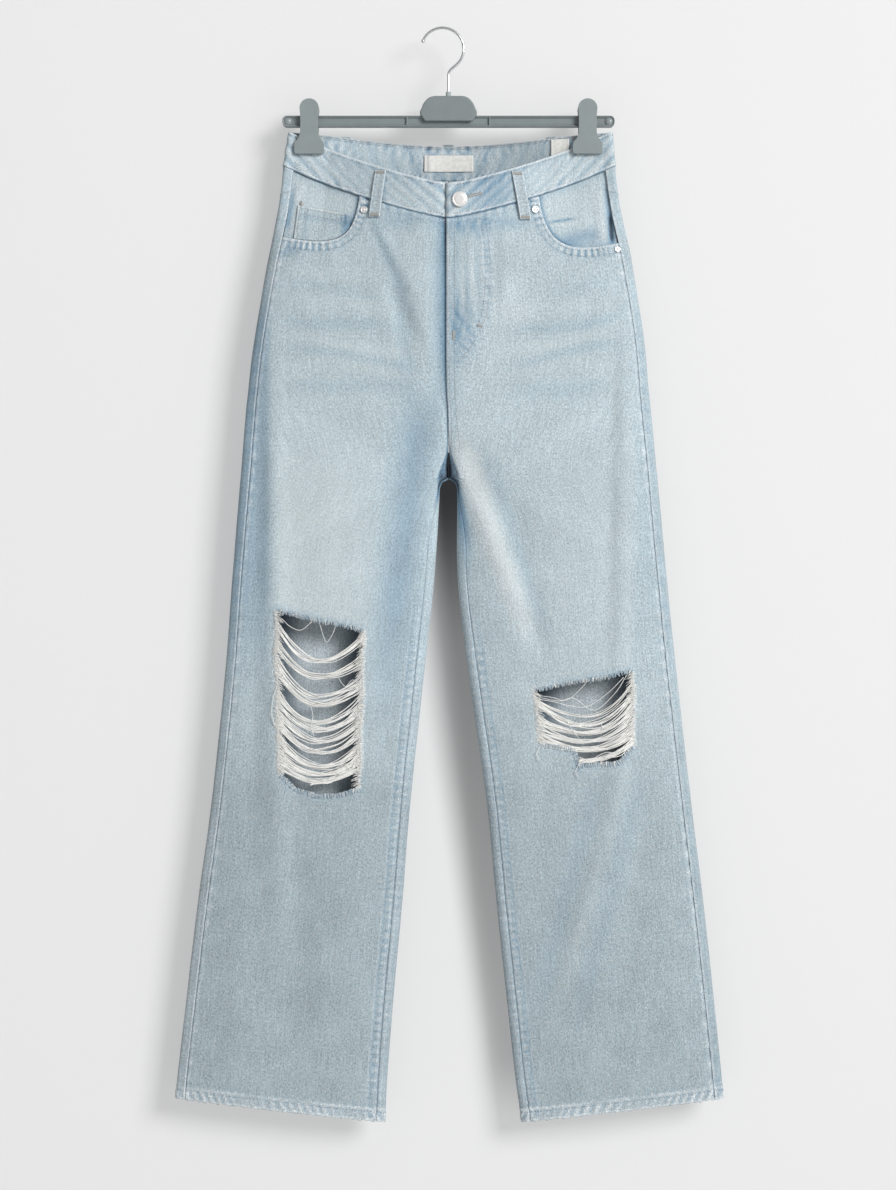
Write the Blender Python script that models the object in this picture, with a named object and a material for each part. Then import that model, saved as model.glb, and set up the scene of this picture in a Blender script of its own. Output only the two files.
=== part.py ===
"""Wide-leg jeans with ripped knees, held by a clip hanger.

Units are metres and +Z is up. The origin is the inside top of the hook, where a rail carries the
hanger. The wearer's right leg is at -X and the front of the garment faces -Y.

Every cloth piece is cut as a flat slab and then formed: a function turns its place on the garment
(round the body, down the body, through the cloth) into a point in space.
"""
import math
from collections import namedtuple
from functools import lru_cache

import bmesh
import bpy
from mathutils import Matrix, Vector
from mathutils.geometry import interpolate_bezier

MM = 0.001
RIGHT, LEFT = -1, 1                 # the wearer's sides
SIDE_NAMES = {RIGHT: "right", LEFT: "left"}
FRONT, BACK = "front", "back"

# The garment hangs with its centre line below the hanger's shank.
GARMENT_X = 6.5 * MM                # the shank stands this far beside the top of the hook

# Heights are drops: distances below the inside top of the hook, measured down the outer fold.
BAND_TOP = 112.0 * MM               # top edge of the waistband
WAIST = 150.0 * MM                  # seam between waistband and panels
HIP = 340.0 * MM                    # the waist's dip has died out here
CROTCH = 491.0 * MM
HEM = 1165.0 * MM
HEM_DEPTH = 10.5 * MM               # turned-up hem
HEM_TILT = 26.0 * MM                # the hem is this much lower at the inner leg fold
FRONT_DIP = 59.0 * MM               # the waist is this much lower at the centre front
BACK_DIP = 12.0 * MM

# Cloth
CLOTH = 1.6 * MM                    # wall of a panel
SEAM_GAP = 0.5 * MM                 # between panels that are sewn together
LAY_GAP = 0.3 * MM                  # between hard pieces, and between layers that follow each other
PATCH_GAP = 0.8 * MM                # under a patch, whose facets cross those of its panel
BAND_OUT, BAND_IN = 0.8 * MM, 2.2 * MM     # the waistband's faces, outside and inside the panels'
HEM_OUT, HEM_IN = 0.6 * MM, 2.4 * MM
SIDE_SEAM_INSET = 10.5 * MM         # the side seam lies on the front, inside the outer fold
INSEAM_INSET = 10.0 * MM            # the inseam lies on the front, inside the inner fold
INSEAM_ONSET = 75.0 * MM            # it takes this long to come round from the crotch
FOLD_POWER = 2 / 3                  # below 1 makes flat faces and tight folds
FLY_LAP = 2.5 * MM                  # the left front passes the centre line and lies on the right one
FLY_RECESS = 2.1 * MM
FLY_END = 345.0 * MM

# The waist is pinched at the clips.
PINCH = 3.0 * MM                    # half thickness of the pinched waist
PINCH_START = 0.74                  # as a share of the half width
END_LOOP = 2.0 * MM                 # the cloth opens again outside the clips

# Half widths from the centre line, and depths in front of and behind the hanging plane.
Section = namedtuple("Section", "drop right_out right_in left_out left_in front back")
SECTIONS = [Section(*(value * MM for value in row)) for row in (
    # drop  right_out right_in left_out left_in front back
    (110.0, 173.5, 9.0, 178.0, 9.0, 24.0, 28.0),
    (150.0, 179.5, 9.0, 181.5, 9.0, 24.0, 28.0),
    (200.0, 186.0, 9.0, 188.5, 9.0, 25.0, 27.0),
    (252.0, 196.5, 9.0, 199.5, 9.0, 25.0, 25.5),
    (339.0, 211.5, 9.0, 213.5, 9.0, 24.0, 24.0),
    (404.0, 219.5, 9.0, 219.5, 9.0, 23.0, 23.0),
    (492.0, 227.0, 9.0, 228.5, 9.5, 21.0, 21.5),
    (598.0, 236.0, 15.0, 238.5, 9.5, 19.0, 20.0),
    (700.0, 243.5, 26.0, 248.5, 21.5, 17.5, 18.5),
    (840.0, 258.0, 41.0, 264.5, 41.0, 16.0, 17.0),
    (950.0, 273.0, 50.0, 277.5, 52.0, 14.5, 15.5),
    (1058.0, 286.0, 60.0, 289.5, 63.5, 13.0, 14.0),
    (1146.0, 296.0, 66.5, 298.5, 73.0, 12.0, 13.0),
    (1195.0, 299.0, 69.0, 303.5, 80.0, 11.5, 12.5),
)]
PANEL_LEVELS = [value * MM for value in (
    150, 172, 200, 232, 266, 305, 350, 395, 430, 456, 476, 490.7,
    493, 499, 510, 535, 575, 640, 720, 800, 880, 960, 1050, 1130, 1154.4, 1154.6, 1165)]
FRONT_COLUMNS, BACK_COLUMNS = 10, 15

# The largest folds: a line down the cloth from one place to another, its half width and height.
Fold = namedtuple("Fold", "side face x_top top x_end end half_width height")
FOLDS = [Fold(row[0], row[1], *(value * MM for value in row[2:])) for row in (
    # side, face, x_top, top, x_end, end, half_width, height
    (RIGHT, FRONT, 190, 330, 184, 1010, 14, 3.0),
    (LEFT, FRONT, 196, 300, 182, 960, 14, 3.0),
    (LEFT, FRONT, 26, 498, 86, 648, 17, 4.0),
    (RIGHT, FRONT, 47, 240, 17, 368, 13, 2.5),
    (RIGHT, FRONT, 62, 276, 37, 345, 12, -2.5),
    (RIGHT, FRONT, 22, 535, 57, 840, 14, 2.5),
    (RIGHT, BACK, 70, 505, 130, 660, 22, 3.5),
    (LEFT, BACK, 80, 505, 135, 690, 22, 3.5),
    (RIGHT, BACK, 185, 500, 190, 980, 16, 2.5),
    (LEFT, BACK, 190, 490, 195, 930, 16, 2.5),
)]


def ease(value, start, end):
    """Smooth step from 0 at start to 1 at end."""
    t = min(1.0, max(0.0, (value - start) / (end - start)))
    return t * t * (3.0 - 2.0 * t)


def mix(a, b, t):
    return a + (b - a) * t


def fold_round(value):
    return math.copysign(abs(value) ** FOLD_POWER, value)


@lru_cache(maxsize=None)
def section_at(drop):
    """The section table read at one drop, smoothly between its rows."""
    last = len(SECTIONS) - 2
    i = max(k for k in range(last + 1) if k == 0 or SECTIONS[k].drop <= drop)
    before, low, high, after = (SECTIONS[min(max(k, 0), last + 1)] for k in (i - 1, i, i + 1, i + 2))
    span = high.drop - low.drop
    t = min(1.0, max(0.0, (drop - low.drop) / span))
    values = []
    for b, p, q, c in zip(before, low, high, after):
        slope_low = (q - b) / (high.drop - before.drop) * span
        slope_high = (c - p) / (after.drop - low.drop) * span
        values.append((2 * t**3 - 3 * t**2 + 1) * p + (t**3 - 2 * t**2 + t) * slope_low
                      + (3 * t**2 - 2 * t**3) * q + (t**3 - t**2) * slope_high)
    return Section(*values)


def drop_at(a, level):
    """The waist dips at the centre, and the hem at the inner leg."""
    off_centre = abs(math.sin(math.pi * a))
    if a <= 0.5:
        dip = FRONT_DIP * (1.0 - off_centre ** 1.3)
    else:
        dip = BACK_DIP * (1.0 - off_centre ** 1.5)
    inward = (1.0 + math.cos(2.0 * math.pi * a)) / 2.0
    down_leg = max(0.0, (level - CROTCH) / (HEM - CROTCH))
    return level + dip * (1.0 - ease(level, WAIST, HIP)) + HEM_TILT * inward * down_leg


def fold_height(side, face, x, drop):
    total = 0.0
    for fold in FOLDS:
        if (fold.side, fold.face) == (side, face):
            t = (drop - fold.top) / (fold.end - fold.top)
            line_x = mix(fold.x_top, fold.x_end, t)
            fade = ease(t, -0.1, 0.25) * (1.0 - ease(t, 0.75, 1.1))
            total += fold.height * fade * math.exp(-((x - line_x) / fold.half_width) ** 2)
    return total


def outer_face(side, a, level):
    """Point of the cloth's outer face. a runs round one half of the garment: 0 is the centre front,
    or the inner fold of the leg, 0.5 is the outer fold, and 1 is the centre back."""
    drop = drop_at(a, level)
    row = section_at(drop)
    wide, narrow = (row.right_out, row.right_in) if side == RIGHT else (row.left_out, row.left_in)
    face = FRONT if math.cos(math.pi * a) >= 0.0 else BACK
    in_leg = level > CROTCH
    if in_leg and math.sin(2.0 * math.pi * a) >= 0.0:
        face = FRONT
    elif in_leg:
        face = BACK
    depth = row.front if face == FRONT else row.back
    sine, cosine = math.sin(math.pi * a), math.cos(math.pi * a)
    arch = min(1.0, max(0.0, (level - CROTCH) / (12.0 * MM)))
    narrow = mix(SEAM_GAP / 2, narrow, math.sqrt(1.0 - (1.0 - arch) ** 2))
    leg_x = (wide + narrow) / 2 - (wide - narrow) / 2 * math.cos(2.0 * math.pi * a)
    leg_y = -depth * fold_round(math.sin(2.0 * math.pi * a))
    if in_leg:
        x, y = leg_x, leg_y
    else:
        body_x = SEAM_GAP / 2 + (wide - SEAM_GAP / 2) * sine
        body_y = -depth * fold_round(cosine)
        lens = max(0.0, 1.0 - (sine / PINCH_START) ** 2) ** 1.2
        flat = 1.0 - (1.0 - abs(cosine) ** FOLD_POWER) ** 4
        loop = END_LOOP * math.sin(math.pi * min(1.0, abs(cosine) / 0.35))
        waist_y = -math.copysign(PINCH * flat + (depth - PINCH) * lens + loop, cosine)
        body_y = mix(waist_y, body_y, ease(level, WAIST, 270.0 * MM))
        x = mix(body_x, leg_x, ease(level, HIP, CROTCH))
        y = mix(body_y, leg_y, 0.92 * ease(level, 430.0 * MM, CROTCH))
    outward = -1.0 if face == FRONT else 1.0
    y += outward * fold_height(side, face, x, drop)
    return Vector((side * x, y, -drop))


def cloth_point(side, a, level, lift):
    """A point off the outer face by lift, outwards where it is positive."""
    step = 0.0015
    round_body = outer_face(side, a + step, level) - outer_face(side, a - step, level)
    in_leg = level > CROTCH
    above = level - step if (level - step > CROTCH) == in_leg else level
    below = level + step if (level + step > CROTCH) == in_leg else level
    down_body = outer_face(side, a, below) - outer_face(side, a, above)
    normal = down_body.cross(round_body) * side
    return outer_face(side, a, level) + normal.normalized() * lift


def locate(side, x, drop, face):
    """Round and down places on the garment of a point on one face, x from the centre line."""
    level = drop
    for _ in range(5):
        centre, outer = (-0.2, 0.5) if face == FRONT else (1.2, 0.5)
        if level > CROTCH:
            centre = 0.0 if face == FRONT else 1.0
        for _ in range(18):
            a = (centre + outer) / 2
            if outer_face(side, a, level).x * side < x:
                centre = a
            else:
                outer = a
        level += drop - drop_at(a, level)
    return a, level


def on_face(side, x, drop, face, lift):
    a, level = locate(side, x, drop, face)
    return cloth_point(side, a, level, lift)


def seam_step(side, a, level):
    """Half the seam gap, as a share of the way round."""
    step = 0.002
    run = (outer_face(side, a + step, level) - outer_face(side, a - step, level)).length
    return SEAM_GAP / 2 / (run / (2 * step))


@lru_cache(maxsize=None)
def side_seam(side, level):
    """Where the side seam runs, as a share of the way round."""
    outer = abs(outer_face(side, 0.5, level).x)
    low, high = 0.25, 0.5
    for _ in range(18):
        a = (low + high) / 2
        if outer_face(side, a, level).x * side < outer - SIDE_SEAM_INSET:
            low = a
        else:
            high = a
    return a


@lru_cache(maxsize=None)
def inseam(side, level):
    """Where the inseam runs; above the crotch it is the centre seam."""
    if level <= CROTCH:
        return 0.0
    inner = abs(outer_face(side, 0.0, level).x)
    inset = INSEAM_INSET * ease(level, CROTCH, CROTCH + INSEAM_ONSET)
    low, high = 0.006, 0.25
    for _ in range(18):
        a = (low + high) / 2
        if outer_face(side, a, level).x * side < inner + inset:
            low = a
        else:
            high = a
    return a


# ---- making objects -------------------------------------------------------------------------

def clear_scene():
    for obj in list(bpy.data.objects):
        bpy.data.objects.remove(obj, do_unlink=True)


def new_material(name, colour, roughness, metallic=0.0):
    material = bpy.data.materials.new(name)
    material.use_nodes = True
    shader = material.node_tree.nodes["Principled BSDF"]
    shader.inputs["Base Color"].default_value = (*colour, 1.0)
    shader.inputs["Roughness"].default_value = roughness
    shader.inputs["Metallic"].default_value = metallic
    return material


def add_object(name, bm, material, parent):
    mesh = bpy.data.meshes.new(name)
    bmesh.ops.recalc_face_normals(bm, faces=bm.faces)
    if bm.calc_volume(signed=True) < 0.0:
        bmesh.ops.reverse_faces(bm, faces=bm.faces)
    bm.to_mesh(mesh)
    bm.free()
    obj = bpy.data.objects.new(name, mesh)
    bpy.context.scene.collection.objects.link(obj)
    obj.parent = parent
    mesh.materials.append(material)
    return obj


def formed(name, columns, rows, place, material, parent):
    """Cut a flat slab of columns by rows and form it: place(u, v, w) gives the point of each corner,
    with u across, v down, and w through the cloth, 0 inside and 1 outside."""
    bm = bmesh.new()
    bmesh.ops.create_grid(bm, x_segments=columns, y_segments=rows, size=0.5)
    bmesh.ops.translate(bm, verts=bm.verts, vec=(0.5, 0.5, 0.0))
    made = bmesh.ops.extrude_face_region(bm, geom=bm.faces[:])
    outside = [part for part in made["geom"] if isinstance(part, bmesh.types.BMVert)]
    bmesh.ops.translate(bm, verts=outside, vec=(0.0, 0.0, 1.0))
    for vert in bm.verts:
        vert.co = place(*vert.co)
    return add_object(name, bm, material, parent)


def prism(name, outline, y_from, y_to, material, parent):
    """A plate whose outline lies in the hanging plane; outline points are (x, drop)."""
    bm = bmesh.new()
    verts = [bm.verts.new((x, y_from, -drop)) for x, drop in outline]
    face = bm.faces.new(verts)
    made = bmesh.ops.extrude_face_region(bm, geom=[face])
    moved = [part for part in made["geom"] if isinstance(part, bmesh.types.BMVert)]
    bmesh.ops.translate(bm, verts=moved, vec=(0.0, y_to - y_from, 0.0))
    return add_object(name, bm, material, parent)


def as_tool(obj):
    obj.hide_render = True
    obj.display_type = "WIRE"
    return obj


def shape_with(obj, tool, operation):
    modifier = obj.modifiers.new(operation.title(), "BOOLEAN")
    modifier.object = tool
    modifier.operation = operation
    modifier.solver = "EXACT"


# ---- panels ---------------------------------------------------------------------------------

def wall_lift(level, w):
    """The panel's wall, which is thicker in the turned-up hem."""
    if level > HEM - HEM_DEPTH:
        return mix(-HEM_IN, HEM_OUT, w)
    return mix(-CLOTH, 0.0, w)


def level_row(levels, v):
    """The level of a row of the grid, from the list of levels."""
    return levels[round(v * (len(levels) - 1))]


def round_front(side, level, u):
    """Across a front piece, from the centre front or the inseam to the side seam."""
    start = inseam(side, level)
    start += seam_step(side, start, level)
    if level <= CROTCH:
        lap = FLY_LAP * (1.0 - ease(level, 390.0 * MM, 440.0 * MM)) if side == LEFT else 0.0
        start = -lap / (math.pi * 0.2)
    end = side_seam(side, level)
    end -= seam_step(side, end, level)
    return mix(start, end, u)


def fly_recess(a, level):
    """The right front sinks under the edge of the left one."""
    return FLY_RECESS * (1.0 - ease(a, 0.008, 0.03)) * (1.0 - ease(level, 430.0 * MM, 470.0 * MM))


def front_panel(side, material, parent):
    levels = [WAIST + SEAM_GAP] + PANEL_LEVELS[1:]

    def place(u, v, w):
        level = level_row(levels, v)
        a = round_front(side, level, u)
        lift = wall_lift(level, w)
        if side == RIGHT:
            lift -= fly_recess(a, level)
        return cloth_point(side, a, level, lift)

    return formed(f"front_{SIDE_NAMES[side]}", FRONT_COLUMNS, len(levels) - 1, place, material, parent)


def back_start_and_end(side, level):
    start = side_seam(side, level)
    start += seam_step(side, start, level)
    seam = inseam(side, level)
    step = seam_step(side, seam, level) if level > CROTCH else 0.0
    return start, 1.0 + seam - step


def round_back(side, level, u):
    """Across a back piece: a quarter of its columns turn the outer fold, the rest cross the back."""
    start, end = back_start_and_end(side, level)
    turn = 0.2
    return mix(start, 0.5, u / turn) if u < turn else mix(0.5, end, (u - turn) / (1.0 - turn))


YOKE_SIDE, YOKE_CENTRE = 24.0 * MM, 62.0 * MM      # yoke heights at the side and the centre back


def yoke_level(u):
    return WAIST + mix(YOKE_SIDE, YOKE_CENTRE, u)


def yoke(side, material, parent):
    def place(u, v, w):
        level = mix(WAIST + SEAM_GAP, yoke_level(u) - SEAM_GAP / 2, v)
        return cloth_point(side, round_back(side, level, u), level, mix(-CLOTH, 0.0, w))

    return formed(f"yoke_{SIDE_NAMES[side]}", BACK_COLUMNS, 3, place, material, parent)


def back_panel(side, material, parent):
    levels = [yoke_level(1.0)] + [level for level in PANEL_LEVELS if level > yoke_level(1.0) + 10 * MM]

    def place(u, v, w):
        level = level_row(levels, v)
        # the upper rows follow the slant of the yoke seam
        slant = yoke_level(u) + SEAM_GAP / 2 - levels[0]
        level += slant * (1.0 - ease(level, levels[0], CROTCH - 40 * MM))
        return cloth_point(side, round_back(side, level, u), level, wall_lift(level, w))

    return formed(f"back_{SIDE_NAMES[side]}", BACK_COLUMNS, len(levels) - 1, place, material, parent)


# ---- waistband ------------------------------------------------------------------------------

UNDERLAP = 34.0 * MM                # the right end runs on under the left one
UNDERLAP_SINK = BAND_OUT + BAND_IN + LAY_GAP


def band_columns():
    """Places round the band, from the left end over the back to the hidden right end."""
    half = [-FLY_LAP / (math.pi * 0.18)] + [0.02 + 0.0384 * k for k in range(26)]
    columns = [(LEFT, a, 0.0) for a in half]
    columns += [(RIGHT, a, 0.0) for a in reversed(half[1:])]
    under = UNDERLAP / (math.pi * 0.18)
    columns += [(RIGHT, mix(0.004, -under, k / 4), UNDERLAP_SINK) for k in range(5)]
    return columns


def waistband(material, parent):
    columns = band_columns()

    def place(u, v, w):
        side, a, sink = columns[round(u * (len(columns) - 1))]
        level = mix(BAND_TOP, WAIST - SEAM_GAP / 2, v)
        return cloth_point(side, a, level, mix(-BAND_IN, BAND_OUT, w) - sink)

    return formed("waistband", len(columns) - 1, 2, place, material, parent)


# ---- pockets --------------------------------------------------------------------------------

# Each scoop is one curve from the waist seam down and out to the side seam: (x, drop).
SCOOPS = {
    RIGHT: [(96.0, 180.0), (103.0, 241.0), (126.0, 239.0), (196.0, 225.0)],
    LEFT: [(98.0, 184.0), (107.0, 249.0), (138.0, 247.0), (204.0, 230.0)],
}


def scoop_curve(side, inset):
    """Points down the scoop; inset moves them towards the side of the garment."""
    start, handle_a, handle_b, end = (Vector((x * MM, drop * MM)) for x, drop in SCOOPS[side])
    shift = Vector((inset, -inset))
    points = interpolate_bezier(start + shift, handle_a + shift, handle_b + shift, end + shift, 12)
    return [(point.x, point.y) for point in points]


def scoop_tool(side, inset, name, parent, material):
    curve = scoop_curve(side, inset)
    corner = [(curve[-1][0] + 40 * MM, curve[-1][1]), (curve[-1][0] + 40 * MM, 100 * MM),
              (curve[0][0], 100 * MM)]
    outline = [(side * x, drop) for x, drop in curve + corner]
    return as_tool(prism(name, outline, -60 * MM, 30 * MM, material, parent))


FACING = 1.0 * MM                   # facing cloth, thin enough for the pinched waist
FACING_COLUMNS, FACING_ROWS = 7, 4  # the panel's own columns and rows that it lies under


def pocket_facing(side, material, parent):
    """The facing follows the front panel's own rows and columns, under the cut-away scoop."""
    levels = [WAIST + SEAM_GAP] + PANEL_LEVELS[1:FACING_ROWS + 1]

    def place(u, v, w):
        level = level_row(levels, v)
        share = 1.0 - (1.0 - u) * FACING_COLUMNS / FRONT_COLUMNS
        lift = mix(-FACING, 0.0, w) - CLOTH - LAY_GAP
        return cloth_point(side, round_front(side, level, share), level, lift)

    return formed(f"pocket_facing_{SIDE_NAMES[side]}", FACING_COLUMNS, FACING_ROWS, place, material,
                  parent)


COIN_TOP_LEFT = (164.0 * MM, 192.5 * MM)
COIN_TOP_RIGHT = (107.5 * MM, 203.0 * MM)
COIN_HEIGHT = 48.0 * MM


def coin_pocket(material, parent):
    def place(u, v, w):
        x = mix(COIN_TOP_LEFT[0], COIN_TOP_RIGHT[0], u) + 5.5 * MM * v * (1 - u)
        drop = mix(COIN_TOP_LEFT[1], COIN_TOP_RIGHT[1], u) + COIN_HEIGHT * v
        return on_face(RIGHT, x, drop, FRONT, mix(-CLOTH + LAY_GAP, -0.1 * MM, w))

    return formed("coin_pocket", 5, 4, place, material, parent)


POCKET_WIDTH_TOP, POCKET_WIDTH_LOW = 148.0 * MM, 126.0 * MM
POCKET_SIDE, POCKET_POINT = 132.0 * MM, 24.0 * MM
POCKET_X, POCKET_DROP = 112.0 * MM, 246.0 * MM


def back_pocket(side, material, parent):
    def place(u, v, w):
        across = 2.0 * u - 1.0
        x = POCKET_X + across * mix(POCKET_WIDTH_TOP, POCKET_WIDTH_LOW, v) / 2
        point = POCKET_POINT * (1.0 - abs(across)) * v
        drop = POCKET_DROP - 8 * MM * across * (1 - v) + POCKET_SIDE * v + point
        return on_face(side, x, drop, BACK, PATCH_GAP + mix(0.0, CLOTH, w))

    return formed(f"back_pocket_{SIDE_NAMES[side]}", 8, 6, place, material, parent)


# ---- belt loops, labels, zip ----------------------------------------------------------------

LOOP_WIDTH, LOOP_THICK = 12.0 * MM, 1.8 * MM
Loop = namedtuple("Loop", "name side face x_top top x_end end")
LOOPS = [Loop(row[0], row[1], row[2], *(value * MM for value in row[3:])) for row in (
    # name, side, face, x_top, top, x_end, end
    ("belt_loop_front_right", RIGHT, FRONT, 73.0, 156.5, 80.0, 207.0),
    ("belt_loop_front_left", LEFT, FRONT, 74.0, 158.0, 83.5, 210.0),
    ("belt_loop_side_right", RIGHT, BACK, 112.0, 116.0, 112.0, 168.0),
    ("belt_loop_side_left", LEFT, BACK, 112.0, 116.0, 112.0, 168.0),
    ("belt_loop_centre_back", LEFT, BACK, 0.0, 121.5, 0.0, 175.0),
)]


def belt_loop(loop, material, parent):
    def place(u, v, w):
        x = mix(loop.x_top, loop.x_end, v) + (u - 0.5) * LOOP_WIDTH
        bow = 1.2 * MM * math.sin(math.pi * v)
        lift = BAND_OUT + LAY_GAP + bow + mix(0.0, LOOP_THICK, w)
        return on_face(loop.side, x, mix(loop.top, loop.end, v), loop.face, lift)

    return formed(loop.name, 2, 6, place, material, parent)


Label = namedtuple("Label", "name x_from x_to top end")
LABELS = [Label(row[0], *(value * MM for value in row[1:])) for row in (
    # name, x_from, x_to, top, end
    ("waist_label", -27.0, 27.5, 134.0, 152.0),
    ("care_label", 113.0, 132.0, 119.5, 138.5),
)]
LABEL_THICK = 0.8 * MM


def label(row, material, parent):
    """A label on the inside of the back waistband."""
    def place(u, v, w):
        lift = -BAND_IN - LAY_GAP - LABEL_THICK * (1.0 - w)
        return on_face(LEFT, mix(row.x_from, row.x_to, u), mix(row.top, row.end, v), BACK, lift)

    return formed(row.name, 4, 2, place, material, parent)


ZIP_WIDTH, ZIP_THICK = 26.0 * MM, 1.4 * MM


def fly_zip(material, parent):
    def place(u, v, w):
        lift = -CLOTH - FLY_RECESS - LAY_GAP - mix(ZIP_THICK, 0.0, w)
        x = (u - 0.5) * ZIP_WIDTH + 4 * MM
        return on_face(LEFT, x, mix(210.0 * MM, FLY_END - 8 * MM, v), FRONT, lift)

    return formed("fly_zip", 4, 6, place, material, parent)


# ---- rips -----------------------------------------------------------------------------------

# Corners (x, drop) round each rip, x from the centre line: first the outer top and the inner top,
# then along the torn lower edge to the outer side.
RIPS = {
    RIGHT: [(187, 634), (93, 655), (98, 827), (124, 834), (139, 835), (165, 828), (183, 811)],
    LEFT: [(199, 700), (94, 719), (100, 778), (138, 785), (141, 802), (185, 797), (200, 780)],
}
# Yarn bundles: drops at the outer end, the lowest place and the inner end, and their height.
Yarn = namedtuple("Yarn", "side outer low inner height")
YARNS = [Yarn(row[0], *(value * MM for value in row[1:])) for row in (
    # side, outer, low, inner, height
    (RIGHT, 645, 690, 664, 3.0),
    (RIGHT, 664, 708, 681, 4.0),
    (RIGHT, 684, 730, 702, 5.0),
    (RIGHT, 708, 744, 716, 4.0),
    (RIGHT, 722, 763, 732, 5.0),
    (RIGHT, 738, 780, 746, 5.0),
    (RIGHT, 754, 795, 760, 5.0),
    (RIGHT, 772, 812, 779, 6.0),
    (RIGHT, 800, 827, 813, 4.0),
    (LEFT, 705, 744, 724, 2.5),
    (LEFT, 720, 755, 733, 3.0),
    (LEFT, 733, 766, 745, 4.0),
    (LEFT, 748, 775, 756, 4.0),
    (LEFT, 762, 783, 768, 4.0),
)]
YARN_GAP = 0.5 * MM                 # between a yarn's end and the edge that it is woven into


def rip_edge(side, drop, outer):
    """Where the rip's outer or inner edge lies at one drop."""
    corners = RIPS[side]
    top, low = (corners[0], corners[-1]) if outer else (corners[1], corners[2])
    x = mix(top[0], low[0], (drop / MM - top[1]) / (low[1] - top[1])) * MM
    return x - YARN_GAP if outer else x + YARN_GAP


def rip_tool(side, material, parent):
    outline = [(side * x * MM, drop * MM) for x, drop in RIPS[side]]
    return as_tool(prism(f"rip_cutter_{SIDE_NAMES[side]}", outline, -60 * MM, 0.0, material, parent))


def rip_yarn(name, yarn, material, parent):
    outer_x = rip_edge(yarn.side, yarn.outer, True)
    inner_x = rip_edge(yarn.side, yarn.inner, False)

    def place(u, v, w):
        ends = mix(yarn.outer, yarn.inner, u)
        sag = (yarn.low - (yarn.outer + yarn.inner) / 2) * 4.0 * u * (1.0 - u)
        drop = ends + sag + (v - 0.5) * yarn.height
        return on_face(yarn.side, mix(outer_x, inner_x, u), drop, FRONT, mix(-1.4 * MM, -0.2 * MM, w))

    return formed(name, 6, 1, place, material, parent)


# ---- metal trim -----------------------------------------------------------------------------

def stud(name, side, x, drop, lift, radius, height, dome, material, parent):
    """A round head on the cloth, with a bevelled rim and a slightly sunk middle."""
    base = on_face(side, x, drop, FRONT, lift)
    normal = (on_face(side, x, drop, FRONT, lift + MM) - base).normalized()
    bm = bmesh.new()
    made = bmesh.ops.create_cone(bm, cap_ends=True, segments=20, radius1=radius, radius2=radius,
                                 depth=height)
    bmesh.ops.translate(bm, verts=made["verts"], vec=(0.0, 0.0, height / 2))
    top = [face for face in bm.faces if face.calc_center_median().z > height * 0.9]
    for thickness, depth in ((radius * 0.22, dome), (radius * 0.2, -dome)):
        bmesh.ops.inset_region(bm, faces=top, thickness=thickness, depth=depth)
    turn = Vector((0.0, 0.0, 1.0)).rotation_difference(normal).to_matrix().to_4x4()
    bmesh.ops.transform(bm, matrix=Matrix.Translation(base) @ turn, verts=bm.verts)
    return add_object(name, bm, material, parent)


Rivet = namedtuple("Rivet", "name side x drop radius")
RIVETS = [Rivet(row[0], row[1], *(value * MM for value in row[2:])) for row in (
    # name, side, x, drop, radius
    ("rivet_inner_right", RIGHT, 91.5, 199.0, 4.0),
    ("rivet_inner_left", LEFT, 94.0, 198.5, 4.0),
    ("rivet_side_left", LEFT, 183.5, 241.5, 3.2),
)]
RIVET_HEIGHT, RIVET_DOME = 1.0 * MM, 0.5 * MM
BUTTON_HEIGHT, BUTTON_DOME = 2.2 * MM, 0.9 * MM
BUTTON_X, BUTTON_DROP, BUTTON_RADIUS = 12.0 * MM, 189.0 * MM, 8.5 * MM


# ---- hanger ---------------------------------------------------------------------------------

BAR_HALF, BAR_TOP, BAR_HEIGHT, BAR_DEEP = 181.0 * MM, 95.0 * MM, 12.0 * MM, 10.0 * MM
BAR_RIM, BAR_RECESS = 2.2 * MM, 3.2 * MM
BLOCK_TOP, BLOCK_DEEP = 73.7 * MM, 15.0 * MM
BLOCK_SIDE = [(half * MM, drop * MM) for half, drop in (
    # half width, drop
    (26.0, 101.4), (31.0, 92.5), (29.3, 87.0), (27.2, 82.0), (23.5, 77.4), (19.5, 74.8), (15.0, 73.7))]
BOSS_TOP, BOSS_RADIUS = 68.5 * MM, 3.0 * MM
WIRE = 1.5 * MM                     # hook wire radius
HOOK_RADIUS = 23.0 * MM             # to the middle of the wire
HOOK_TIP = ((-1.9, 0.4), (-1.2, 1.1), (0.0, 1.37), (1.1, 1.15), (1.6, 1.0))    # mm along, wires thick
CLIP_X = 151.5 * MM
CLIP_TOP, CLIP_END = 77.0 * MM, 137.0 * MM
CLIP_STEM, CLIP_JAW = 10.5 * MM, 16.2 * MM
CLIP_FLARE, CLIP_WIDE, CLIP_CORNER = 117.0 * MM, 125.5 * MM, 2.5 * MM
CLIP_THICK = 4.6 * MM
JAW_GAP = 0.9 * MM                  # the waistband's pinched faces aren't quite flat


def bevel_long_edges(bm, width, segments):
    """Round the edges that run from front to back."""
    edges = [edge for edge in bm.edges
             if abs((edge.verts[0].co - edge.verts[1].co).normalized().y) > 0.99]
    bmesh.ops.bevel(bm, geom=edges, offset=width, segments=segments, profile=0.5, affect="EDGES",
                    material=-1)


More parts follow.
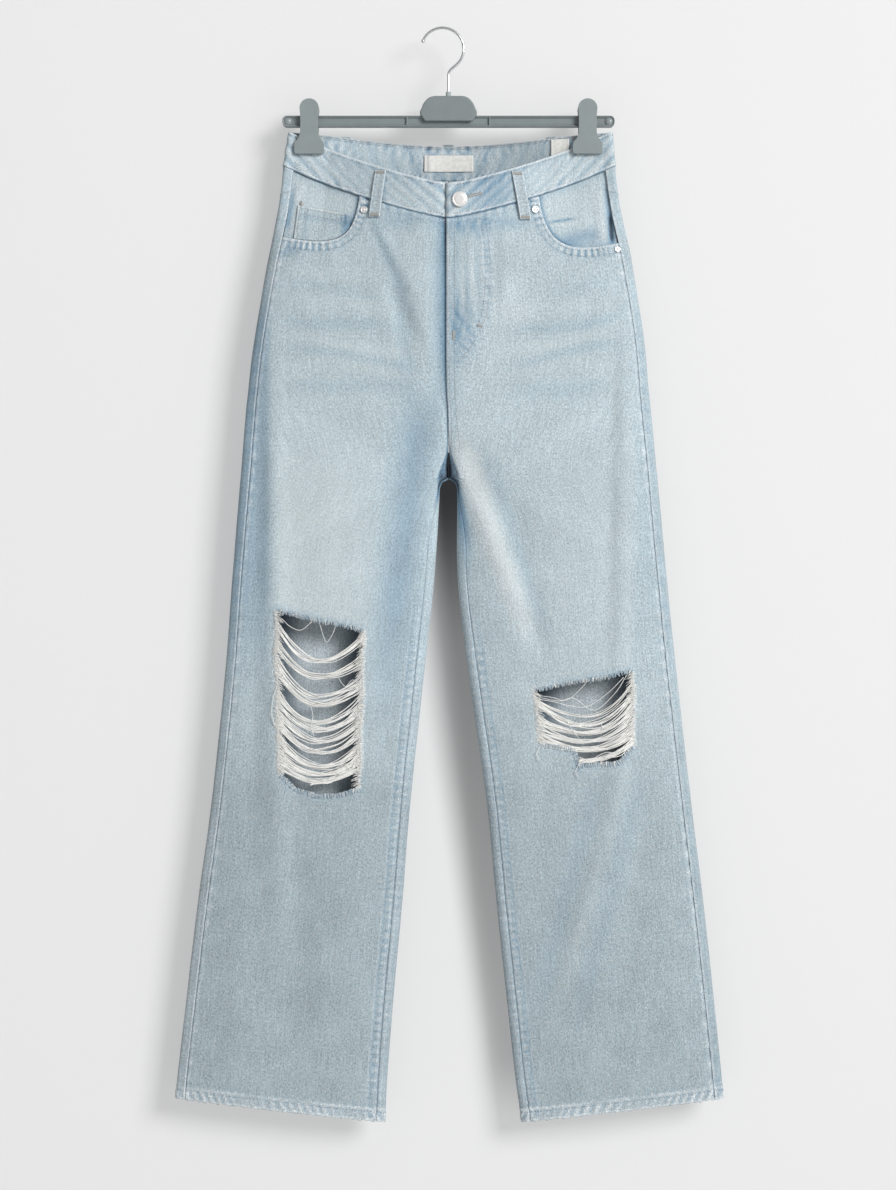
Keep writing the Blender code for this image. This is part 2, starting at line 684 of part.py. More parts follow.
def hanger_bar(material, parent):
    """The bar, recessed between its rims, with the moulded centre block and its boss."""
    bm = bmesh.new()
    bmesh.ops.create_cube(bm, size=1.0)
    bmesh.ops.scale(bm, vec=(2 * BAR_HALF, BAR_DEEP, BAR_HEIGHT), verts=bm.verts)
    bmesh.ops.translate(bm, vec=(0.0, 0.0, -BAR_TOP - BAR_HEIGHT / 2), verts=bm.verts)
    bevel_long_edges(bm, BAR_HEIGHT * 0.42, 3)
    faces = [face for face in bm.faces if abs(face.normal.y) > 0.9]
    for face in faces:
        bmesh.ops.inset_region(bm, faces=[face], thickness=BAR_RIM)
        bmesh.ops.translate(bm, vec=-face.normal * BAR_RECESS, verts=face.verts)
    bar = add_object("hanger_bar", bm, material, parent)

    outline = BLOCK_SIDE + [(-half, drop) for half, drop in reversed(BLOCK_SIDE)]
    block = prism("block_shape", outline, -BLOCK_DEEP / 2, BLOCK_DEEP / 2, material, parent)
    bevel = block.modifiers.new("Bevel", "BEVEL")
    bevel.width = 1.6 * MM
    bevel.segments = 2
    bevel.limit_method = "ANGLE"
    boss_depth = BLOCK_TOP - BOSS_TOP + 2 * MM
    boss = upright_cylinder("boss_shape", BOSS_RADIUS, -BOSS_TOP - boss_depth, -BOSS_TOP, 16, material,
                            parent)
    bore = upright_cylinder("bore_shape", WIRE + LAY_GAP, -BLOCK_TOP - 8 * MM, -BOSS_TOP + 5 * MM, 12,
                            material, parent)
    for tool, operation in ((block, "UNION"), (boss, "UNION"), (bore, "DIFFERENCE")):
        shape_with(bar, as_tool(tool), operation)
    return bar


def upright_cylinder(name, radius, z_low, z_high, segments, material, parent):
    bm = bmesh.new()
    bmesh.ops.create_cone(bm, cap_ends=True, segments=segments, radius1=radius, radius2=radius,
                          depth=z_high - z_low)
    bmesh.ops.translate(bm, vec=(0.0, 0.0, (z_low + z_high) / 2), verts=bm.verts)
    return add_object(name, bm, material, parent)


def hook(material, parent):
    """One wire: round the rail from its balled tip, back under the bend, and down into the block."""
    centre = Vector((0.0, 0.0, WIRE - HOOK_RADIUS))
    start, end = math.radians(158), math.radians(-42)
    turns = 20
    angles = [start - along * MM / HOOK_RADIUS for along, _ in HOOK_TIP]
    angles += [mix(start, end, k / turns) for k in range(1, turns + 1)]
    points = [centre + HOOK_RADIUS * Vector((math.cos(angle), 0.0, math.sin(angle))) for angle in angles]
    away = Vector((math.sin(end), 0.0, -math.cos(end)))
    shank_top = Vector((GARMENT_X, 0.0, -50.0 * MM))
    bend = interpolate_bezier(points[-1], points[-1] + away * 7 * MM, shank_top + Vector((0, 0, 6 * MM)),
                              shank_top, 7)
    points += bend[1:]
    points.append(Vector((GARMENT_X, 0.0, -BLOCK_TOP - 8 * MM + LAY_GAP)))

    curve = bpy.data.curves.new("hook", "CURVE")
    curve.dimensions = "3D"
    curve.bevel_depth = WIRE
    curve.bevel_resolution = 2
    curve.use_fill_caps = True
    spline = curve.splines.new("POLY")
    spline.points.add(len(points) - 1)
    for place, point in zip(spline.points, points):
        place.co = (*point, 1.0)
    for place, (_, thick) in zip(spline.points, HOOK_TIP):
        place.radius = thick
    obj = bpy.data.objects.new("hook", curve)
    bpy.context.scene.collection.objects.link(obj)
    obj.parent = parent
    curve.materials.append(material)
    return obj


def clip_outline(x):
    """Round top, straight stem, and a jaw that flares out below it."""
    points = []
    for k in range(9):
        angle = math.pi * k / 8
        points.append((x + CLIP_STEM * math.cos(angle), CLIP_TOP + CLIP_STEM * (1.0 - math.sin(angle))))
    points += [(x - CLIP_STEM, CLIP_FLARE), (x - CLIP_JAW, CLIP_WIDE),
               (x - CLIP_JAW, CLIP_END - CLIP_CORNER), (x - CLIP_JAW + CLIP_CORNER, CLIP_END)]
    points += [(2 * x - px, drop) for px, drop in reversed(points[-4:])]
    return points


def lean_over(jaw, move):
    """Bend the plate between the bar and its jaw, where it's first cut across."""
    bm = bmesh.new()
    bm.from_mesh(jaw.data)
    for drop in (BAR_TOP + BAR_HEIGHT, (BAR_TOP + BAR_HEIGHT + CLIP_FLARE) / 2, CLIP_FLARE):
        bmesh.ops.bisect_plane(bm, geom=bm.verts[:] + bm.edges[:] + bm.faces[:], dist=1e-6,
                               plane_co=(0.0, 0.0, -drop), plane_no=(0.0, 0.0, 1.0))
    for vert in bm.verts:
        vert.co.y += move * ease(-vert.co.z, BAR_TOP + BAR_HEIGHT, CLIP_FLARE)
    bm.to_mesh(jaw.data)
    bm.free()


def clip(side, material, parent):
    """Two jaws, in front of and behind the bar; the cloth is held between their lower ends."""
    jaw_face = PINCH + BAND_OUT + JAW_GAP
    bar_face = BAR_DEEP / 2 + LAY_GAP
    jaws = []
    for outward, face in ((-1, FRONT), (1, BACK)):
        name = f"clip_{SIDE_NAMES[side]}_{face}"
        jaw = prism(name, clip_outline(side * CLIP_X), outward * bar_face,
                    outward * (bar_face + CLIP_THICK), material, parent)
        lean_over(jaw, outward * (jaw_face - bar_face))
        jaws.append(jaw)
    bridge = prism("bridge_shape_" + SIDE_NAMES[side],
                   [(side * CLIP_X - 7 * MM, CLIP_TOP + 5 * MM), (side * CLIP_X + 7 * MM, CLIP_TOP + 5 * MM),
                    (side * CLIP_X + 7 * MM, BAR_TOP - LAY_GAP), (side * CLIP_X - 7 * MM, BAR_TOP - LAY_GAP)],
                   -bar_face - CLIP_THICK / 2, bar_face - LAY_GAP, material, parent)
    shape_with(jaws[0], as_tool(bridge), "UNION")
    return jaws


# ---- the whole object -----------------------------------------------------------------------

def main():
    clear_scene()
    denim = new_material("denim", (0.42, 0.52, 0.58), 0.9)
    zip_tape = new_material("zip_tape", (0.45, 0.55, 0.62), 0.8)
    yarn_white = new_material("yarn_white", (0.72, 0.69, 0.64), 0.95)
    label_cloth = new_material("label_cloth", (0.75, 0.75, 0.73), 0.8)
    steel = new_material("steel", (0.78, 0.78, 0.77), 0.25, 1.0)
    plastic = new_material("hanger_plastic", (0.24, 0.29, 0.30), 0.45)

    garment = bpy.data.objects.new("garment_place", None)
    garment.location.x = GARMENT_X
    bpy.context.scene.collection.objects.link(garment)

    for side in (RIGHT, LEFT):
        front = front_panel(side, denim, garment)
        name = SIDE_NAMES[side]
        shape_with(front, scoop_tool(side, 0.0, f"scoop_cutter_{name}", garment, denim), "DIFFERENCE")
        shape_with(front, rip_tool(side, denim, garment), "DIFFERENCE")
        back_panel(side, denim, garment)
        yoke(side, denim, garment)
        pocket_facing(side, denim, garment)
        back_pocket(side, denim, garment)
        clip(side, plastic, garment)
    coin = coin_pocket(denim, garment)
    coin_edge = scoop_tool(RIGHT, 0.5 * MM, "coin_cutter", garment, denim)
    shape_with(coin, coin_edge, "INTERSECT")
    waistband(denim, garment)
    for loop in LOOPS:
        belt_loop(loop, denim, garment)
    for row in LABELS:
        label(row, label_cloth, garment)
    fly_zip(zip_tape, garment)
    for number, yarn in enumerate(YARNS, start=1):
        rip_yarn(f"rip_yarn_{SIDE_NAMES[yarn.side]}_{number:02d}", yarn, yarn_white, garment)
    for rivet in RIVETS:
        stud(rivet.name, rivet.side, rivet.x, rivet.drop, LAY_GAP, rivet.radius, RIVET_HEIGHT,
             RIVET_DOME, steel, garment)
    stud("button", LEFT, BUTTON_X, BUTTON_DROP, BAND_OUT + LAY_GAP, BUTTON_RADIUS, BUTTON_HEIGHT,
         BUTTON_DOME, steel, garment)
    hanger_bar(plastic, garment)
    hook(steel, None)


main()
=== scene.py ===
# %% [markdown]
# Wide-leg jeans with ripped knees, hanging from a clip hanger. The imported solids give the place of every
# piece. This lesson dresses them: it forms the cloth again on the same sizes with far more rows, adds
# seams, stitches, folds, torn threads, wash and painted shade, and gives each finish its own nodes.

# %% The frame and the tools
import math
from collections import namedtuple

import bmesh
import bpy
import numpy as np
from mathutils import Matrix, Vector
from mathutils.geometry import interpolate_bezier


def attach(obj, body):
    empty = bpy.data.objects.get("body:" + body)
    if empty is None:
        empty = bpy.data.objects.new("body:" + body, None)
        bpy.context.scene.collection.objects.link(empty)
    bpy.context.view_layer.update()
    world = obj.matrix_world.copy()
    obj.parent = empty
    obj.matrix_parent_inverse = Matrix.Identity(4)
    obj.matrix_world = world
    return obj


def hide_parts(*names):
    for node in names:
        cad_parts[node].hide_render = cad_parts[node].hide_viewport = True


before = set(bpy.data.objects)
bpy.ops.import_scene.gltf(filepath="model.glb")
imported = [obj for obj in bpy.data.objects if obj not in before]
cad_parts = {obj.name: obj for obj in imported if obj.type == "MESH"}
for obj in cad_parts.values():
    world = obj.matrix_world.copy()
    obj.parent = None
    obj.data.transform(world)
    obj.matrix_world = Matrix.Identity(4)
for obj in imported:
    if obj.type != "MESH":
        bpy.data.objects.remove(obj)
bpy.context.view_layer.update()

MM = 0.001
RIGHT, LEFT = -1, 1                 # the wearer's sides
SIDE_NAMES = {RIGHT: "right", LEFT: "left"}
FRONT, BACK = "front", "back"
scene = bpy.context.scene
print("nodes in the frame:", len(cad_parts))

# %% [markdown]
# The garment hangs in one plane. Two numbers name a place on its cloth: a runs round one half of
# the body or round one leg, and level runs down it. The sizes below are the ones the solids were
# made from, so a piece that is formed here lies exactly where its solid lies.

# %% Sizes of the garment
GARMENT_X = 6.5 * MM                # the garment hangs this far beside the top of the hook
BAND_TOP, WAIST, HIP = 112.0 * MM, 150.0 * MM, 340.0 * MM
CROTCH, HEM, HEM_DEPTH = 491.0 * MM, 1165.0 * MM, 10.5 * MM
HEM_TILT, FRONT_DIP, BACK_DIP = 26.0 * MM, 59.0 * MM, 12.0 * MM
CLOTH, SEAM_GAP, LAY_GAP, PATCH_GAP = 1.6 * MM, 0.12 * MM, 0.3 * MM, 0.8 * MM
BAND_OUT, BAND_IN = 0.8 * MM, 2.2 * MM
HEM_OUT, HEM_IN = 0.6 * MM, 2.4 * MM
SIDE_SEAM_INSET, INSEAM_INSET, INSEAM_ONSET = 10.5 * MM, 10.0 * MM, 75.0 * MM
FOLD_POWER = 2 / 3                  # below 1 makes flat faces and tight folds
HEM_OUTER_X, HEM_INNER_X = 302.0 * MM, 64.0 * MM    # x of a leg's outer and inner fold at the hem
FLY_LAP, FLY_RECESS, FLY_END = 2.5 * MM, 2.1 * MM, 345.0 * MM
PINCH, PINCH_START, END_LOOP = 3.0 * MM, 0.74, 2.0 * MM

SECTIONS = np.array([
    # drop, right_out, right_in, left_out, left_in, front, back
    (110.0, 173.5, 9.0, 178.0, 9.0, 24.0, 28.0),
    (150.0, 179.5, 9.0, 181.5, 9.0, 24.0, 28.0),
    (200.0, 186.0, 9.0, 188.5, 9.0, 25.0, 27.0),
    (252.0, 196.5, 9.0, 199.5, 9.0, 25.0, 25.5),
    (339.0, 211.5, 9.0, 213.5, 9.0, 24.0, 24.0),
    (404.0, 219.5, 9.0, 219.5, 9.0, 23.0, 23.0),
    (492.0, 227.0, 9.0, 228.5, 9.5, 21.0, 21.5),
    (598.0, 236.0, 15.0, 238.5, 9.5, 19.0, 20.0),
    (700.0, 243.5, 26.0, 248.5, 21.5, 17.5, 18.5),
    (840.0, 258.0, 41.0, 264.5, 41.0, 16.0, 17.0),
    (950.0, 273.0, 50.0, 277.5, 52.0, 14.5, 15.5),
    (1058.0, 286.0, 60.0, 289.5, 63.5, 13.0, 14.0),
    (1146.0, 296.0, 66.5, 298.5, 73.0, 12.0, 13.0),
    (1195.0, 299.0, 69.0, 303.5, 80.0, 11.5, 12.5),
]) * MM

Fold = namedtuple("Fold", "side face x_top top x_end end half_width height")


def folds(rows):
    return [Fold(row[0], row[1], *(value * MM for value in row[2:])) for row in rows]


LARGE_FOLDS = folds((
    # side, face, x_top, top, x_end, end, half_width, height
    (RIGHT, FRONT, 190, 330, 184, 1010, 14, 3.0),
    (LEFT, FRONT, 196, 300, 182, 960, 14, 3.0),
    (LEFT, FRONT, 26, 498, 86, 648, 17, 4.0),
    (RIGHT, FRONT, 47, 240, 17, 368, 13, 2.5),
    (RIGHT, FRONT, 62, 276, 37, 345, 12, -2.5),
    (RIGHT, FRONT, 22, 535, 57, 840, 14, 2.5),
    (RIGHT, BACK, 70, 505, 130, 660, 22, 3.5),
    (LEFT, BACK, 80, 505, 135, 690, 22, 3.5),
    (RIGHT, BACK, 185, 500, 190, 980, 16, 2.5),
    (LEFT, BACK, 190, 490, 195, 930, 16, 2.5),
))
print("large folds:", len(LARGE_FOLDS))

# %% [markdown]
# The small creases of soft denim are too low for the solids. Each row is one soft ridge or trough: no two
# have the same length, width or height, and both sides of the garment have some, also where nobody looks.

# %% Soft creases
SOFT_FOLDS = folds((
    # side, face, x_top, top, x_end, end, half_width, height
    (RIGHT, FRONT, 88, 212, 30, 330, 9, 1.3),
    (RIGHT, FRONT, 100, 262, 60, 400, 16, -1.2),
    (RIGHT, FRONT, 89, 208, 50, 292, 6, -1.5),
    (RIGHT, FRONT, 78, 214, 30, 300, 7, 1.1),
    (RIGHT, FRONT, 60, 290, 44, 380, 8, -1.0),
    (RIGHT, FRONT, 30, 205, 24, 330, 8, 0.9),
    (RIGHT, FRONT, 14, 210, 12, 420, 6, -1.2),
    (RIGHT, FRONT, 150, 232, 120, 300, 9, -0.6),
    (RIGHT, FRONT, 30, 400, 62, 620, 15, -2.0),
    (RIGHT, FRONT, 66, 470, 78, 700, 18, -1.5),
    (RIGHT, FRONT, 205, 420, 212, 640, 10, -1.8),
    (RIGHT, FRONT, 210, 640, 216, 930, 12, -1.4),
    (RIGHT, FRONT, 128, 460, 132, 640, 20, 1.0),
    (RIGHT, FRONT, 108, 850, 96, 1150, 22, 1.7),
    (RIGHT, FRONT, 160, 850, 176, 1160, 17, -1.7),
    (RIGHT, FRONT, 222, 900, 236, 1150, 18, 1.4),
    (RIGHT, FRONT, 140, 960, 128, 1165, 12, 0.9),
    (RIGHT, FRONT, 82, 930, 84, 1160, 10, -0.9),
    (LEFT, FRONT, 66, 500, 104, 690, 13, -2.0),
    (LEFT, FRONT, 92, 205, 60, 300, 12, 0.9),
    (LEFT, FRONT, 40, 300, 70, 420, 16, -0.9),
    (LEFT, FRONT, 22, 214, 24, 330, 5, 0.6),
    (LEFT, FRONT, 31, 214, 32, 322, 4, -0.6),
    (LEFT, FRONT, 52, 212, 50, 330, 7, -0.8),
    (LEFT, FRONT, 62, 214, 58, 310, 6, 0.7),
    (LEFT, FRONT, 88, 300, 120, 240, 10, 0.5),
    (LEFT, FRONT, 12, 460, 18, 520, 8, 0.8),
    (LEFT, FRONT, 150, 480, 140, 700, 24, 1.1),
    (LEFT, FRONT, 178, 330, 172, 700, 9, -1.5),
    (LEFT, FRONT, 222, 470, 232, 760, 12, -1.4),
    (LEFT, FRONT, 192, 790, 128, 1060, 13, 2.6),
    (LEFT, FRONT, 216, 860, 172, 1150, 16, -1.5),
    (LEFT, FRONT, 100, 830, 108, 1150, 20, -1.3),
    (LEFT, FRONT, 236, 960, 246, 1160, 16, 1.3),
    (LEFT, FRONT, 86, 700, 80, 860, 11, 1.0),
    (RIGHT, BACK, 60, 210, 90, 260, 14, 0.9),
    (RIGHT, BACK, 30, 420, 90, 500, 15, -1.4),
    (RIGHT, BACK, 110, 500, 150, 760, 18, -1.5),
    (RIGHT, BACK, 120, 720, 116, 1130, 22, 1.5),
    (RIGHT, BACK, 160, 820, 180, 1160, 16, -1.4),
    (LEFT, BACK, 34, 410, 100, 500, 15, -1.4),
    (LEFT, BACK, 118, 520, 158, 790, 18, -1.6),
    (LEFT, BACK, 130, 740, 122, 1140, 22, 1.5),
    (LEFT, BACK, 176, 800, 196, 1165, 16, -1.3),
))
print("soft folds:", len(SOFT_FOLDS))

# %% [markdown]
# Thousands of rows and columns are formed below, so the rules work on whole arrays at once. ease is
# the soft step that blends one shape into the next, and the section table is read once for every
# millimetre and then only looked up.

# %% Small helpers


def ease(value, start, end):
    """Smooth step from 0 at start to 1 at end."""
    t = np.clip((value - start) / (end - start), 0.0, 1.0)
    return t * t * (3.0 - 2.0 * t)


def mix(a, b, t):
    return a + (b - a) * t


def bump_at(value, centre, half_width):
    """A soft bell of height 1 at centre."""
    return np.exp(-((value - centre) / half_width) ** 2)


def bell(value, centre, half_width):
    """The same bell, with its centre and half width in millimetres."""
    return bump_at(value, centre * MM, half_width * MM)


def within(value, rise_from, rise_to, fall_from, fall_to):
    """1 between a soft step up and a soft step down."""
    return ease(value, rise_from, rise_to) * (1.0 - ease(value, fall_from, fall_to))


def ridge(ripple):
    """The part of a ripple above zero; given the negative ripple, its hollows."""
    return np.maximum(ripple, 0.0)


def lengths(vectors):
    return np.sqrt((vectors ** 2).sum(axis=-1))


def unit(vectors):
    return vectors / np.maximum(lengths(vectors), 1e-12)[..., None]


def walked_along(line):
    """How far along a line each of its points lies."""
    return np.concatenate(([0.0], np.cumsum(lengths(np.diff(line, axis=0)))))


def places_at(at, walked, line):
    """Points at given lengths along a line."""
    return np.stack([np.interp(at, walked, column) for column in line.T], axis=-1)


def section_lookup():
    """The section table, smooth between its rows, at every millimetre of drop."""
    rows = SECTIONS
    drops = np.arange(rows[0, 0], rows[-1, 0] + MM / 2, MM)
    low = np.clip(np.searchsorted(rows[:, 0], drops, side="right") - 1, 0, len(rows) - 2)
    last = len(rows) - 1
    before, after = np.maximum(np.arange(len(rows)) - 1, 0), np.minimum(np.arange(len(rows)) + 1, last)
    slopes = (rows[after] - rows[before]) / (rows[after, :1] - rows[before, :1])
    span = (rows[low + 1, 0] - rows[low, 0])[:, None]
    t = np.clip((drops - rows[low, 0])[:, None] / span, 0.0, 1.0)
    table = ((2 * t**3 - 3 * t**2 + 1) * rows[low] + (t**3 - 2 * t**2 + t) * slopes[low] * span
             + (3 * t**2 - 2 * t**3) * rows[low + 1] + (t**3 - t**2) * slopes[low + 1] * span)
    return drops, table[:, 1:]


SECTION_DROPS, SECTION_TABLE = section_lookup()


def section_at(drop):
    return [np.interp(drop, SECTION_DROPS, column) for column in SECTION_TABLE.T]


print("sections read:", len(SECTION_DROPS))

# %% [markdown]
# outer_face is the whole garment in one function. Above the crotch it is a flattened body, below it
# two flattened legs, and the waist is pinched where the clips hold it. The folds are added to the
# depth, so cloth, stitches and trims that ask for a place all get the same folds.

# %% The form of the garment


def fold_round(value):
    return np.sign(value) * np.abs(value) ** FOLD_POWER


def drop_at(a, level):
    """The waist dips at the centre, and the hem at the inner leg."""
    off_centre = np.abs(np.sin(np.pi * a))
    dip = np.where(a <= 0.5, FRONT_DIP * (1.0 - off_centre ** 1.3), BACK_DIP * (1.0 - off_centre ** 1.5))
    inward = (1.0 + np.cos(2.0 * np.pi * a)) / 2.0
    down_leg = np.maximum(0.0, (level - CROTCH) / (HEM - CROTCH))
    return level + dip * (1.0 - ease(level, WAIST, HIP)) + HEM_TILT * inward * down_leg


def fold_height(rows, side, front, x, drop):
    """Height of the folds at places on the front (where front is true) or the back."""
    total = np.zeros_like(x)
    for fold in rows:
        if fold.side == side:
            t = (drop - fold.top) / (fold.end - fold.top)
            fade = within(t, -0.1, 0.25, 0.75, 1.1)
            here = front if fold.face == FRONT else ~front
            total += here * fold.height * fade * bump_at(x, mix(fold.x_top, fold.x_end, t), fold.half_width)
    return total


def outer_face(side, a, level):
    """Points of the cloth's outer face. a runs round one half of the garment: 0 is the centre front,
    or the inner fold of the leg, 0.5 is the outer fold, and 1 is the centre back."""
    a, level = np.broadcast_arrays(np.asarray(a, float), np.asarray(level, float))
    drop = drop_at(a, level)
    right_out, right_in, left_out, left_in, front_depth, back_depth = section_at(drop)
    wide, narrow = (right_out, right_in) if side == RIGHT else (left_out, left_in)
    in_leg = level > CROTCH
    turn = np.where(in_leg, np.mod(a, 1.0), a)
    front = np.where(in_leg, np.sin(2.0 * np.pi * a) >= 0.0, np.cos(np.pi * a) >= 0.0)
    depth = np.where(front, front_depth, back_depth)
    sine, cosine = np.sin(np.pi * turn), np.cos(np.pi * turn)
    arch = np.clip((level - CROTCH) / (12.0 * MM), 0.0, 1.0)
    leg_x = (wide + narrow) / 2 - (wide - narrow) / 2 * np.cos(2.0 * np.pi * a)
    closed = (narrow - SEAM_GAP / 2) * (1.0 - np.sqrt(1.0 - (1.0 - arch) ** 2))
    leg_x = leg_x - closed * np.exp(-((leg_x - narrow) / (26.0 * MM)) ** 2)
    leg_y = -depth * fold_round(np.sin(2.0 * np.pi * a))
    body_x = SEAM_GAP / 2 + (wide - SEAM_GAP / 2) * sine
    body_y = -depth * fold_round(cosine)
    lens = np.maximum(0.0, 1.0 - (sine / PINCH_START) ** 2) ** 1.2
    flat = 1.0 - (1.0 - np.minimum(1.0, np.abs(cosine)) ** FOLD_POWER) ** 4
    loop = END_LOOP * np.sin(np.pi * np.minimum(1.0, np.abs(cosine) / 0.35))
    waist_y = -np.sign(cosine) * (PINCH * flat + (depth - PINCH) * lens + loop)
    body_y = mix(waist_y, body_y, ease(level, WAIST, 270.0 * MM))
    x = mix(body_x, leg_x, ease(level, HIP, CROTCH))
    settled = 0.92 * ease(level, 430.0 * MM, CROTCH) + 0.08 * ease(level, CROTCH, CROTCH + 45.0 * MM)
    y = mix(body_y, leg_y, settled)
    outward = np.where(front, -1.0, 1.0)
    y = y + outward * fold_height(LARGE_FOLDS, side, front, x, drop)
    return np.stack((side * x, y, -drop), axis=-1)


print("crotch at", outer_face(RIGHT, 0.0, CROTCH).round(4))

# %% [markdown]
# A place on the cloth also needs a direction: the normal, found from two short steps along the
# surface. on_cloth adds the soft creases along it, and everything in the garment is placed with it.

# %% Places on the cloth


def frame_at(side, a, level):
    """Points of the outer face with the normals that point out of the cloth."""
    a, level = np.broadcast_arrays(np.asarray(a, float), np.asarray(level, float))
    step = 0.0015
    in_leg = level > CROTCH
    above = np.where((level - step > CROTCH) == in_leg, level - step, level)
    below = np.where((level + step > CROTCH) == in_leg, level + step, level)
    round_body = outer_face(side, a + step, level) - outer_face(side, a - step, level)
    down_body = outer_face(side, a, below) - outer_face(side, a, above)
    return outer_face(side, a, level), unit(np.cross(down_body, round_body) * side)


def crumple(x, drop):
    """Small soft dents all over, lower down the legs than at the hips."""
    bend = 3.0 * np.sin(x / 0.052 + drop / 0.071) + 2.0 * np.sin(drop / 0.039 - x / 0.083)
    dents = np.sin(x / 0.0062 + drop / 0.0135 + bend) * np.sin(drop / 0.0145 - x / 0.021 + 0.7 * bend)
    wide = np.sin(x / 0.0135 - drop / 0.030 + 0.8 * bend) * np.sin(drop / 0.026 + x / 0.055 + bend)
    strength = 0.30 + 0.70 * (1.0 - ease(drop, 0.24, 0.42))
    return strength * (0.17 * dents + 0.30 * wide) * MM


def crease_lift(side, points, normals):
    """Soft creases and a slow unevenness, the same for all layers that lie on each other."""
    x, drop = points[..., 0] * side, -points[..., 2]
    front = normals[..., 1] < 0.0
    lift = fold_height(SOFT_FOLDS, side, front, x, drop)
    slow = (np.sin(x / 0.031 + 2.0 * np.sin(drop / 0.16 + side)) * np.sin(drop / 0.093 + 1.7 * side)
            + 0.6 * np.sin(x / 0.017 - drop / 0.21 + side))
    return lift + 0.30 * MM * slow * ease(drop, 0.20, 0.32) + crumple(x * side, drop)


def on_cloth(side, a, level, lift):
    """Points off the creased outer face by lift, outwards where it is positive, and the normals."""
    points, normals = frame_at(side, a, level)
    total = lift + crease_lift(side, points, normals)
    return points + normals * total[..., None], normals


def locate(side, x, drop, face):
    """The a and level of points on one face, with x outwards from the centre line."""
    x, drop = np.broadcast_arrays(np.asarray(x, float), np.asarray(drop, float))
    level = drop.copy()
    for _ in range(5):
        outer = np.full_like(level, 0.5)
        if face == FRONT:
            centre = np.where(level > CROTCH, 0.0, -0.2)
        else:
            centre = np.where(level > CROTCH, 1.0, 1.2)
        for _ in range(18):
            a = (centre + outer) / 2
            short = outer_face(side, a, level)[..., 0] * side < x
            centre = np.where(short, a, centre)
            outer = np.where(short, outer, a)
        level = level + drop - drop_at(a, level)
    return a, level


def seam_table(find_from, find_to, target):
    """Bisects for the place round the body where the cloth reaches target, for every level."""
    low, high = find_from.copy(), find_to.copy()
    for _ in range(20):
        a = (low + high) / 2
        short = target(a)
        low = np.where(short, a, low)
        high = np.where(short, high, a)
    return a


LEVELS = np.arange(BAND_TOP, HEM + MM, MM)
SIDE_SEAMS, INSEAMS = {}, {}
for side in (RIGHT, LEFT):
    ones = np.ones_like(LEVELS)
    edge = np.abs(outer_face(side, 0.5 * ones, LEVELS)[:, 0]) - SIDE_SEAM_INSET
    SIDE_SEAMS[side] = seam_table(0.25 * ones, 0.5 * ones,
                                  lambda a: outer_face(side, a, LEVELS)[:, 0] * side < edge)
    inner = np.abs(outer_face(side, 0.0 * ones, LEVELS)[:, 0])
    inner = inner + INSEAM_INSET * ease(LEVELS, CROTCH, CROTCH + INSEAM_ONSET)
    INSEAMS[side] = seam_table(0.006 * ones, 0.25 * ones,
                               lambda a: outer_face(side, a, LEVELS)[:, 0] * side < inner)


def side_seam(side, level):
    return np.interp(level, LEVELS, SIDE_SEAMS[side])


def inseam(side, level):
    """Where the inseam runs; above the crotch it is the centre seam."""
    return np.where(level > CROTCH, np.interp(level, LEVELS, INSEAMS[side]), 0.0)


def run_per_turn(side, a, level):
    """Length of cloth per unit of a, level with the place."""
    step = 0.002
    return lengths(outer_face(side, a + step, level) - outer_face(side, a - step, level)) / (2 * step)


def seam_step(side, a, level):
    """Half the seam gap, as a share of the way round."""
    return SEAM_GAP / 2 / run_per_turn(side, a, level)


print("side seam at the knee:", round(float(side_seam(RIGHT, 0.7)), 4))

# %% [markdown]
# Denim shows its making in its colour: the thighs are rubbed pale, whisker lines cross the hips, and every
# seam keeps blue in its hollows and turns white on its ridges. The same masks also carry painted light:
# painted shade on the side of a leg that faces away from the lamp, in fold valleys and on the lower legs,
# and painted highlight on the ridges of folds. One function works out the four masks for a place on the
# cloth, and each piece stores them in one colour attribute for the material.

# %% Wash and painted shade of the cloth
Streak = namedtuple("Streak", "side x_in drop_in x_out drop_out half_width strength")
WHISKERS = [Streak(row[0], *(value * MM for value in row[1:6]), row[6]) for row in (
    # side, x_in, drop_in, x_out, drop_out, half_width, strength (pale above 0, blue below)
    (RIGHT, 60, 312, 184, 296, 6, 0.45),
    (RIGHT, 22, 352, 186, 336, 5, 0.60),
    (RIGHT, 34, 380, 180, 366, 5, 0.45),
    (RIGHT, 50, 268, 180, 262, 6, 0.35),
    (RIGHT, 60, 330, 186, 314, 5, -0.45),
    (RIGHT, 30, 368, 182, 352, 4, -0.40),
    (RIGHT, 40, 398, 176, 384, 6, -0.40),
    (RIGHT, 70, 288, 186, 280, 5, -0.30),
    (LEFT, 56, 318, 184, 298, 6, 0.45),
    (LEFT, 46, 350, 190, 328, 5, 0.55),
    (LEFT, 56, 382, 186, 362, 6, 0.40),
    (LEFT, 60, 336, 190, 312, 5, -0.50),
    (LEFT, 60, 366, 192, 346, 4, -0.45),
    (LEFT, 66, 402, 170, 386, 7, -0.40),
    (LEFT, 100, 290, 188, 276, 5, -0.25),
)]


def thigh_patch(side, x, drop):
    """The rubbed patch on the thigh: sharp towards the outer fold, soft elsewhere."""
    inner, outer, top = (70, 191, 350) if side == RIGHT else (80, 203, 370)
    across = within(x, inner * MM - 0.020, inner * MM + 0.050, outer * MM - 0.010, outer * MM)
    down = within(drop, top * MM, top * MM + 0.19, 0.62, 0.88)
    return across * down


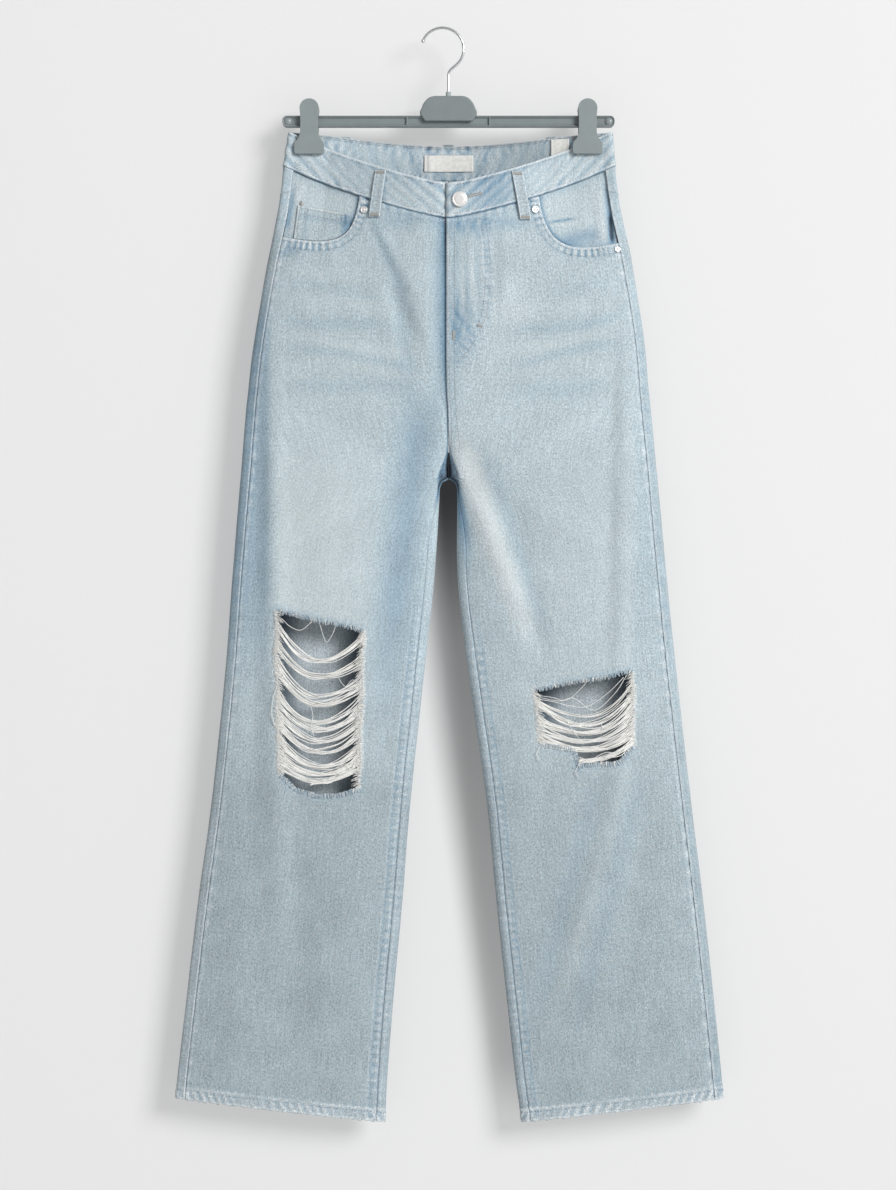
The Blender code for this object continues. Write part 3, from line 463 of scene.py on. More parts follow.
def wash_and_shade(side, front, x, drop):
    """Pale, blue, white and deep masks at places on the garment: the wash, painted shade on folds and on
    sides turned away from the lamp, and painted highlight on fold ridges.
    """
    pale = (0.75 if side == RIGHT else 0.40) * thigh_patch(side, x, drop) * np.where(front, 1.0, 0.55)
    blue, worn = np.zeros_like(x), np.zeros_like(x)
    for row in WHISKERS:
        if row.side == side:
            t = (x - row.x_in) / (row.x_out - row.x_in)
            line = mix(row.drop_in, row.drop_out, t) + 5.0 * MM * np.sin(4.0 * t + row.drop_in * 90)
            here = front * within(t, -0.1, 0.25, 0.75, 1.1)
            glow = here * bump_at(drop, line, row.half_width * 1.35)
            pale += 0.80 * ridge(row.strength) * glow
            blue += 0.46 * ridge(-row.strength) * glow
    # Painted shade: a bluer, darker strip on the outer side of the hip and thigh, much stronger on the
    # right leg, whose outer side faces away from the lamp.
    outer = (193 if side == RIGHT else 203) * MM
    outer_side_shade = 0.50 if side == RIGHT else 0.10
    blue += outer_side_shade * ease(x, outer - 4 * MM, outer + 7 * MM) * within(drop, 0.26, 0.33, 0.58, 0.76)
    # Painted shade along the soft valley inside the thigh, mostly on the right leg.
    inner_start = 0.37 if side == RIGHT else 0.56
    inner_fold_shade = 0.56 if side == RIGHT else 0.04
    blue += inner_fold_shade * front * bump_at(x, 40 * MM + (drop - CROTCH) * 0.13, 24 * MM) \
        * within(drop, inner_start, inner_start + 0.08, 0.60, 0.82)
    if side == RIGHT:
        for line, half_width, middle, reach, strength in (
                (78 * MM - (drop - 0.222) * 0.42, 7 * MM, 0.255, 0.045, 0.34),
                (52 * MM - (drop - 0.30) * 0.10, 10 * MM, 0.34, 0.06, 0.22)):
            blue += strength * front * bump_at(x, line, half_width) * bump_at(drop, middle, reach)
    else:
        # Painted highlight on the ridge of the low fold on the left shin, and painted shade on both sides
        # of it.
        lit_fold_ridge = 192 * MM - (drop - 0.79) * 0.26
        shown = within(drop, 0.79, 0.86, 1.02, 1.12)
        pale += 0.30 * front * bump_at(x, lit_fold_ridge, 8 * MM) * shown
        beside = bump_at(x, lit_fold_ridge + 24 * MM, 11 * MM) + bump_at(x, lit_fold_ridge - 24 * MM, 12 * MM)
        blue += 0.16 * front * beside * shown
        # Painted highlight, pale and white, on the ridge of the large fold that runs down from the crotch,
        # and painted shade beside it.
        lit_crotch_fold = 17 * MM + (drop - 0.455) * 0.34
        pale += 0.95 * front * bump_at(x, lit_crotch_fold, 13 * MM) * within(drop, 0.42, 0.47, 0.60, 0.68)
        blue += 0.22 * front * bump_at(x, lit_crotch_fold + 20 * MM, 9 * MM) * within(drop, 0.44, 0.50, 0.62, 0.70)
        worn = 0.9 * front * bump_at(x, lit_crotch_fold - 4 * MM, 12 * MM) * within(drop, 0.44, 0.49, 0.58, 0.72)
        worn += 0.30 * front * bell(x, 66, 30) * bump_at(drop, 0.30, 0.05)
    # deep darkens the hips a little and the lower legs more; on the lower legs it is partly a darker wash
    # and partly painted shade, as the light falls off downwards.
    deep = 0.26 * (1.0 - ease(drop, 0.30, 0.44)) + ease(drop, 0.60, 0.90) * 0.80
    deep += 0.16 * ease(drop, 0.90, 1.10)
    if side == RIGHT:
        # Painted shade: the lower right leg is darker still, lowest and farthest from the lamp.
        deep += 0.80 * within(drop, 0.78, 0.90, 1.02, 1.14)
    else:
        deep += 0.30 * within(drop, 0.42, 0.50, 0.62, 0.74)
    return pale, blue, worn, deep


print("whiskers:", len(WHISKERS))

# %% [markdown]
# Stitching pulls cloth into small uneven puckers. pucker gives that ripple for any length along a
# seam: its pitch wanders and its strength comes and goes, so no two puckers are alike.

# %% Puckers and seam lines


def pucker(along, pitch, seed):
    """Uneven ripples along a seam, from -1 to 1."""
    wander = 1.1 * np.sin(along / (pitch * 2.3) + seed) + 0.8 * np.sin(along / (pitch * 1.37) + 2.1 * seed)
    strength = 0.62 + 0.38 * np.sin(along / (pitch * 1.9) + 3.3 * seed)
    return strength * np.sin(2.0 * np.pi * along / pitch + wander)


def near_line(x, drop, line):
    """Distance to a line of (x, drop) points, and how far along it the nearest place lies."""
    line = np.asarray(line, float)
    best = np.full(x.shape, 1.0)
    along = np.zeros(x.shape)
    close = np.ones(x.shape, bool)
    for k, at in enumerate((x, drop)):
        close &= (at > line[:, k].min() - 0.03) & (at < line[:, k].max() + 0.03)
    place = np.stack((x[close], drop[close]), axis=-1)
    start = 0.0
    near, far = best[close], along[close]
    for p, q in zip(line[:-1], line[1:]):
        span = q - p
        length = math.hypot(*span)
        t = np.clip(((place - p) @ span) / length ** 2, 0.0, 1.0)
        distance = lengths(place - p - t[:, None] * span)
        nearer = distance < near
        near = np.where(nearer, distance, near)
        far = np.where(nearer, start + t * length, far)
        start += length
    best[close], along[close] = near, far
    return best, along


def smooth_curve(points, count):
    """One soft curve through a start, two handles and an end, given as (x, drop) in millimetres."""
    a, b, c, d = (Vector((x * MM, drop * MM)) for x, drop in points)
    return [(p.x, p.y) for p in interpolate_bezier(a, b, c, d, count)]


SCOOPS = {
    RIGHT: smooth_curve([(96.0, 180.0), (103.0, 241.0), (126.0, 239.0), (196.0, 225.0)], 40),
    LEFT: smooth_curve([(98.0, 184.0), (107.0, 249.0), (138.0, 247.0), (204.0, 230.0)], 40),
}
J_STITCH = [(38.0, 214.0), (41.5, 240.0), (42.5, 268.0), (41.5, 292.0), (38.0, 314.0), (31.0, 332.0),
            (20.0, 350.0), (9.0, 362.0)]
J_STITCH = [(x * MM, drop * MM) for x, drop in J_STITCH]

# Corners (x, drop) round each rip: first the outer top and the inner top, then along the torn lower
# edge to the outer side.
RIPS = {
    RIGHT: [(187, 634), (93, 655), (98, 827), (124, 834), (139, 835), (165, 828), (183, 811)],
    LEFT: [(199, 700), (94, 719), (100, 778), (138, 785), (141, 802), (185, 797), (200, 780)],
}


def torn_outline(side):
    """The rip's outline, walked in short uneven steps so that its edge looks torn."""
    corners = np.array(RIPS[side] + RIPS[side][:1], float) * MM
    rng = np.random.default_rng(41 + side)
    points = []
    for p, q in zip(corners[:-1], corners[1:]):
        count = max(3, int(np.hypot(*(q - p)) / (2.6 * MM)))
        away = np.array((q[1] - p[1], p[0] - q[0])) / np.hypot(*(q - p))
        slow = np.sin(np.arange(count) / 4.1 + rng.uniform(0, 6))
        for k in range(count):
            shift = 0.0 if k == 0 else rng.normal(0.0, 0.45) + 0.7 * slow[k]
            points.append(mix(p, q, k / count) + away * shift * MM)
    return np.array(points + points[:1])


TORN = {side: torn_outline(side) for side in (RIGHT, LEFT)}
print("torn edge points:", [len(TORN[side]) for side in (RIGHT, LEFT)])

# %% [markdown]
# front_relief and back_relief are the seamstress's part of the surface: the dip of each seam, the roped
# hem, the rolled edge of the pocket scoop, the fly and the puckers, with the blue and white that wear
# leaves on them. They also paint shade: a dark line in each seam's groove, a broad dark band beside the
# fly, and navy at the point of the crotch and on the edges where the legs part. A paler strip low on the
# right leg's outer side is painted light. They return a lift and the masks that go with it.

# %% Relief of the panels


def seam_relief(distance, along, pitch, depth, width, seed):
    """A dipped seam edge, a soft welt beside it and puckers that die out away from the seam."""
    ripple = pucker(along, pitch, seed) * np.exp(-(distance / width) ** 2)
    lift = -0.40 * MM * bell(distance, 0, 0.9) + 0.26 * MM * bell(distance, 3.4, 2.0)
    lift = lift + depth * ripple
    blue = 0.30 * np.exp(-(distance / width) ** 2) + 0.42 * ridge(-ripple)
    # Painted shade: the dark line right on the seam, in its groove.
    blue = blue + 0.36 * bell(distance, 0, 0.8)
    white = 0.30 * bell(distance, 3.0, 1.5) + 0.35 * ridge(ripple)
    return lift, blue, white


def hem_relief(level, x, seed):
    """The turned-up hem is thicker, and its stitching ropes it into slanting ridges."""
    below = level - HEM + HEM_DEPTH         # how far below the top of the turned-up part
    turned = ease(below, -0.9 * MM, 0.2 * MM)
    rope = pucker(x + 0.50 * below + 2.2 * MM * np.sin(x / 0.019), 9.6 * MM, seed) * turned
    above = pucker(x, 9.5 * MM, seed + 1.0) * bell(below, -4.0, 4.5)
    lift = HEM_OUT * turned + 0.42 * MM * rope + 0.22 * MM * above
    lift = lift - 0.5 * MM * bell(below, 0.8, 1.0) + 0.35 * MM * bell(below, -2.2, 1.8)
    uneven = 0.70 + 0.30 * np.sin(x / 0.013 + 2.0 * np.sin(x / 0.031))
    blue = 0.60 * ridge(-rope) * uneven + 0.25 * ridge(-above) + 0.40 * bell(below, 0.9, 0.9)
    white = 1.00 * ridge(rope) + 0.18 * turned + 0.75 * bell(level - HEM, -0.6, 1.3)
    white = white + 0.85 * bell(below, -2.2 - 0.8 * above, 1.4) * uneven
    return lift, blue, white


def torn_hem(level, x):
    """Lets the lowest edge of the hem run a little uneven, as a worn edge does."""
    worn = pucker(x, 6.5 * MM, 3.1) + 0.6 * pucker(x, 15.0 * MM, 1.2)
    return level + 0.75 * MM * worn * ease(level, HEM - 3.0 * MM, HEM)


def crotch_edge_shade(side, from_inner, drop, white):
    """Painted shade, dark blue, on the cloth's edge where the legs part, with the white taken away there.
    """
    width, end = (8.0 * MM, 0.62) if side == LEFT else (3.0 * MM, 0.53)
    rim = bump_at(from_inner, 0.0, width) * within(drop, 0.468, 0.486, 0.50, end)
    return 1.35 * rim, white * (1.0 - np.minimum(2.0 * rim, 1.0))


def front_relief(side, a, level, points):
    x, drop = points[..., 0] * side, -points[..., 2]
    run = run_per_turn(side, a, level)
    from_side = (side_seam(side, level) - a) * run
    from_inner = (a - inseam(side, level)) * run
    depth = mix(0.25, 0.42, ease(level, 0.62, 0.80)) * MM
    lift, blue, white = seam_relief(from_side, level, 19.0 * MM, depth, 6.5 * MM, 1.3 + side)
    parts = [(0.6 * lift, 0.45 * blue, 1.3 * white)]
    lift, blue, white = seam_relief(from_inner, level, 9.5 * MM, 0.30 * MM, 10.0 * MM, 2.9 + side)
    shown = np.where(level > CROTCH, ease(level, 0.55, 0.68), 0.0)
    parts.append((0.7 * shown * lift, 0.50 * shown * blue, 1.0 * shown * white))
    parts.append(hem_relief(level, x, 0.7 + side))
    # the inseam is felled: a flat band with rungs of puckers, closed by a dipped row of stitches
    rung = pucker(level, 8.8 * MM, 6.3 + side)
    fell = within(from_inner, 0.8 * MM, 2.4 * MM, 7.6 * MM, 10.4 * MM)
    closed = bell(from_inner, 10.6, 1.5)
    low_down = np.where(level > CROTCH, ease(level, 0.58, 0.72), 0.0)
    rim = bell(from_inner, 12.6, 1.4)
    parts.append((low_down * MM * (0.26 * rung * fell - 0.30 * closed),
                  low_down * (0.60 * ridge(-rung) * fell + 0.42 * closed),
                  low_down * (0.34 * ridge(rung) * fell + 0.30 * rim)))
    # the seam under the waistband gathers the cloth a little
    under_band = level - WAIST
    parts.append(seam_relief(under_band, a * run, 11.0 * MM, 0.38 * MM, 9.0 * MM, 4.2 + side))
    lift, blue, white = (sum(column) for column in zip(*parts))

    distance, along = near_line(x, drop, SCOOPS[side])
    inside = within(distance, 1.0 * MM, 2.4 * MM, 8.5 * MM, 11.5 * MM)
    ripple = pucker(along, 6.6 * MM, 5.1 + side) * inside
    lift += 0.75 * MM * bell(distance, 0.8, 1.4) + 0.40 * MM * ripple
    lift -= 0.28 * MM * bell(distance, 3.0, 0.9) + 0.30 * MM * bell(distance, 9.3, 1.2)
    blue += 1.00 * ridge(-ripple) + 0.40 * bell(distance, 9.8, 1.6)
    blue += 0.40 * bell(distance, 2.6, 0.9)
    white += 1.00 * bell(distance, 0.6, 1.3) + 0.95 * ridge(ripple)

    distance, along = near_line(x, drop, TORN[side])
    tick = pucker(along, 5.2 * MM, 8.0 + side)
    rim = bell(distance, 0, 4.6)
    from_middle = np.abs(drop - np.mean(TORN[side][:, 1]))
    level_edge = ease(from_middle, 0.030, 0.040) if side == LEFT else ease(from_middle, 0.070, 0.085)
    lift += 0.40 * MM * rim * tick * level_edge
    blue += rim * level_edge * (0.45 + 0.45 * ridge(-tick))
    white += mix(0.95, 0.30, level_edge) * bell(distance, 0, 3.2) \
        + 0.50 * rim * level_edge * ridge(tick)

    # Painted shade: the point of the crotch is sunk a little and painted navy, where the cloth turns back
    # between the legs.
    reach = 1.5 * MM + 8.0 * MM * ease(drop, 0.462, 0.490)
    point = (1.0 - ease(x, reach, reach + 2.5 * MM)) * within(drop, 0.452, 0.478, 0.500, 0.530)
    lift -= 1.8 * MM * point
    rough = np.sin(x / 0.0011 + 3.0 * np.sin(drop / 0.0037)) * np.sin(drop / 0.0016 + x / 0.0023)
    blue += point * (1.28 + 0.30 * rough + 0.45 * bump_at(drop, 0.489, 0.003))
    rim, white = crotch_edge_shade(side, from_inner, drop, white)
    blue += rim
    if side == LEFT:
        fly = 1.0 - ease(level, 350.0 * MM, 372.0 * MM)
        for shift in (-2.6 * MM, 2.6 * MM):
            distance, along = near_line(x + shift, drop, J_STITCH)
            ripple = pucker(along, 8.0 * MM, 6.0 + shift * 500) * bell(distance, 3.0, 3.2)
            lift += 0.16 * MM * ripple - 0.26 * MM * bell(distance, 0, 0.9)
            blue += 0.26 * bell(distance, 0, 3.0) + 0.40 * ridge(-ripple)
            white += 0.28 * bell(distance, 1.4, 1.0) + 0.12 * ridge(ripple)
        edge = from_inner + FLY_LAP
        lift += fly * (0.55 * MM * bell(edge, 1.6, 1.6))
        white += fly * 0.75 * bell(edge, 1.4, 1.4) * (0.7 + 0.3 * np.sin(drop / 0.012))
        speckle = np.sin(x / 0.0017 + 2.0 * np.sin(drop / 0.011)) * np.sin(drop / 0.0043 + x / 0.006)
        speckle = 0.55 + 0.45 * speckle
        blue += 0.22 * bell(edge, 7.0, 7.0) * (1.0 - ease(drop, 0.44, 0.49))
        blue += 1.05 * bell(x, 22, 26) * bell(drop, 218, 10) * speckle
        blue += 1.15 * bell(x, 12, 15) * bell(drop, 324, 26) * speckle
        blue += 0.45 * bell(x, 66, 22) * bell(drop, 213, 7)
        bars_down = within(drop, 0.222, 0.25, 0.30, 0.35)
        stripes = np.sin(2.0 * np.pi * x / (10.6 * MM) + 1.3 * np.sin(drop / 0.037 + x / 0.02) + 1.2)
        stripes = stripes * (0.6 + 0.4 * np.sin(drop / 0.017 + x / 0.006))
        inside_fly = within(x, 0.002, 0.008, 0.044, 0.060)
        blue += 0.30 * ridge(stripes) * bars_down * inside_fly
        white += 0.34 * ridge(-stripes) * bars_down * inside_fly
    else:
        lift -= FLY_RECESS * (1.0 - ease(a, 0.008, 0.03)) * (1.0 - ease(level, 0.430, 0.470))
        # Painted shade: a broad dark band beside the fly's edge, where this front runs under the other, and
        # a dark line down the centre seam below the fly.
        fly_gap_shade = bell(x, 1.5, 4.2)
        blue += 1.45 * fly_gap_shade * mix(1.0, 0.66, ease(drop, 0.23, 0.27)) * (1.0 - ease(drop, 0.36, 0.42))
        blue += 0.60 * bell(x, 4.0, 12) * (1.0 - ease(drop, 0.34, 0.44))
        blue += 0.70 * bell(x, 0, 2.2) * ease(drop, 0.36, 0.40)
        blue += 0.35 * bell(x, 52, 22) * bell(drop, 212, 9)
        blue += 0.45 * bell(drop, 243, 7) * bell(x, 176, 16)
    return lift, blue, white


def back_relief(side, a, level, points):
    x, drop = points[..., 0] * side, -points[..., 2]
    run = run_per_turn(side, a, level)
    from_side = (a - side_seam(side, level)) * run
    from_inner = (1.0 + inseam(side, level) - a) * run
    inner = seam_relief(from_inner, level, 10.0 * MM, 0.28 * MM, 9.0 * MM, 3.7 + side)
    shown = np.where(level > CROTCH, ease(level, 0.55, 0.68), 1.0)
    soft = mix(np.ones(3), np.array((0.7, 0.50, 1.0)), ease(level, CROTCH, 0.62)[..., None])
    parts = [tuple(part * shown * soft[..., k] for k, part in enumerate(inner)),
             hem_relief(level, x, 1.9 + side)]
    ripple = pucker(level, 21.0 * MM, 2.3 + side) * bell(from_side, 0, 7.0)
    lift = sum(part[0] for part in parts) + 0.30 * MM * ripple
    lift += 0.45 * MM * bell(from_side, 1.3, 1.2)
    blue = sum(part[1] for part in parts) + 0.10 * bell(from_side, 5.0, 4.0)
    blue += 0.30 * ridge(-ripple)
    white = sum(part[2] for part in parts) + 0.50 * bell(from_side, 1.0, 1.1)
    # Painted light: low on the right leg, the strip beside the side seam, which faces away from the lamp,
    # is painted paler.
    if side == RIGHT:
        white = white + 0.40 * bell(from_side, 10.0, 9.0) * ease(drop, 0.76, 0.92)
    rim, white = crotch_edge_shade(side, from_inner, drop, white)
    return lift, blue + rim, white


print("relief rules are ready")

# %% [markdown]
# A panel starts as a flat grid, as a flat piece of cloth does. Its corners are then moved to their
# places, faces over a hole are removed, the edge of the hole is drawn on to the torn line, and
# Solidify gives the cloth its thickness inwards, with the inner face's own material. Its map is in
# metres, so the weave keeps its scale.

# %% Making a cloth piece


def to_mesh(bm, name):
    """Ends a bmesh and gives its mesh."""
    mesh = bpy.data.meshes.new(name)
    bm.to_mesh(mesh)
    bm.free()
    return mesh


def flat_grid(name, columns, rows):
    """A flat grid with u across and v down, both from 0 to 1."""
    bm = bmesh.new()
    bmesh.ops.create_grid(bm, x_segments=columns, y_segments=rows, size=0.5)
    bmesh.ops.translate(bm, verts=bm.verts, vec=(0.5, 0.5, 0.0))
    return to_mesh(bm, name)


def read_points(mesh):
    flat = np.empty(len(mesh.vertices) * 3)
    mesh.vertices.foreach_get("co", flat)
    return flat.reshape(-1, 3)


def face_corners(mesh):
    flat = np.empty(len(mesh.loops), np.int32)
    mesh.loops.foreach_get("vertex_index", flat)
    return flat.reshape(-1, 4)


def inside_outline(x, drop, outline):
    """True where a place lies inside a closed outline."""
    inside = np.zeros(x.shape, bool)
    for (px, py), (qx, qy) in zip(outline[:-1], outline[1:]):
        if py != qy:
            crossing = (py > drop) != (qy > drop)
            inside ^= crossing & (x < px + (drop - py) / (qy - py) * (qx - px))
    return inside


def nearest_on_line(x, drop, line):
    """The nearest point of a line to each place."""
    best = np.full(x.shape, 1.0)
    found = np.stack((x, drop), axis=-1)
    place = found.copy()
    for p, q in zip(line[:-1], line[1:]):
        span = np.asarray(q) - np.asarray(p)
        t = np.clip(((place - p) @ span) / max(span @ span, 1e-12), 0.0, 1.0)
        candidate = np.asarray(p) + t[:, None] * span
        distance = lengths(place - candidate)
        nearer = distance < best
        best = np.where(nearer, distance, best)
        found[nearer] = candidate[nearer]
    return found


def add_piece(mesh, *materials):
    """An object at the origin that has its mesh's name."""
    obj = bpy.data.objects.new(mesh.name, mesh)
    scene.collection.objects.link(obj)
    for material in materials:
        mesh.materials.append(material)
    mesh.shade_smooth()
    print(mesh.name, len(mesh.polygons), "faces")
    return obj


def cloth_lengths(points, columns, rows):
    """How far each corner of a grid lies along its row and down its column."""
    table = points.reshape(rows + 1, columns + 1, 3)
    across, down = np.zeros((2, rows + 1, columns + 1))
    across[:, 1:] = np.cumsum(lengths(np.diff(table, axis=1)), axis=1)
    down[1:] = np.cumsum(lengths(np.diff(table, axis=0)), axis=0)
    return across, down


def dress(mesh, points, masks, across, down):
    """Places the corners, and stores the masks and the cloth's map in metres. The masks are pale, blue,
    white and deep; blue runs on to 2, where it is navy, which is mostly painted shade."""
    mesh.vertices.foreach_set("co", (points + (GARMENT_X, 0.0, 0.0)).ravel())
    values = np.clip(np.stack(masks, axis=-1), 0.0, (1.0, 2.0, 1.0, 1.0)).astype(np.float32)
    mesh.attributes.new("wash_and_shade", "FLOAT_COLOR", "POINT").data.foreach_set("color", values.ravel())
    places = np.stack((across.ravel(), down.ravel()), axis=-1)[face_corners(mesh).ravel()]
    mesh.uv_layers.new(name="cloth").data.foreach_set("uv", places.astype(np.float32).ravel())


def hem_wall(points):
    """True where the hem is turned up: the corners of the mesh that lie in its depth."""
    side = np.where(points[:, 0] < GARMENT_X, RIGHT, LEFT)
    x = (points[:, 0] - GARMENT_X) * side
    inward = ease(x, HEM_OUTER_X, HEM_INNER_X)
    return -points[:, 2] > HEM - HEM_DEPTH + HEM_TILT * inward


def form_cloth(mesh, points, normals, masks, grid, dead=None, wall=CLOTH, hemmed=False):
    """Puts the corners of a flat grid in place and dresses the mesh; grid is (columns, rows), and
    the faces in dead are cut out. A hemmed piece is thicker where its hem is turned up."""
    across, down = cloth_lengths(points, *grid)
    middle = grid[0] // 2
    dress(mesh, points, masks, across - across[:, [middle]],
          np.repeat(down[:, [middle]], grid[0] + 1, axis=1))
    corners = face_corners(mesh)
    p, q, r = (points[corners[:, k]] for k in (0, 1, 2))
    if (np.cross(q - p, r - p) * normals[corners[:, 0]]).sum() < 0.0:
        mesh.flip_normals()
    if dead is not None:
        bm = bmesh.new()
        bm.from_mesh(mesh)
        bm.faces.ensure_lookup_table()
        bmesh.ops.delete(bm, geom=[bm.faces[k] for k in np.nonzero(dead)[0]], context="FACES")
        bm.to_mesh(mesh)
        bm.free()
    obj = add_piece(mesh, denim, denim_inside)
    solid = obj.modifiers.new("Wall", "SOLIDIFY")
    solid.material_offset = 1
    solid.thickness = thickness = HEM_OUT + HEM_IN if hemmed else wall
    solid.offset = -1.0
    if hemmed:
        group = obj.vertex_groups.new(name="wall")
        left = read_points(mesh)
        group.add(range(len(left)), CLOTH / thickness, "REPLACE")
        group.add(np.nonzero(hem_wall(left))[0].tolist(), 1.0, "REPLACE")
        solid.vertex_group = "wall"
    return obj


def spread(start, spans):
    """Levels from start, each span (end, step) in millimetres with its own spacing."""
    levels = [start]
    for end, step in spans:
        count = max(1, round((end * MM - levels[-1]) / (step * MM)))
        levels += list(np.linspace(levels[-1], end * MM, count + 1)[1:])
    return np.array(levels)


print("a hem is", round((HEM_OUT + HEM_IN) / MM, 2), "mm thick")

# %% [markdown]
# Materials come next. Colours are written as they look on a screen and turned into the linear values
# that the renderer works with. Small helpers add nodes and join them, and effects that several
# materials share are built once as node groups.

# %% Node helpers


def linear(red, green, blue):
    """A screen colour, 0 to 255, as linear values with alpha."""
    values = [v / 255 for v in (red, green, blue)]
    return tuple(v / 12.92 if v <= 0.04045 else ((v + 0.055) / 1.055) ** 2.4 for v in values) + (1.0,)


def node(tree, kind, inputs=None, **settings):
    """Adds a node, gives its settings, and fills or links its inputs by name or number."""
    made = tree.nodes.new(kind)
    for name, value in settings.items():
        setattr(made, name, value)
    for name, value in (inputs or {}).items():
        if isinstance(value, bpy.types.NodeSocket):
            tree.links.new(value, made.inputs[name])
        else:
            made.inputs[name].default_value = value
    return made


def blend_colour(tree, share, one, other, mode="MIX"):
    return node(tree, "ShaderNodeMix", {0: share, 6: one, 7: other}, data_type="RGBA",
                blend_type=mode).outputs[2]


def scale_value(tree, value, low, high, to_low, to_high, **settings):
    return node(tree, "ShaderNodeMapRange", {0: value, 1: low, 2: high, 3: to_low, 4: to_high},
                **settings).outputs[0]


def maths(tree, operation, one, other):
    return node(tree, "ShaderNodeMath", {0: one, 1: other}, operation=operation).outputs[0]


def dimmed(colour, share):
    """A colour at a share of its brightness."""
    return tuple(value * share for value in colour[:3]) + (1.0,)


def grey(tree, value):
    return node(tree, "ShaderNodeCombineColor", {0: value, 1: value, 2: value}).outputs[0]


def noise(tree, vector, scale, detail, roughness=0.5):
    return node(tree, "ShaderNodeTexNoise", {"Vector": vector, "Scale": scale, "Detail": detail,
                                             "Roughness": roughness}).outputs[0]


def turned_map(tree, vector, **settings):
    """The same map, scaled or turned."""
    return node(tree, "ShaderNodeMapping", {"Vector": vector, **settings}).outputs[0]


def new_group(name, inputs, outputs):
    """A shader node group with named sockets: (name, kind, default)."""
    group = bpy.data.node_groups.new(name, "ShaderNodeTree")
    for label, kind, default in inputs:
        socket = group.interface.new_socket(label, in_out="INPUT", socket_type=kind)
        if default is not None:
            socket.default_value = default
    for label, kind in outputs:
        group.interface.new_socket(label, in_out="OUTPUT", socket_type=kind)
    return group, group.nodes.new("NodeGroupInput"), group.nodes.new("NodeGroupOutput")


print("node helpers are ready")

# %% [markdown]
# The denim group reads the cloth's own map in metres. Warp threads run down the cloth: their uneven dye
# gives fine vertical streaks, the twill gives a slanting grain, slubs and grain give the speckle, and slow
# clouds come from the wash. The four masks deepen, pale, blue and whiten the colour; they hold the wash and
# also painted shade and painted highlight. Blue above 1 turns navy, and that navy is mostly painted shade
# in gaps, under edges and in deep creases. The speckle is weaker where the cloth is pale.

# %% Denim
FLOAT, COLOR, VECTOR = "NodeSocketFloat", "NodeSocketColor", "NodeSocketVector"
denim_group, given, result = new_group(
    "denim_weave",
    [("Cloth", VECTOR, None), ("Pale", FLOAT, 0.0), ("Blue", FLOAT, 0.0), ("White", FLOAT, 0.0),
     ("Deep", FLOAT, 0.0), ("Grain", FLOAT, 1.0)],
    [("Color", COLOR), ("Height", FLOAT)])
tree = denim_group
cloth = given.outputs["Cloth"]
clouds = noise(tree, cloth, 22.0, 3.0, 0.55)
streaks = noise(tree, turned_map(tree, cloth, Scale=(620.0, 34.0, 1.0)), 1.0, 3.0, 0.6)
slubs = noise(tree, turned_map(tree, cloth, Scale=(540.0, 360.0, 1.0)), 1.0, 2.0, 0.6)
grain = noise(tree, cloth, 640.0, 2.0, 0.65)
slant = turned_map(tree, cloth, Rotation=(0.0, 0.0, math.radians(-58)))
twill = node(tree, "ShaderNodeTexWave", {"Vector": slant, "Scale": 190.0, "Distortion": 2.4,
                                         "Detail": 2.0, "Detail Scale": 2.2}).outputs["Fac"]
mottle = noise(tree, cloth, 150.0, 3.0, 0.65)
# Blue above 1 mixes in navy, which is mostly painted shade.
navy_share = maths(tree, "SUBTRACT", given.outputs["Blue"], 1.0)
blue_share, white_share = (
    maths(tree, "MULTIPLY", given.outputs[label], scale_value(tree, grain, 0.3, 0.7, low, high))
    for label, low, high in (("Blue", 0.7, 1.25), ("White", 0.5, 1.1)))
base = linear(182, 196, 202)
for share, colour in (
        (given.outputs["Deep"], linear(160, 173, 179)), (given.outputs["Pale"], linear(193, 203, 206)),
        (scale_value(tree, mottle, 0.50, 0.72, 0.0, 0.20), linear(150, 174, 190)),
        (scale_value(tree, mottle, 0.50, 0.28, 0.0, 0.18), linear(206, 211, 210)),
        (blue_share, linear(119, 150, 172)), (navy_share, linear(66, 80, 95)),
        (white_share, linear(214, 221, 224))):
    base = blend_colour(tree, share, base, colour)
worn = scale_value(tree, streaks, 0.3, 0.7, -0.090, 0.090)
for pattern, low, high, strength in ((clouds, 0.3, 0.7, 0.045), (slubs, 0.3, 0.7, 0.15),
                                     (grain, 0.3, 0.7, 0.16), (twill, 0.0, 1.0, 0.022)):
    worn = maths(tree, "ADD", worn, scale_value(tree, pattern, low, high, -strength, strength))
worn = maths(tree, "MULTIPLY", worn, given.outputs["Grain"])
worn = maths(tree, "MULTIPLY", worn, scale_value(tree, given.outputs["Pale"], 0.0, 1.0, 1.40, 0.68))
tone = grey(tree, maths(tree, "ADD", worn, 1.0))
tree.links.new(blend_colour(tree, 1.0, base, tone, "MULTIPLY"), result.inputs["Color"])
height = maths(tree, "ADD", scale_value(tree, twill, 0.0, 1.0, 0.0, 0.5), grain)
height = maths(tree, "ADD", height, maths(tree, "MULTIPLY", slubs, 1.4))
tree.links.new(height, result.inputs["Height"])
print("denim group:", len(denim_group.nodes), "nodes")


# %% [markdown]
# A cloth material keeps its own shader: the group gives it colour and height, and the numbers that
# are the same all over, such as sheen and specular level, are set on the shader itself. The inner
# face is less washed, so it has a material of its own with fixed masks, and it darkens where the
# legs hide it from the light.

# %% Cloth materials


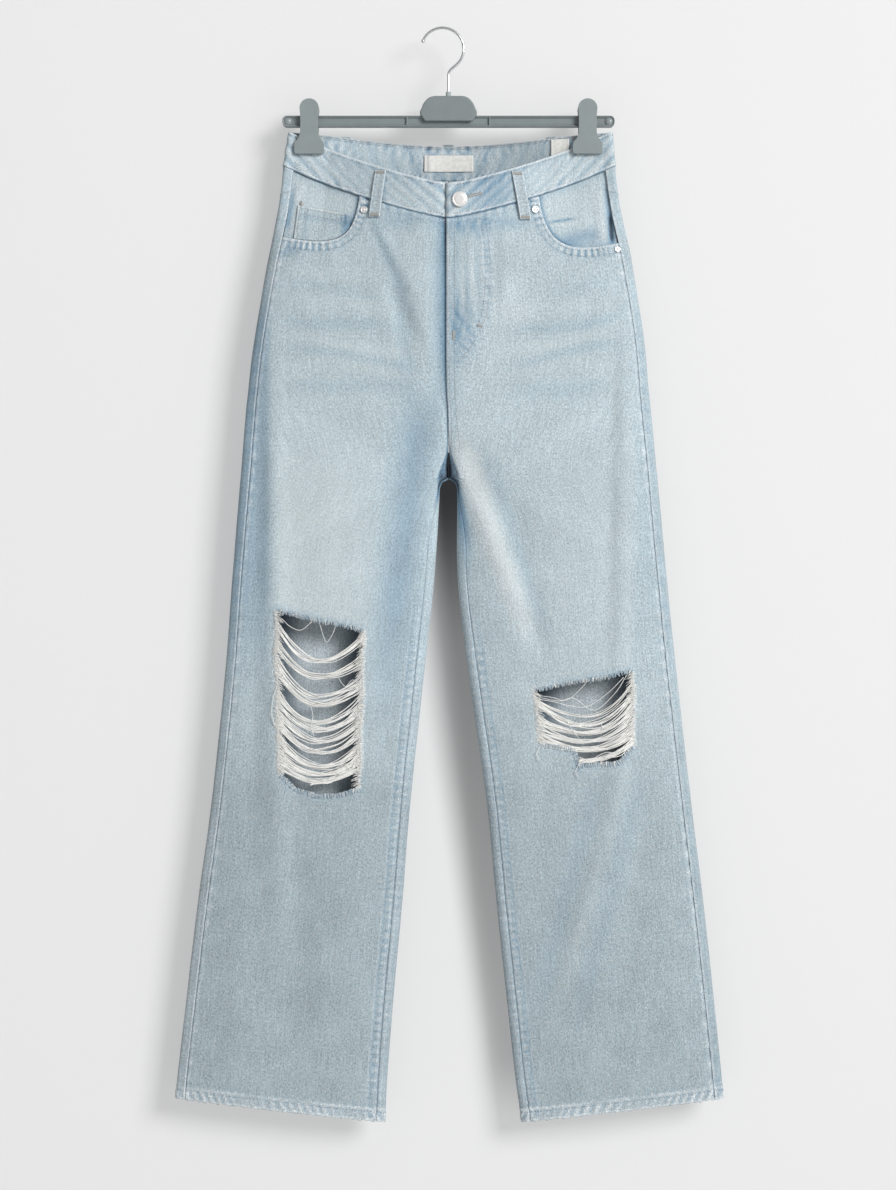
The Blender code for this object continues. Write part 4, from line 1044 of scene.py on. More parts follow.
def plain_shader(name, roughness, specular, sheen=0.0):
    material = bpy.data.materials.new(name)
    material.use_nodes = True
    shader = material.node_tree.nodes["Principled BSDF"]
    shader.inputs["Roughness"].default_value = roughness
    shader.inputs["Specular IOR Level"].default_value = specular
    if sheen:
        shader.inputs["Sheen Weight"].default_value = sheen
        shader.inputs["Sheen Roughness"].default_value = 0.6
    return material, material.node_tree, shader


def bump_normal(tree, shader, height, strength, distance):
    made = node(tree, "ShaderNodeBump", {"Strength": strength, "Distance": distance, "Height": height})
    tree.links.new(made.outputs["Normal"], shader.inputs["Normal"])


def denim_material(name, grain, relief, inside=None):
    material, tree, shader = plain_shader(name, 0.92, 0.18, 0.06)
    masks = node(tree, "ShaderNodeAttribute", attribute_name="wash_and_shade")
    parts = node(tree, "ShaderNodeSeparateColor", {0: masks.outputs["Color"]})
    cloth_map = node(tree, "ShaderNodeUVMap", uv_map="cloth")
    weave = node(tree, "ShaderNodeGroup", node_tree=denim_group)
    tree.links.new(cloth_map.outputs[0], weave.inputs["Cloth"])
    sockets = (*parts.outputs, masks.outputs["Alpha"])
    for label, socket in zip(("Pale", "Blue", "White", "Deep"), sockets):
        if inside is None:
            tree.links.new(socket, weave.inputs[label])
        else:
            weave.inputs[label].default_value = inside[label]
    weave.inputs["Grain"].default_value = grain
    tree.links.new(weave.outputs["Color"], shader.inputs["Base Color"])
    bump_normal(tree, shader, weave.outputs["Height"], relief, 0.35 * MM)
    return material


denim = denim_material("denim_washed", 1.0, 0.55)
denim_inside = denim_material("denim_inner_face", 0.8, 0.55,
                              {"Pale": 0.0, "Blue": 0.50, "White": 0.80, "Deep": 0.0})
tree = denim_inside.node_tree
far = node(tree, "ShaderNodeAttribute", attribute_name="inner_shade").outputs["Fac"]
shader = tree.nodes["Principled BSDF"]
lit = shader.inputs["Base Color"].links[0].from_socket
tree.links.new(blend_colour(tree, far, lit, linear(70, 88, 104)), shader.inputs["Base Color"])
print("materials:", [m.name for m in bpy.data.materials if m.name.startswith("denim")])

# %% [markdown]
# The front panels carry most of what is seen: the scoop of each pocket is cut out at the top, and
# the rips are torn out at the knees. Their rows are closer at the waist and the hem, where seams
# pucker the cloth, and their columns crowd towards the seams by themselves.

# %% Front panels
HEM_SPANS = [(1140.0, 3.0), (1165.0, 1.25)]
FRONT_LEVELS = spread(WAIST + SEAM_GAP, [(270.0, 2.0), (560.0, 2.7)] + HEM_SPANS)
FRONT_COLUMNS = 104
CUT_AWAY_X, CUT_AWAY_DROP = 0.25, 0.10      # a place well outside the panel's upper corner
EDGE_REACH = 6.0 * MM                       # corners this near a cut are drawn on to its line


def front_round(side, level, u):
    """Across a front panel, from the centre front or the inseam to the side seam."""
    start = inseam(side, level)
    start = start + seam_step(side, np.maximum(start, 0.004), level)
    lap = FLY_LAP * (1.0 - ease(level, 390.0 * MM, 440.0 * MM)) if side == LEFT else 0.0
    start = np.where(level <= CROTCH, -lap / (math.pi * 0.2), start)
    end = side_seam(side, level)
    end = end - seam_step(side, end, level)
    return mix(start, end, u)


def pocket_hole(side):
    """The scoop, closed round the corner of the panel that it cuts away."""
    curve = [tuple(point) for point in SCOOPS[side]]
    return np.array(curve + [(CUT_AWAY_X, curve[-1][1]), (CUT_AWAY_X, CUT_AWAY_DROP),
                             (curve[0][0], CUT_AWAY_DROP), curve[0]])


def place_on_layer(side, a, level, relief, lift=0.0):
    """Points of a detailed layer: the creased form, the layer's own relief and any extra lift. Also
    gives the normals, the points without relief, and the relief's blue and white."""
    points, normals = frame_at(side, a, level)
    rise, blue, white = relief(side, a, level, points)
    rise = rise + crease_lift(side, points, normals) + lift
    return points + normals * rise[..., None], normals, points, blue, white


def grid_places(name, columns, levels):
    """A flat grid whose rows lie at the given levels: its mesh, and u and level of each corner."""
    rows = len(levels) - 1
    mesh = flat_grid(name, columns, rows)
    flat = read_points(mesh)
    return mesh, flat[:, 0], np.interp(flat[:, 1] * rows, np.arange(rows + 1), levels)


def front_panel(side):
    mesh, u, level = grid_places(f"cloth_front_{SIDE_NAMES[side]}", FRONT_COLUMNS, FRONT_LEVELS)
    a = front_round(side, level, u)
    level = torn_hem(level, outer_face(side, a, level)[:, 0])
    rough = outer_face(side, a, level)
    x, drop = rough[:, 0] * side, -rough[:, 2]
    corners = face_corners(mesh)
    middle_x, middle_drop = x[corners].mean(axis=1), drop[corners].mean(axis=1)
    dead = np.zeros(len(corners), bool)
    for outline, line in ((pocket_hole(side), np.array(SCOOPS[side])), (TORN[side], TORN[side])):
        gone = inside_outline(middle_x, middle_drop, outline)
        dead |= gone
        edge = np.intersect1d(corners[gone], corners[~gone])
        at = nearest_on_line(x[edge], drop[edge], line)
        near = lengths(at - np.stack((x[edge], drop[edge]), axis=-1)) < EDGE_REACH
        edge, at = edge[near], at[near]
        new_a, new_level = locate(side, at[:, 0], at[:, 1], FRONT)
        keep = (new_level > FRONT_LEVELS[0]) & (new_a < front_round(side, new_level, 1.0))
        a[edge[keep]], level[edge[keep]] = new_a[keep], new_level[keep]
    points, normals, _, blue, white = place_on_layer(side, a, level, front_relief)
    pale, blue_and_shade, worn, deep = wash_and_shade(side, np.ones(len(x), bool), x, drop)
    return form_cloth(mesh, points, normals, (pale, blue + blue_and_shade, white + worn, deep),
                      (FRONT_COLUMNS, len(FRONT_LEVELS) - 1), dead, hemmed=True)


panels = {}
for side in (RIGHT, LEFT):
    panels[FRONT, side] = front_panel(side)

# %% [markdown]
# Each back is a yoke and a long panel. The panel starts at the side seam on the front, turns round
# the outer fold and runs to the centre back, or down the leg to the inseam, which also lies on the
# front. Its seam with the yoke slants down to the middle.

# %% Backs and yokes
YOKE_SIDE, YOKE_CENTRE = 24.0 * MM, 62.0 * MM
TURN = 0.2                          # share of a back's columns that turn the outer fold
BACK_COLUMNS, YOKE_ROWS = 96, 26
SHADE_REACH = 50.0 * MM             # how far past a rip the shade on the inside of the back runs on


def yoke_level(u):
    return WAIST + mix(YOKE_SIDE, YOKE_CENTRE, u)


def back_round(side, level, u):
    start = side_seam(side, level)
    start = start + seam_step(side, start, level)
    seam = inseam(side, level)
    end = 1.0 + seam - np.where(level > CROTCH, seam_step(side, np.maximum(seam, 0.004), level), 0.0)
    return np.where(u < TURN, mix(start, 0.5, u / TURN), mix(0.5, end, (u - TURN) / (1.0 - TURN)))


def yoke_relief(side, a, level, points):
    lift, blue, white = back_relief(side, a, level, points)
    run = run_per_turn(side, a, level)
    share = np.clip((a - 0.5) / 0.5, 0.0, 1.0)
    seam = yoke_level(TURN + share * (1.0 - TURN))
    for distance, depth in ((level - WAIST, 0.35), (seam - level, 0.25)):
        ripple = pucker(a * run, 8.0 * MM, 3.0 + depth) * bell(distance, 0, 6.0)
        lift = lift + depth * MM * ripple + 0.45 * MM * bell(distance, 1.4, 1.2)
        blue = blue + 0.3 * ridge(-ripple)
        white = white + 0.5 * bell(distance, 1.2, 1.2)
    return lift, blue, white


def inner_shade(side, x, drop):
    """Seen through a rip, the inside of the back is lit in the middle and dark towards its corners."""
    corners = np.array(RIPS[side], float) * MM
    middle, half = corners[:, 0].mean(), np.ptp(corners[:, 0]) / 2
    high, low = corners[:, 1].min(), corners[:, 1].max()
    aside = np.abs(x - middle)
    near = within(drop, high - SHADE_REACH, high, low, low + SHADE_REACH)
    near = near * (1.0 - ease(aside, half * 1.4, half * 2.2))
    from_light = aside + 0.25 * ridge(high + 20 * MM - drop)
    return 0.85 * near * ease(from_light, half * 0.30, half * 0.95)


def back_cloth(name, side, levels_of, rows, relief):
    mesh = flat_grid(name, BACK_COLUMNS, rows)
    u, v, _ = read_points(mesh).T
    level = levels_of(u, v)
    a = back_round(side, level, u)
    level = torn_hem(level, outer_face(side, a, level)[:, 0])
    points, normals, plain, blue, white = place_on_layer(side, a, level, relief)
    x, drop = plain[:, 0] * side, -plain[:, 2]
    pale, blue_and_shade, _, deep = wash_and_shade(side, normals[:, 1] < 0.0, x, drop)
    shade = mesh.attributes.new("inner_shade", "FLOAT", "POINT")
    shade.data.foreach_set("value", inner_shade(side, x, drop))
    return form_cloth(mesh, points, normals, (pale, blue + blue_and_shade, white, deep), (BACK_COLUMNS, rows),
                      hemmed=True)


BACK_LEVELS = spread(yoke_level(1.0), [(560.0, 3.0)] + HEM_SPANS)
BACK_ROWS = len(BACK_LEVELS) - 1


def back_levels(u, v):
    level = np.interp(v * BACK_ROWS, np.arange(BACK_ROWS + 1), BACK_LEVELS)
    slant = yoke_level(u) + SEAM_GAP / 2 - BACK_LEVELS[0]
    return level + slant * (1.0 - ease(level, BACK_LEVELS[0], CROTCH - 40 * MM))


def yoke_levels(u, v):
    return mix(WAIST + SEAM_GAP, yoke_level(u) - SEAM_GAP / 2, v)


for side, name in SIDE_NAMES.items():
    panels[BACK, side] = back_cloth(f"cloth_back_{name}", side, back_levels, BACK_ROWS, back_relief)
    panels["yoke", side] = back_cloth(f"cloth_yoke_{name}", side, yoke_levels, YOKE_ROWS, yoke_relief)

# %% [markdown]
# The waistband, belt loops and labels are thick enough to have a rounded edge. Each is a grid whose
# rows walk once round the cross-section; the first and last rows are then merged into a closed tube
# and its two ends are filled.

# %% Closed cloth sections


def rounded_section(low, high, inside, outside, radius, steps, across=0):
    """Walks round a rectangle with soft corners: (down, lift) pairs that end where they began."""
    turn = np.radians(np.linspace(0.0, 90.0, 4))
    path = []
    centres = [(low + radius, outside - radius, 90), (low + radius, inside + radius, 180),
               (high - radius, inside + radius, 270), (high - radius, outside - radius, 0)]
    for number, (down, lift, start) in enumerate(centres):
        path += [(down + radius * math.cos(t), lift + radius * math.sin(t))
                 for t in turn + math.radians(start)]
        next_down, next_lift, ahead = centres[(number + 1) % 4]
        ahead = math.radians(ahead)
        end = (next_down + radius * math.cos(ahead), next_lift + radius * math.sin(ahead))
        count = steps if number in (1, 3) else across
        begin = path[-1]
        path += [(mix(begin[0], end[0], k / (count + 1)), mix(begin[1], end[1], k / (count + 1)))
                 for k in range(1, count + 1)]
    return np.array(path + path[:1])


def close_tube(mesh):
    """Merges the first and last rows, fills the two ends and turns the faces outwards."""
    bm = bmesh.new()
    bm.from_mesh(mesh)
    bmesh.ops.remove_doubles(bm, verts=bm.verts, dist=0.002 * MM)
    bmesh.ops.holes_fill(bm, edges=[edge for edge in bm.edges if edge.is_boundary])
    bmesh.ops.recalc_face_normals(bm, faces=bm.faces)
    if bm.calc_volume(signed=True) < 0.0:
        bmesh.ops.reverse_faces(bm, faces=bm.faces)
    bm.to_mesh(mesh)
    bm.free()


def form_section(name, material, columns, section, place):
    """A closed piece: place(u, down, lift) gives points and masks for every corner of the grid."""
    rows = len(section) - 1
    mesh = flat_grid(name, columns, rows)
    flat = read_points(mesh)
    row = np.round(flat[:, 1] * rows).astype(int)
    points, masks = place(flat[:, 0], section[row, 0], section[row, 1])
    dress(mesh, points, masks, *cloth_lengths(points, columns, rows))
    close_tube(mesh)
    return add_piece(mesh, material)


print("section walk:", rounded_section(-1.0, 1.0, 0.0, 1.0, 0.2, 2).shape)

# %% [markdown]
# The waistband is folded over at its top edge, so that edge is a soft bright roll. Rows of stitches
# near both edges pull it into slanting puckers, which are strongest on the inside of the back, where
# the band is seen over the front. Its right end runs on under the left one, below the button.

# %% Waistband
UNDERLAP, UNDERLAP_SINK = 34.0 * MM, BAND_OUT + BAND_IN + LAY_GAP
BAND_MIDDLE, BAND_HALF = (BAND_TOP + WAIST - SEAM_GAP / 2) / 2, (WAIST - SEAM_GAP / 2 - BAND_TOP) / 2
HALF_COLUMNS, UNDERLAP_COLUMNS, HALF_WAIST = 92, 24, 0.18    # the last is half the waist in metres


def band_places():
    """Places round the band, from the left end over the back to the hidden right end."""
    lap, under = FLY_LAP / (math.pi * HALF_WAIST), UNDERLAP / (math.pi * HALF_WAIST)
    left = np.concatenate(([-lap], np.linspace(0.003, 0.5, HALF_COLUMNS),
                           np.linspace(0.505, 0.999, HALF_COLUMNS)))
    right = np.concatenate((left[:0:-1], np.linspace(0.0, -under, UNDERLAP_COLUMNS)[1:]))
    sides = np.concatenate((np.full(len(left), LEFT), np.full(len(right), RIGHT)))
    return sides, np.concatenate((left, right))


def band_relief(level, lift, along):
    """Roll of the top edge, stitch grooves and slanting puckers of the band."""
    outer = lift > (BAND_OUT - BAND_IN) / 2
    from_top, from_low = level - BAND_TOP, WAIST - level
    wavy = 2.6 * MM * np.sin(from_top / (4.0 * MM) + along / (9.0 * MM))
    slant = pucker(along + np.where(outer, 0.9, 0.25) * from_top + wavy,
                   np.where(outer, 8.5, 8.0) * MM, 1.7)
    slant = slant * (0.55 + 0.45 * np.sin(from_top / (3.1 * MM) + along / (13.0 * MM)))
    slow = pucker(along + np.where(outer, 1.6, 0.4) * from_top, 23.0 * MM, 4.4)
    edges = 0.30 + 0.70 * (bell(from_top, 3.0, 7.0) + bell(from_low, 2.0, 7.0))
    rise = np.where(outer, 0.40, 0.30) * MM * slant * edges + np.where(outer, 0.50, 0.22) * MM * slow
    rise = rise + np.where(outer, 0.35 * MM * bell(from_low, 2.2, 1.3), 0.0)
    grooves = bell(from_top, 3.2, 0.9) + bell(from_low, 3.4, 0.9)
    rise = rise - 0.26 * MM * grooves
    blue = np.where(outer, 0.60, 1.30) * ridge(-slant) * edges + np.where(outer, 0.0, 0.16)
    blue = blue + np.where(outer, 0.66, 0.50) * ridge(-slow)
    # Painted shade: a little blue under the rolled top edge, and a dark line along the lower edge, where
    # the band stands proud of the panel.
    blue = blue + np.where(outer, 0.10 * bell(from_top, 6.0, 6.0), 0.0)
    blue = blue + np.where(outer, 1.00, 0.24) * bell(from_low, 0, 1.2)
    blue = blue + np.where(outer, 0.35, 0.30) * bell(from_top, 3.4, 1.2)
    white = ridge(slant) * edges * np.where(outer, 0.65, 1.75) + 0.35 * ridge(slow)
    white = white + np.where(outer, 0.95, 0.2) * bell(from_top, 0.4, 1.6)
    white = white + 0.75 * np.where(outer, bell(from_low, 2.4, 1.0), 0.0)
    return np.where(outer, rise, -rise * 0.7), blue, white


def band_skin(side, a, level, lift):
    """Points of the band with its relief; lift runs from -BAND_IN inside to BAND_OUT outside."""
    points, normals = frame_at(side, a, level)
    along = points[..., 0] * side
    rise, blue, white = band_relief(level, lift, along)
    rise = lift + rise + crease_lift(side, points, normals)
    return points + normals * rise[..., None], normals, blue, white


def waistband():
    sides, places = band_places()
    columns = len(places) - 1
    section = rounded_section(-BAND_HALF, BAND_HALF, -BAND_IN, BAND_OUT, 1.1 * MM, 22, 1)

    def place(u, down, lift):
        k = np.round(u * columns).astype(int)
        side, a = sides[k], places[k]
        level = BAND_MIDDLE + down
        points, blue, white = np.zeros((len(u), 3)), np.zeros(len(u)), np.zeros(len(u))
        for one in (LEFT, RIGHT):
            mine = side == one
            sink = UNDERLAP_SINK * (1.0 - ease(a[mine], 0.0, 0.02)) if one == RIGHT else 0.0
            skin, normals, blue[mine], white[mine] = band_skin(one, a[mine], level[mine], lift[mine])
            points[mine] = skin - normals * (np.zeros(mine.sum()) + sink)[:, None]
        # The last row is the painted shadow of the right front belt loop: a thin dark line on the band at
        # the loop's side.
        for one, at, centre, half_width, strength in ((LEFT, np.abs(a), 0.085, 0.05, 0.60),
                                                      (RIGHT, np.abs(a), 0.16, 0.08, 0.12),
                                                      (RIGHT, a, 0.128, 0.006, 0.70)):
            blue += strength * bump_at(at, centre, half_width) * (side == one) * (lift > 0)
        return points, (np.where(lift > 0, 0.30, 0.45), blue, white, np.zeros(len(u)))

    return form_section("cloth_waistband", denim, columns, section, place)


band = waistband()

# %% [markdown]
# Behind each scoop lies the pocket facing, a thin piece that follows the panel's own place under the
# cut-away corner. It is pushed into an upright fold near the side seam, and the left one has a short
# slit-like crease near the belt loop.

# %% Pocket facings
FACING = 1.0 * MM
FACING_LEVELS = spread(WAIST + SEAM_GAP, [(266.0, 2.2)])
FACING_START = 0.3                  # share of the front panel where the facing begins
FACING_COLUMNS, FACING_PALE = 74, {RIGHT: 0.40, LEFT: 0.30}
FACING_CREASES = {
    # (x, drop) from and to in mm, half width, height
    LEFT: (((108, 212), (139, 206.5), 1.5, -1.0), ((108, 215), (139, 210), 2.2, 0.5),
           ((171, 160), (178, 240), 4.0, -0.8), ((163, 165), (168, 236), 6.0, 0.9),
           ((181, 168), (190, 232), 3.0, 0.8), ((120, 232), (168, 222), 8.0, -0.6),
           ((176, 200), (179, 234), 2.2, -1.6)),
    RIGHT: (((168, 170), (177, 222), 3.5, -0.8), ((160, 168), (168, 190), 5.0, 0.8),
            ((106, 205), (112, 228), 5.0, -0.6), ((176, 172), (184, 220), 3.0, 0.7)),
}


def facing_relief(side, a, level, points):
    x, drop = points[..., 0] * side, -points[..., 2]
    lift, blue, white = np.zeros((3,) + x.shape)
    for start, end, half_width, height in FACING_CREASES[side]:
        line = np.array((start, end), float) * MM
        distance, along = near_line(x, drop, line)
        share = along / math.hypot(*(line[1] - line[0]))
        crease = bell(distance, 0.0, half_width) * within(share, -0.1, 0.3, 0.8, 1.05)
        lift += height * MM * crease
        # Painted shade in the crease troughs and painted highlight on the crease ridges.
        blue += 1.05 * max(-height, 0.0) * crease
        white += 0.45 * max(height, 0.0) * crease
    # Painted shadow of the front panel's scoop edge, on the facing just below it.
    distance, _ = near_line(x, drop, SCOOPS[side])
    blue += 0.45 * bell(distance, 0, 8.0) * ease(drop, 0.205, 0.24)
    blue += 1.15 * bell(distance, 0, 3.2) * (1.0 - ease(x, 0.118, 0.150))
    ripple = pucker(a * run_per_turn(side, a, level), 12.0 * MM, 2.2) * bump_at(level, WAIST, 8.0 * MM)
    blue += 0.22 * bump_at(level, WAIST, 6.0 * MM) + 0.2 * ridge(-ripple)
    return lift + 0.3 * MM * ripple, blue, white


def pocket_facing(side):
    mesh, u, level = grid_places(f"cloth_facing_{SIDE_NAMES[side]}", FACING_COLUMNS, FACING_LEVELS)
    a = front_round(side, level, mix(FACING_START, 1.0, u))
    points, normals, _, blue, white = place_on_layer(side, a, level, facing_relief, -CLOTH - LAY_GAP)
    none = np.zeros(len(blue))
    masks = (none + FACING_PALE[side], blue, white, none)
    return form_cloth(mesh, points, normals, masks, (FACING_COLUMNS, len(FACING_LEVELS) - 1), wall=FACING)


facings = {side: pocket_facing(side) for side in (RIGHT, LEFT)}

# %% [markdown]
# The coin pocket is sewn on to the right facing with a double row down its side and along its hem.
# It sits inside the scoop, so the same curve trims it.

# %% Coin pocket
COIN_LEFT, COIN_RIGHT, COIN_WIDTH, COIN_HEIGHT = (164.0, 192.5), (107.5, 203.0), 57.0, 48.0
COIN_COLUMNS, COIN_ROWS, COIN_WALL = 44, 36, 1.1 * MM
COIN_TRIM = (0.8 * MM, -0.8 * MM)   # it stays this far inside the scoop


def coin_place(u, v):
    """(x, drop) of a place on the coin pocket, across and down it."""
    x = mix(COIN_LEFT[0], COIN_RIGHT[0], u) + 5.5 * v * (1.0 - u)
    return x * MM, (mix(COIN_LEFT[1], COIN_RIGHT[1], u) + COIN_HEIGHT * v) * MM


def coin_lift(u, v):
    """A folded hem along the top, a rolled side and the dip of the double rows."""
    top, side_edge = v * COIN_HEIGHT * MM, u * COIN_WIDTH * MM
    ripple = pucker(side_edge, 6.0 * MM, 2.8) * bell(top, 5.5, 4.5)
    rise = 0.30 * MM * ripple
    for edge, second in ((top, 9.0), (side_edge, 8.4)):
        rise = rise - 0.25 * MM * (bell(edge, 2.4, 0.8) + bell(edge, second, 0.8))
    mottle = pucker(side_edge + 0.4 * top, 13.0 * MM, 1.1) * ease(top, 9.0 * MM, 14.0 * MM)
    rise = rise + 0.30 * MM * mottle
    blue = 0.60 * ridge(-ripple) + 0.30 * bell(top, 11.0, 2.5)
    blue = blue + 0.22 * bell(side_edge, 10.5, 2.5) + 0.25 * ridge(-mottle)
    # Painted shadow: the pocket's right end lies in the hollow under the scoop's edge and is painted dark
    # blue.
    blue = blue + 0.9 * ease(side_edge, 44 * MM, 54 * MM)
    white = 0.75 * bell(top, 0.4, 1.4) + 0.7 * bell(side_edge, 0.4, 1.3)
    return rise, blue, white + 0.35 * ridge(ripple)


def coin_pocket():
    mesh = flat_grid("cloth_coin_pocket", COIN_COLUMNS, COIN_ROWS)
    u, v, _ = read_points(mesh).T
    x, drop = coin_place(u, v)
    corners = face_corners(mesh)
    dead = ~inside_outline(x[corners].mean(axis=1), drop[corners].mean(axis=1),
                           pocket_hole(RIGHT) + COIN_TRIM)
    edge = np.intersect1d(corners[dead], corners[~dead])
    x[edge], drop[edge] = nearest_on_line(x[edge], drop[edge], np.array(SCOOPS[RIGHT]) + COIN_TRIM).T
    a, level = locate(RIGHT, x, drop, FRONT)
    rise, blue, white = coin_lift(u, v)
    points, normals = on_cloth(RIGHT, a, level, rise - 0.15 * MM)
    none = np.zeros(len(u))
    return form_cloth(mesh, points, normals, (none, blue, white, none + 0.35),
                      (COIN_COLUMNS, COIN_ROWS), dead, COIN_WALL)


coin = coin_pocket()

# %% [markdown]
# A back pocket is a patch: its points are those of the back panel moved out by the cloth below it.
# Its hem is folded twice, its edges are rolled, and two plain rows of stitches follow its sides.

# %% Back pockets
POCKET_WIDTH_TOP, POCKET_WIDTH_LOW, POCKET_SIDE, POCKET_POINT = 148.0, 126.0, 132.0, 24.0
POCKET_X, POCKET_DROP = 112.0, 246.0
POCKET_ACROSS, POCKET_DOWN = 140.0 * MM, 136.0 * MM     # its middle size, to measure along it
POCKET_CELLS = (84, 84)


def pocket_place(u, v):
    """(x, drop) of a place on a back pocket."""
    across = 2.0 * u - 1.0
    x = POCKET_X + across * mix(POCKET_WIDTH_TOP, POCKET_WIDTH_LOW, v) / 2
    point = POCKET_POINT * (1.0 - np.abs(across)) * v
    return x * MM, (POCKET_DROP - 8.0 * across * (1.0 - v) + POCKET_SIDE * v + point) * MM


def pocket_lift(u, v):
    """A twice folded hem, rolled edges with the dips of two rows of stitches, and a soft belly."""
    sides = np.minimum(u, 1.0 - u) * POCKET_ACROSS
    low, top = (1.0 - v) * POCKET_DOWN, v * POCKET_DOWN
    rim = np.minimum(sides, low)
    along = np.where(sides < low, top, u * POCKET_ACROSS)
    ripple = pucker(along, 8.0 * MM, 1.4) * bell(rim, 4.5, 4.5)
    hem = pucker(u * POCKET_ACROSS, 9.0 * MM, 3.9) * bell(top, 8.0, 7.0)
    rise = 0.25 * MM * (ripple + hem) + 0.25 * MM * (1.0 - ease(top, 15.5 * MM, 17.0 * MM))
    rise = rise - 0.22 * MM * (bell(rim, 2.4, 0.8) + bell(rim, 8.4, 0.8))
    rise = rise + 0.8 * MM * bump_at(u, 0.5, 0.3) * bump_at(v, 0.45, 0.35)
    blue = 0.35 * ridge(-ripple - hem) + 0.22 * bell(rim, 10.5, 3.0)
    white = 0.8 * bell(np.minimum(rim, top), 0.5, 1.5) + 0.3 * ridge(ripple + hem)
    return rise, blue, white


def back_pocket(side):
    mesh = flat_grid(f"cloth_back_pocket_{SIDE_NAMES[side]}", *POCKET_CELLS)
    u, v, _ = read_points(mesh).T
    a, level = locate(side, *pocket_place(u, v), BACK)
    rise, blue, white = pocket_lift(u, v)
    points, normals = on_cloth(side, a, level, rise + PATCH_GAP + CLOTH)
    none = np.zeros(len(u))
    return form_cloth(mesh, points, normals, (none + 0.3, blue, white, none + 0.1), POCKET_CELLS)


pockets = {side: back_pocket(side) for side in (RIGHT, LEFT)}

# %% [markdown]
# A belt loop is a narrow strip with folded edges: thicker and paler at both edges, hollow and more
# worn along its middle, and bowed off the band.

# %% Belt loops
LOOP_WIDTH, LOOP_THICK = 12.0 * MM, 1.8 * MM
Loop = namedtuple("Loop", "name side face x_top top x_end end")
LOOPS = [Loop(row[0], row[1], row[2], *(value * MM for value in row[3:])) for row in (
    # name, side, face, x_top, top, x_end, end
    ("belt_loop_front_right", RIGHT, FRONT, 73.0, 156.5, 80.0, 207.0),
    ("belt_loop_front_left", LEFT, FRONT, 74.0, 158.0, 83.5, 210.0),
    ("belt_loop_side_right", RIGHT, BACK, 112.0, 116.0, 112.0, 168.0),
    ("belt_loop_side_left", LEFT, BACK, 112.0, 116.0, 112.0, 168.0),
    ("belt_loop_centre_back", LEFT, BACK, 0.0, 121.5, 0.0, 175.0),
)]


def loop_skin(loop, u, across, lift):
    """Points of a loop: u runs down it, across from its middle, lift off its underside."""
    x = mix(loop.x_top, loop.x_end, u) + across
    drop = mix(loop.top, loop.end, u)
    a, level = locate(loop.side, x, drop, loop.face)
    bow = 1.3 * MM * np.sin(np.pi * u) ** 0.7
    return on_cloth(loop.side, a, level, BAND_OUT + LAY_GAP + bow + lift)


def belt_loop(loop):
    section = rounded_section(-LOOP_WIDTH / 2, LOOP_WIDTH / 2, 0.0, LOOP_THICK, 0.7 * MM, 12)

    def place(u, across, lift):
        outer = lift > LOOP_THICK * 0.5
        hollow = bell(across, 0, 2.6)
        grooves = bell(np.abs(across), 3.9, 0.7)
        tick = pucker(u * 52.0 * MM, 5.0 * MM, 3.0 + across * 90)
        rise = np.where(outer, -0.55 * MM * hollow - 0.22 * MM * grooves + 0.12 * MM * tick, 0.0)
        points, _ = loop_skin(loop, u, across, lift + rise)
        white = 0.75 * bell(np.abs(across), 5.3, 1.3) + 0.2 * ridge(tick)
        blue = 0.45 * grooves + 0.12 * ridge(-tick)
        return points, (0.35 * hollow, blue, white, 0.35 + 0.55 * hollow)

    return form_section("cloth_" + loop.name, denim, 46, section, place)


loops = [(loop, belt_loop(loop)) for loop in LOOPS]
print("belt loops:", len(loops))

# %% [markdown]
# Labels are thin woven tape, left bare, with their two short ends folded under. They sit on the
# inside of the back waistband.

# %% Labels
Label = namedtuple("Label", "name x_from x_to top end")
LABELS = [Label(row[0], *(value * MM for value in row[1:])) for row in (
    # name, x_from, x_to, top, end
    ("waist_label", -27.0, 27.5, 134.0, 152.0),
    ("care_label", 113.0, 132.0, 119.5, 138.5),
)]
LABEL_THICK, LABEL_LIFT = 0.6 * MM, 0.75 * MM


def make_label(row):
    """A bare woven label on the inside of the back waistband."""
    half = (row.end - row.top) / 2
    section = rounded_section(-half, half, -LABEL_THICK, 0.0, 0.25 * MM, 10)

    def place(u, down, lift):
        width = row.x_to - row.x_from
        from_end = np.minimum(u, 1.0 - u) * width
        rise = 0.35 * MM * bell(from_end, 0.8, 1.2) + 0.25 * MM * np.sin(u * 9.0 + down * 200)
        a, level = locate(LEFT, mix(row.x_from, row.x_to, u), (row.top + row.end) / 2 + down, BACK)
        points, _ = on_cloth(LEFT, a, level, -BAND_IN - LABEL_LIFT - rise + lift)
        none = np.zeros(len(u))
        # Painted shade: the waist label is greyer near its left end, where it is folded.
        fold = 0.5 * bell(u * width, 4.0, 1.6) * (row.name == "waist_label")
        return points, (none, fold, none, none)

    return form_section("woven_" + row.name, label_weave, 40, section, place)


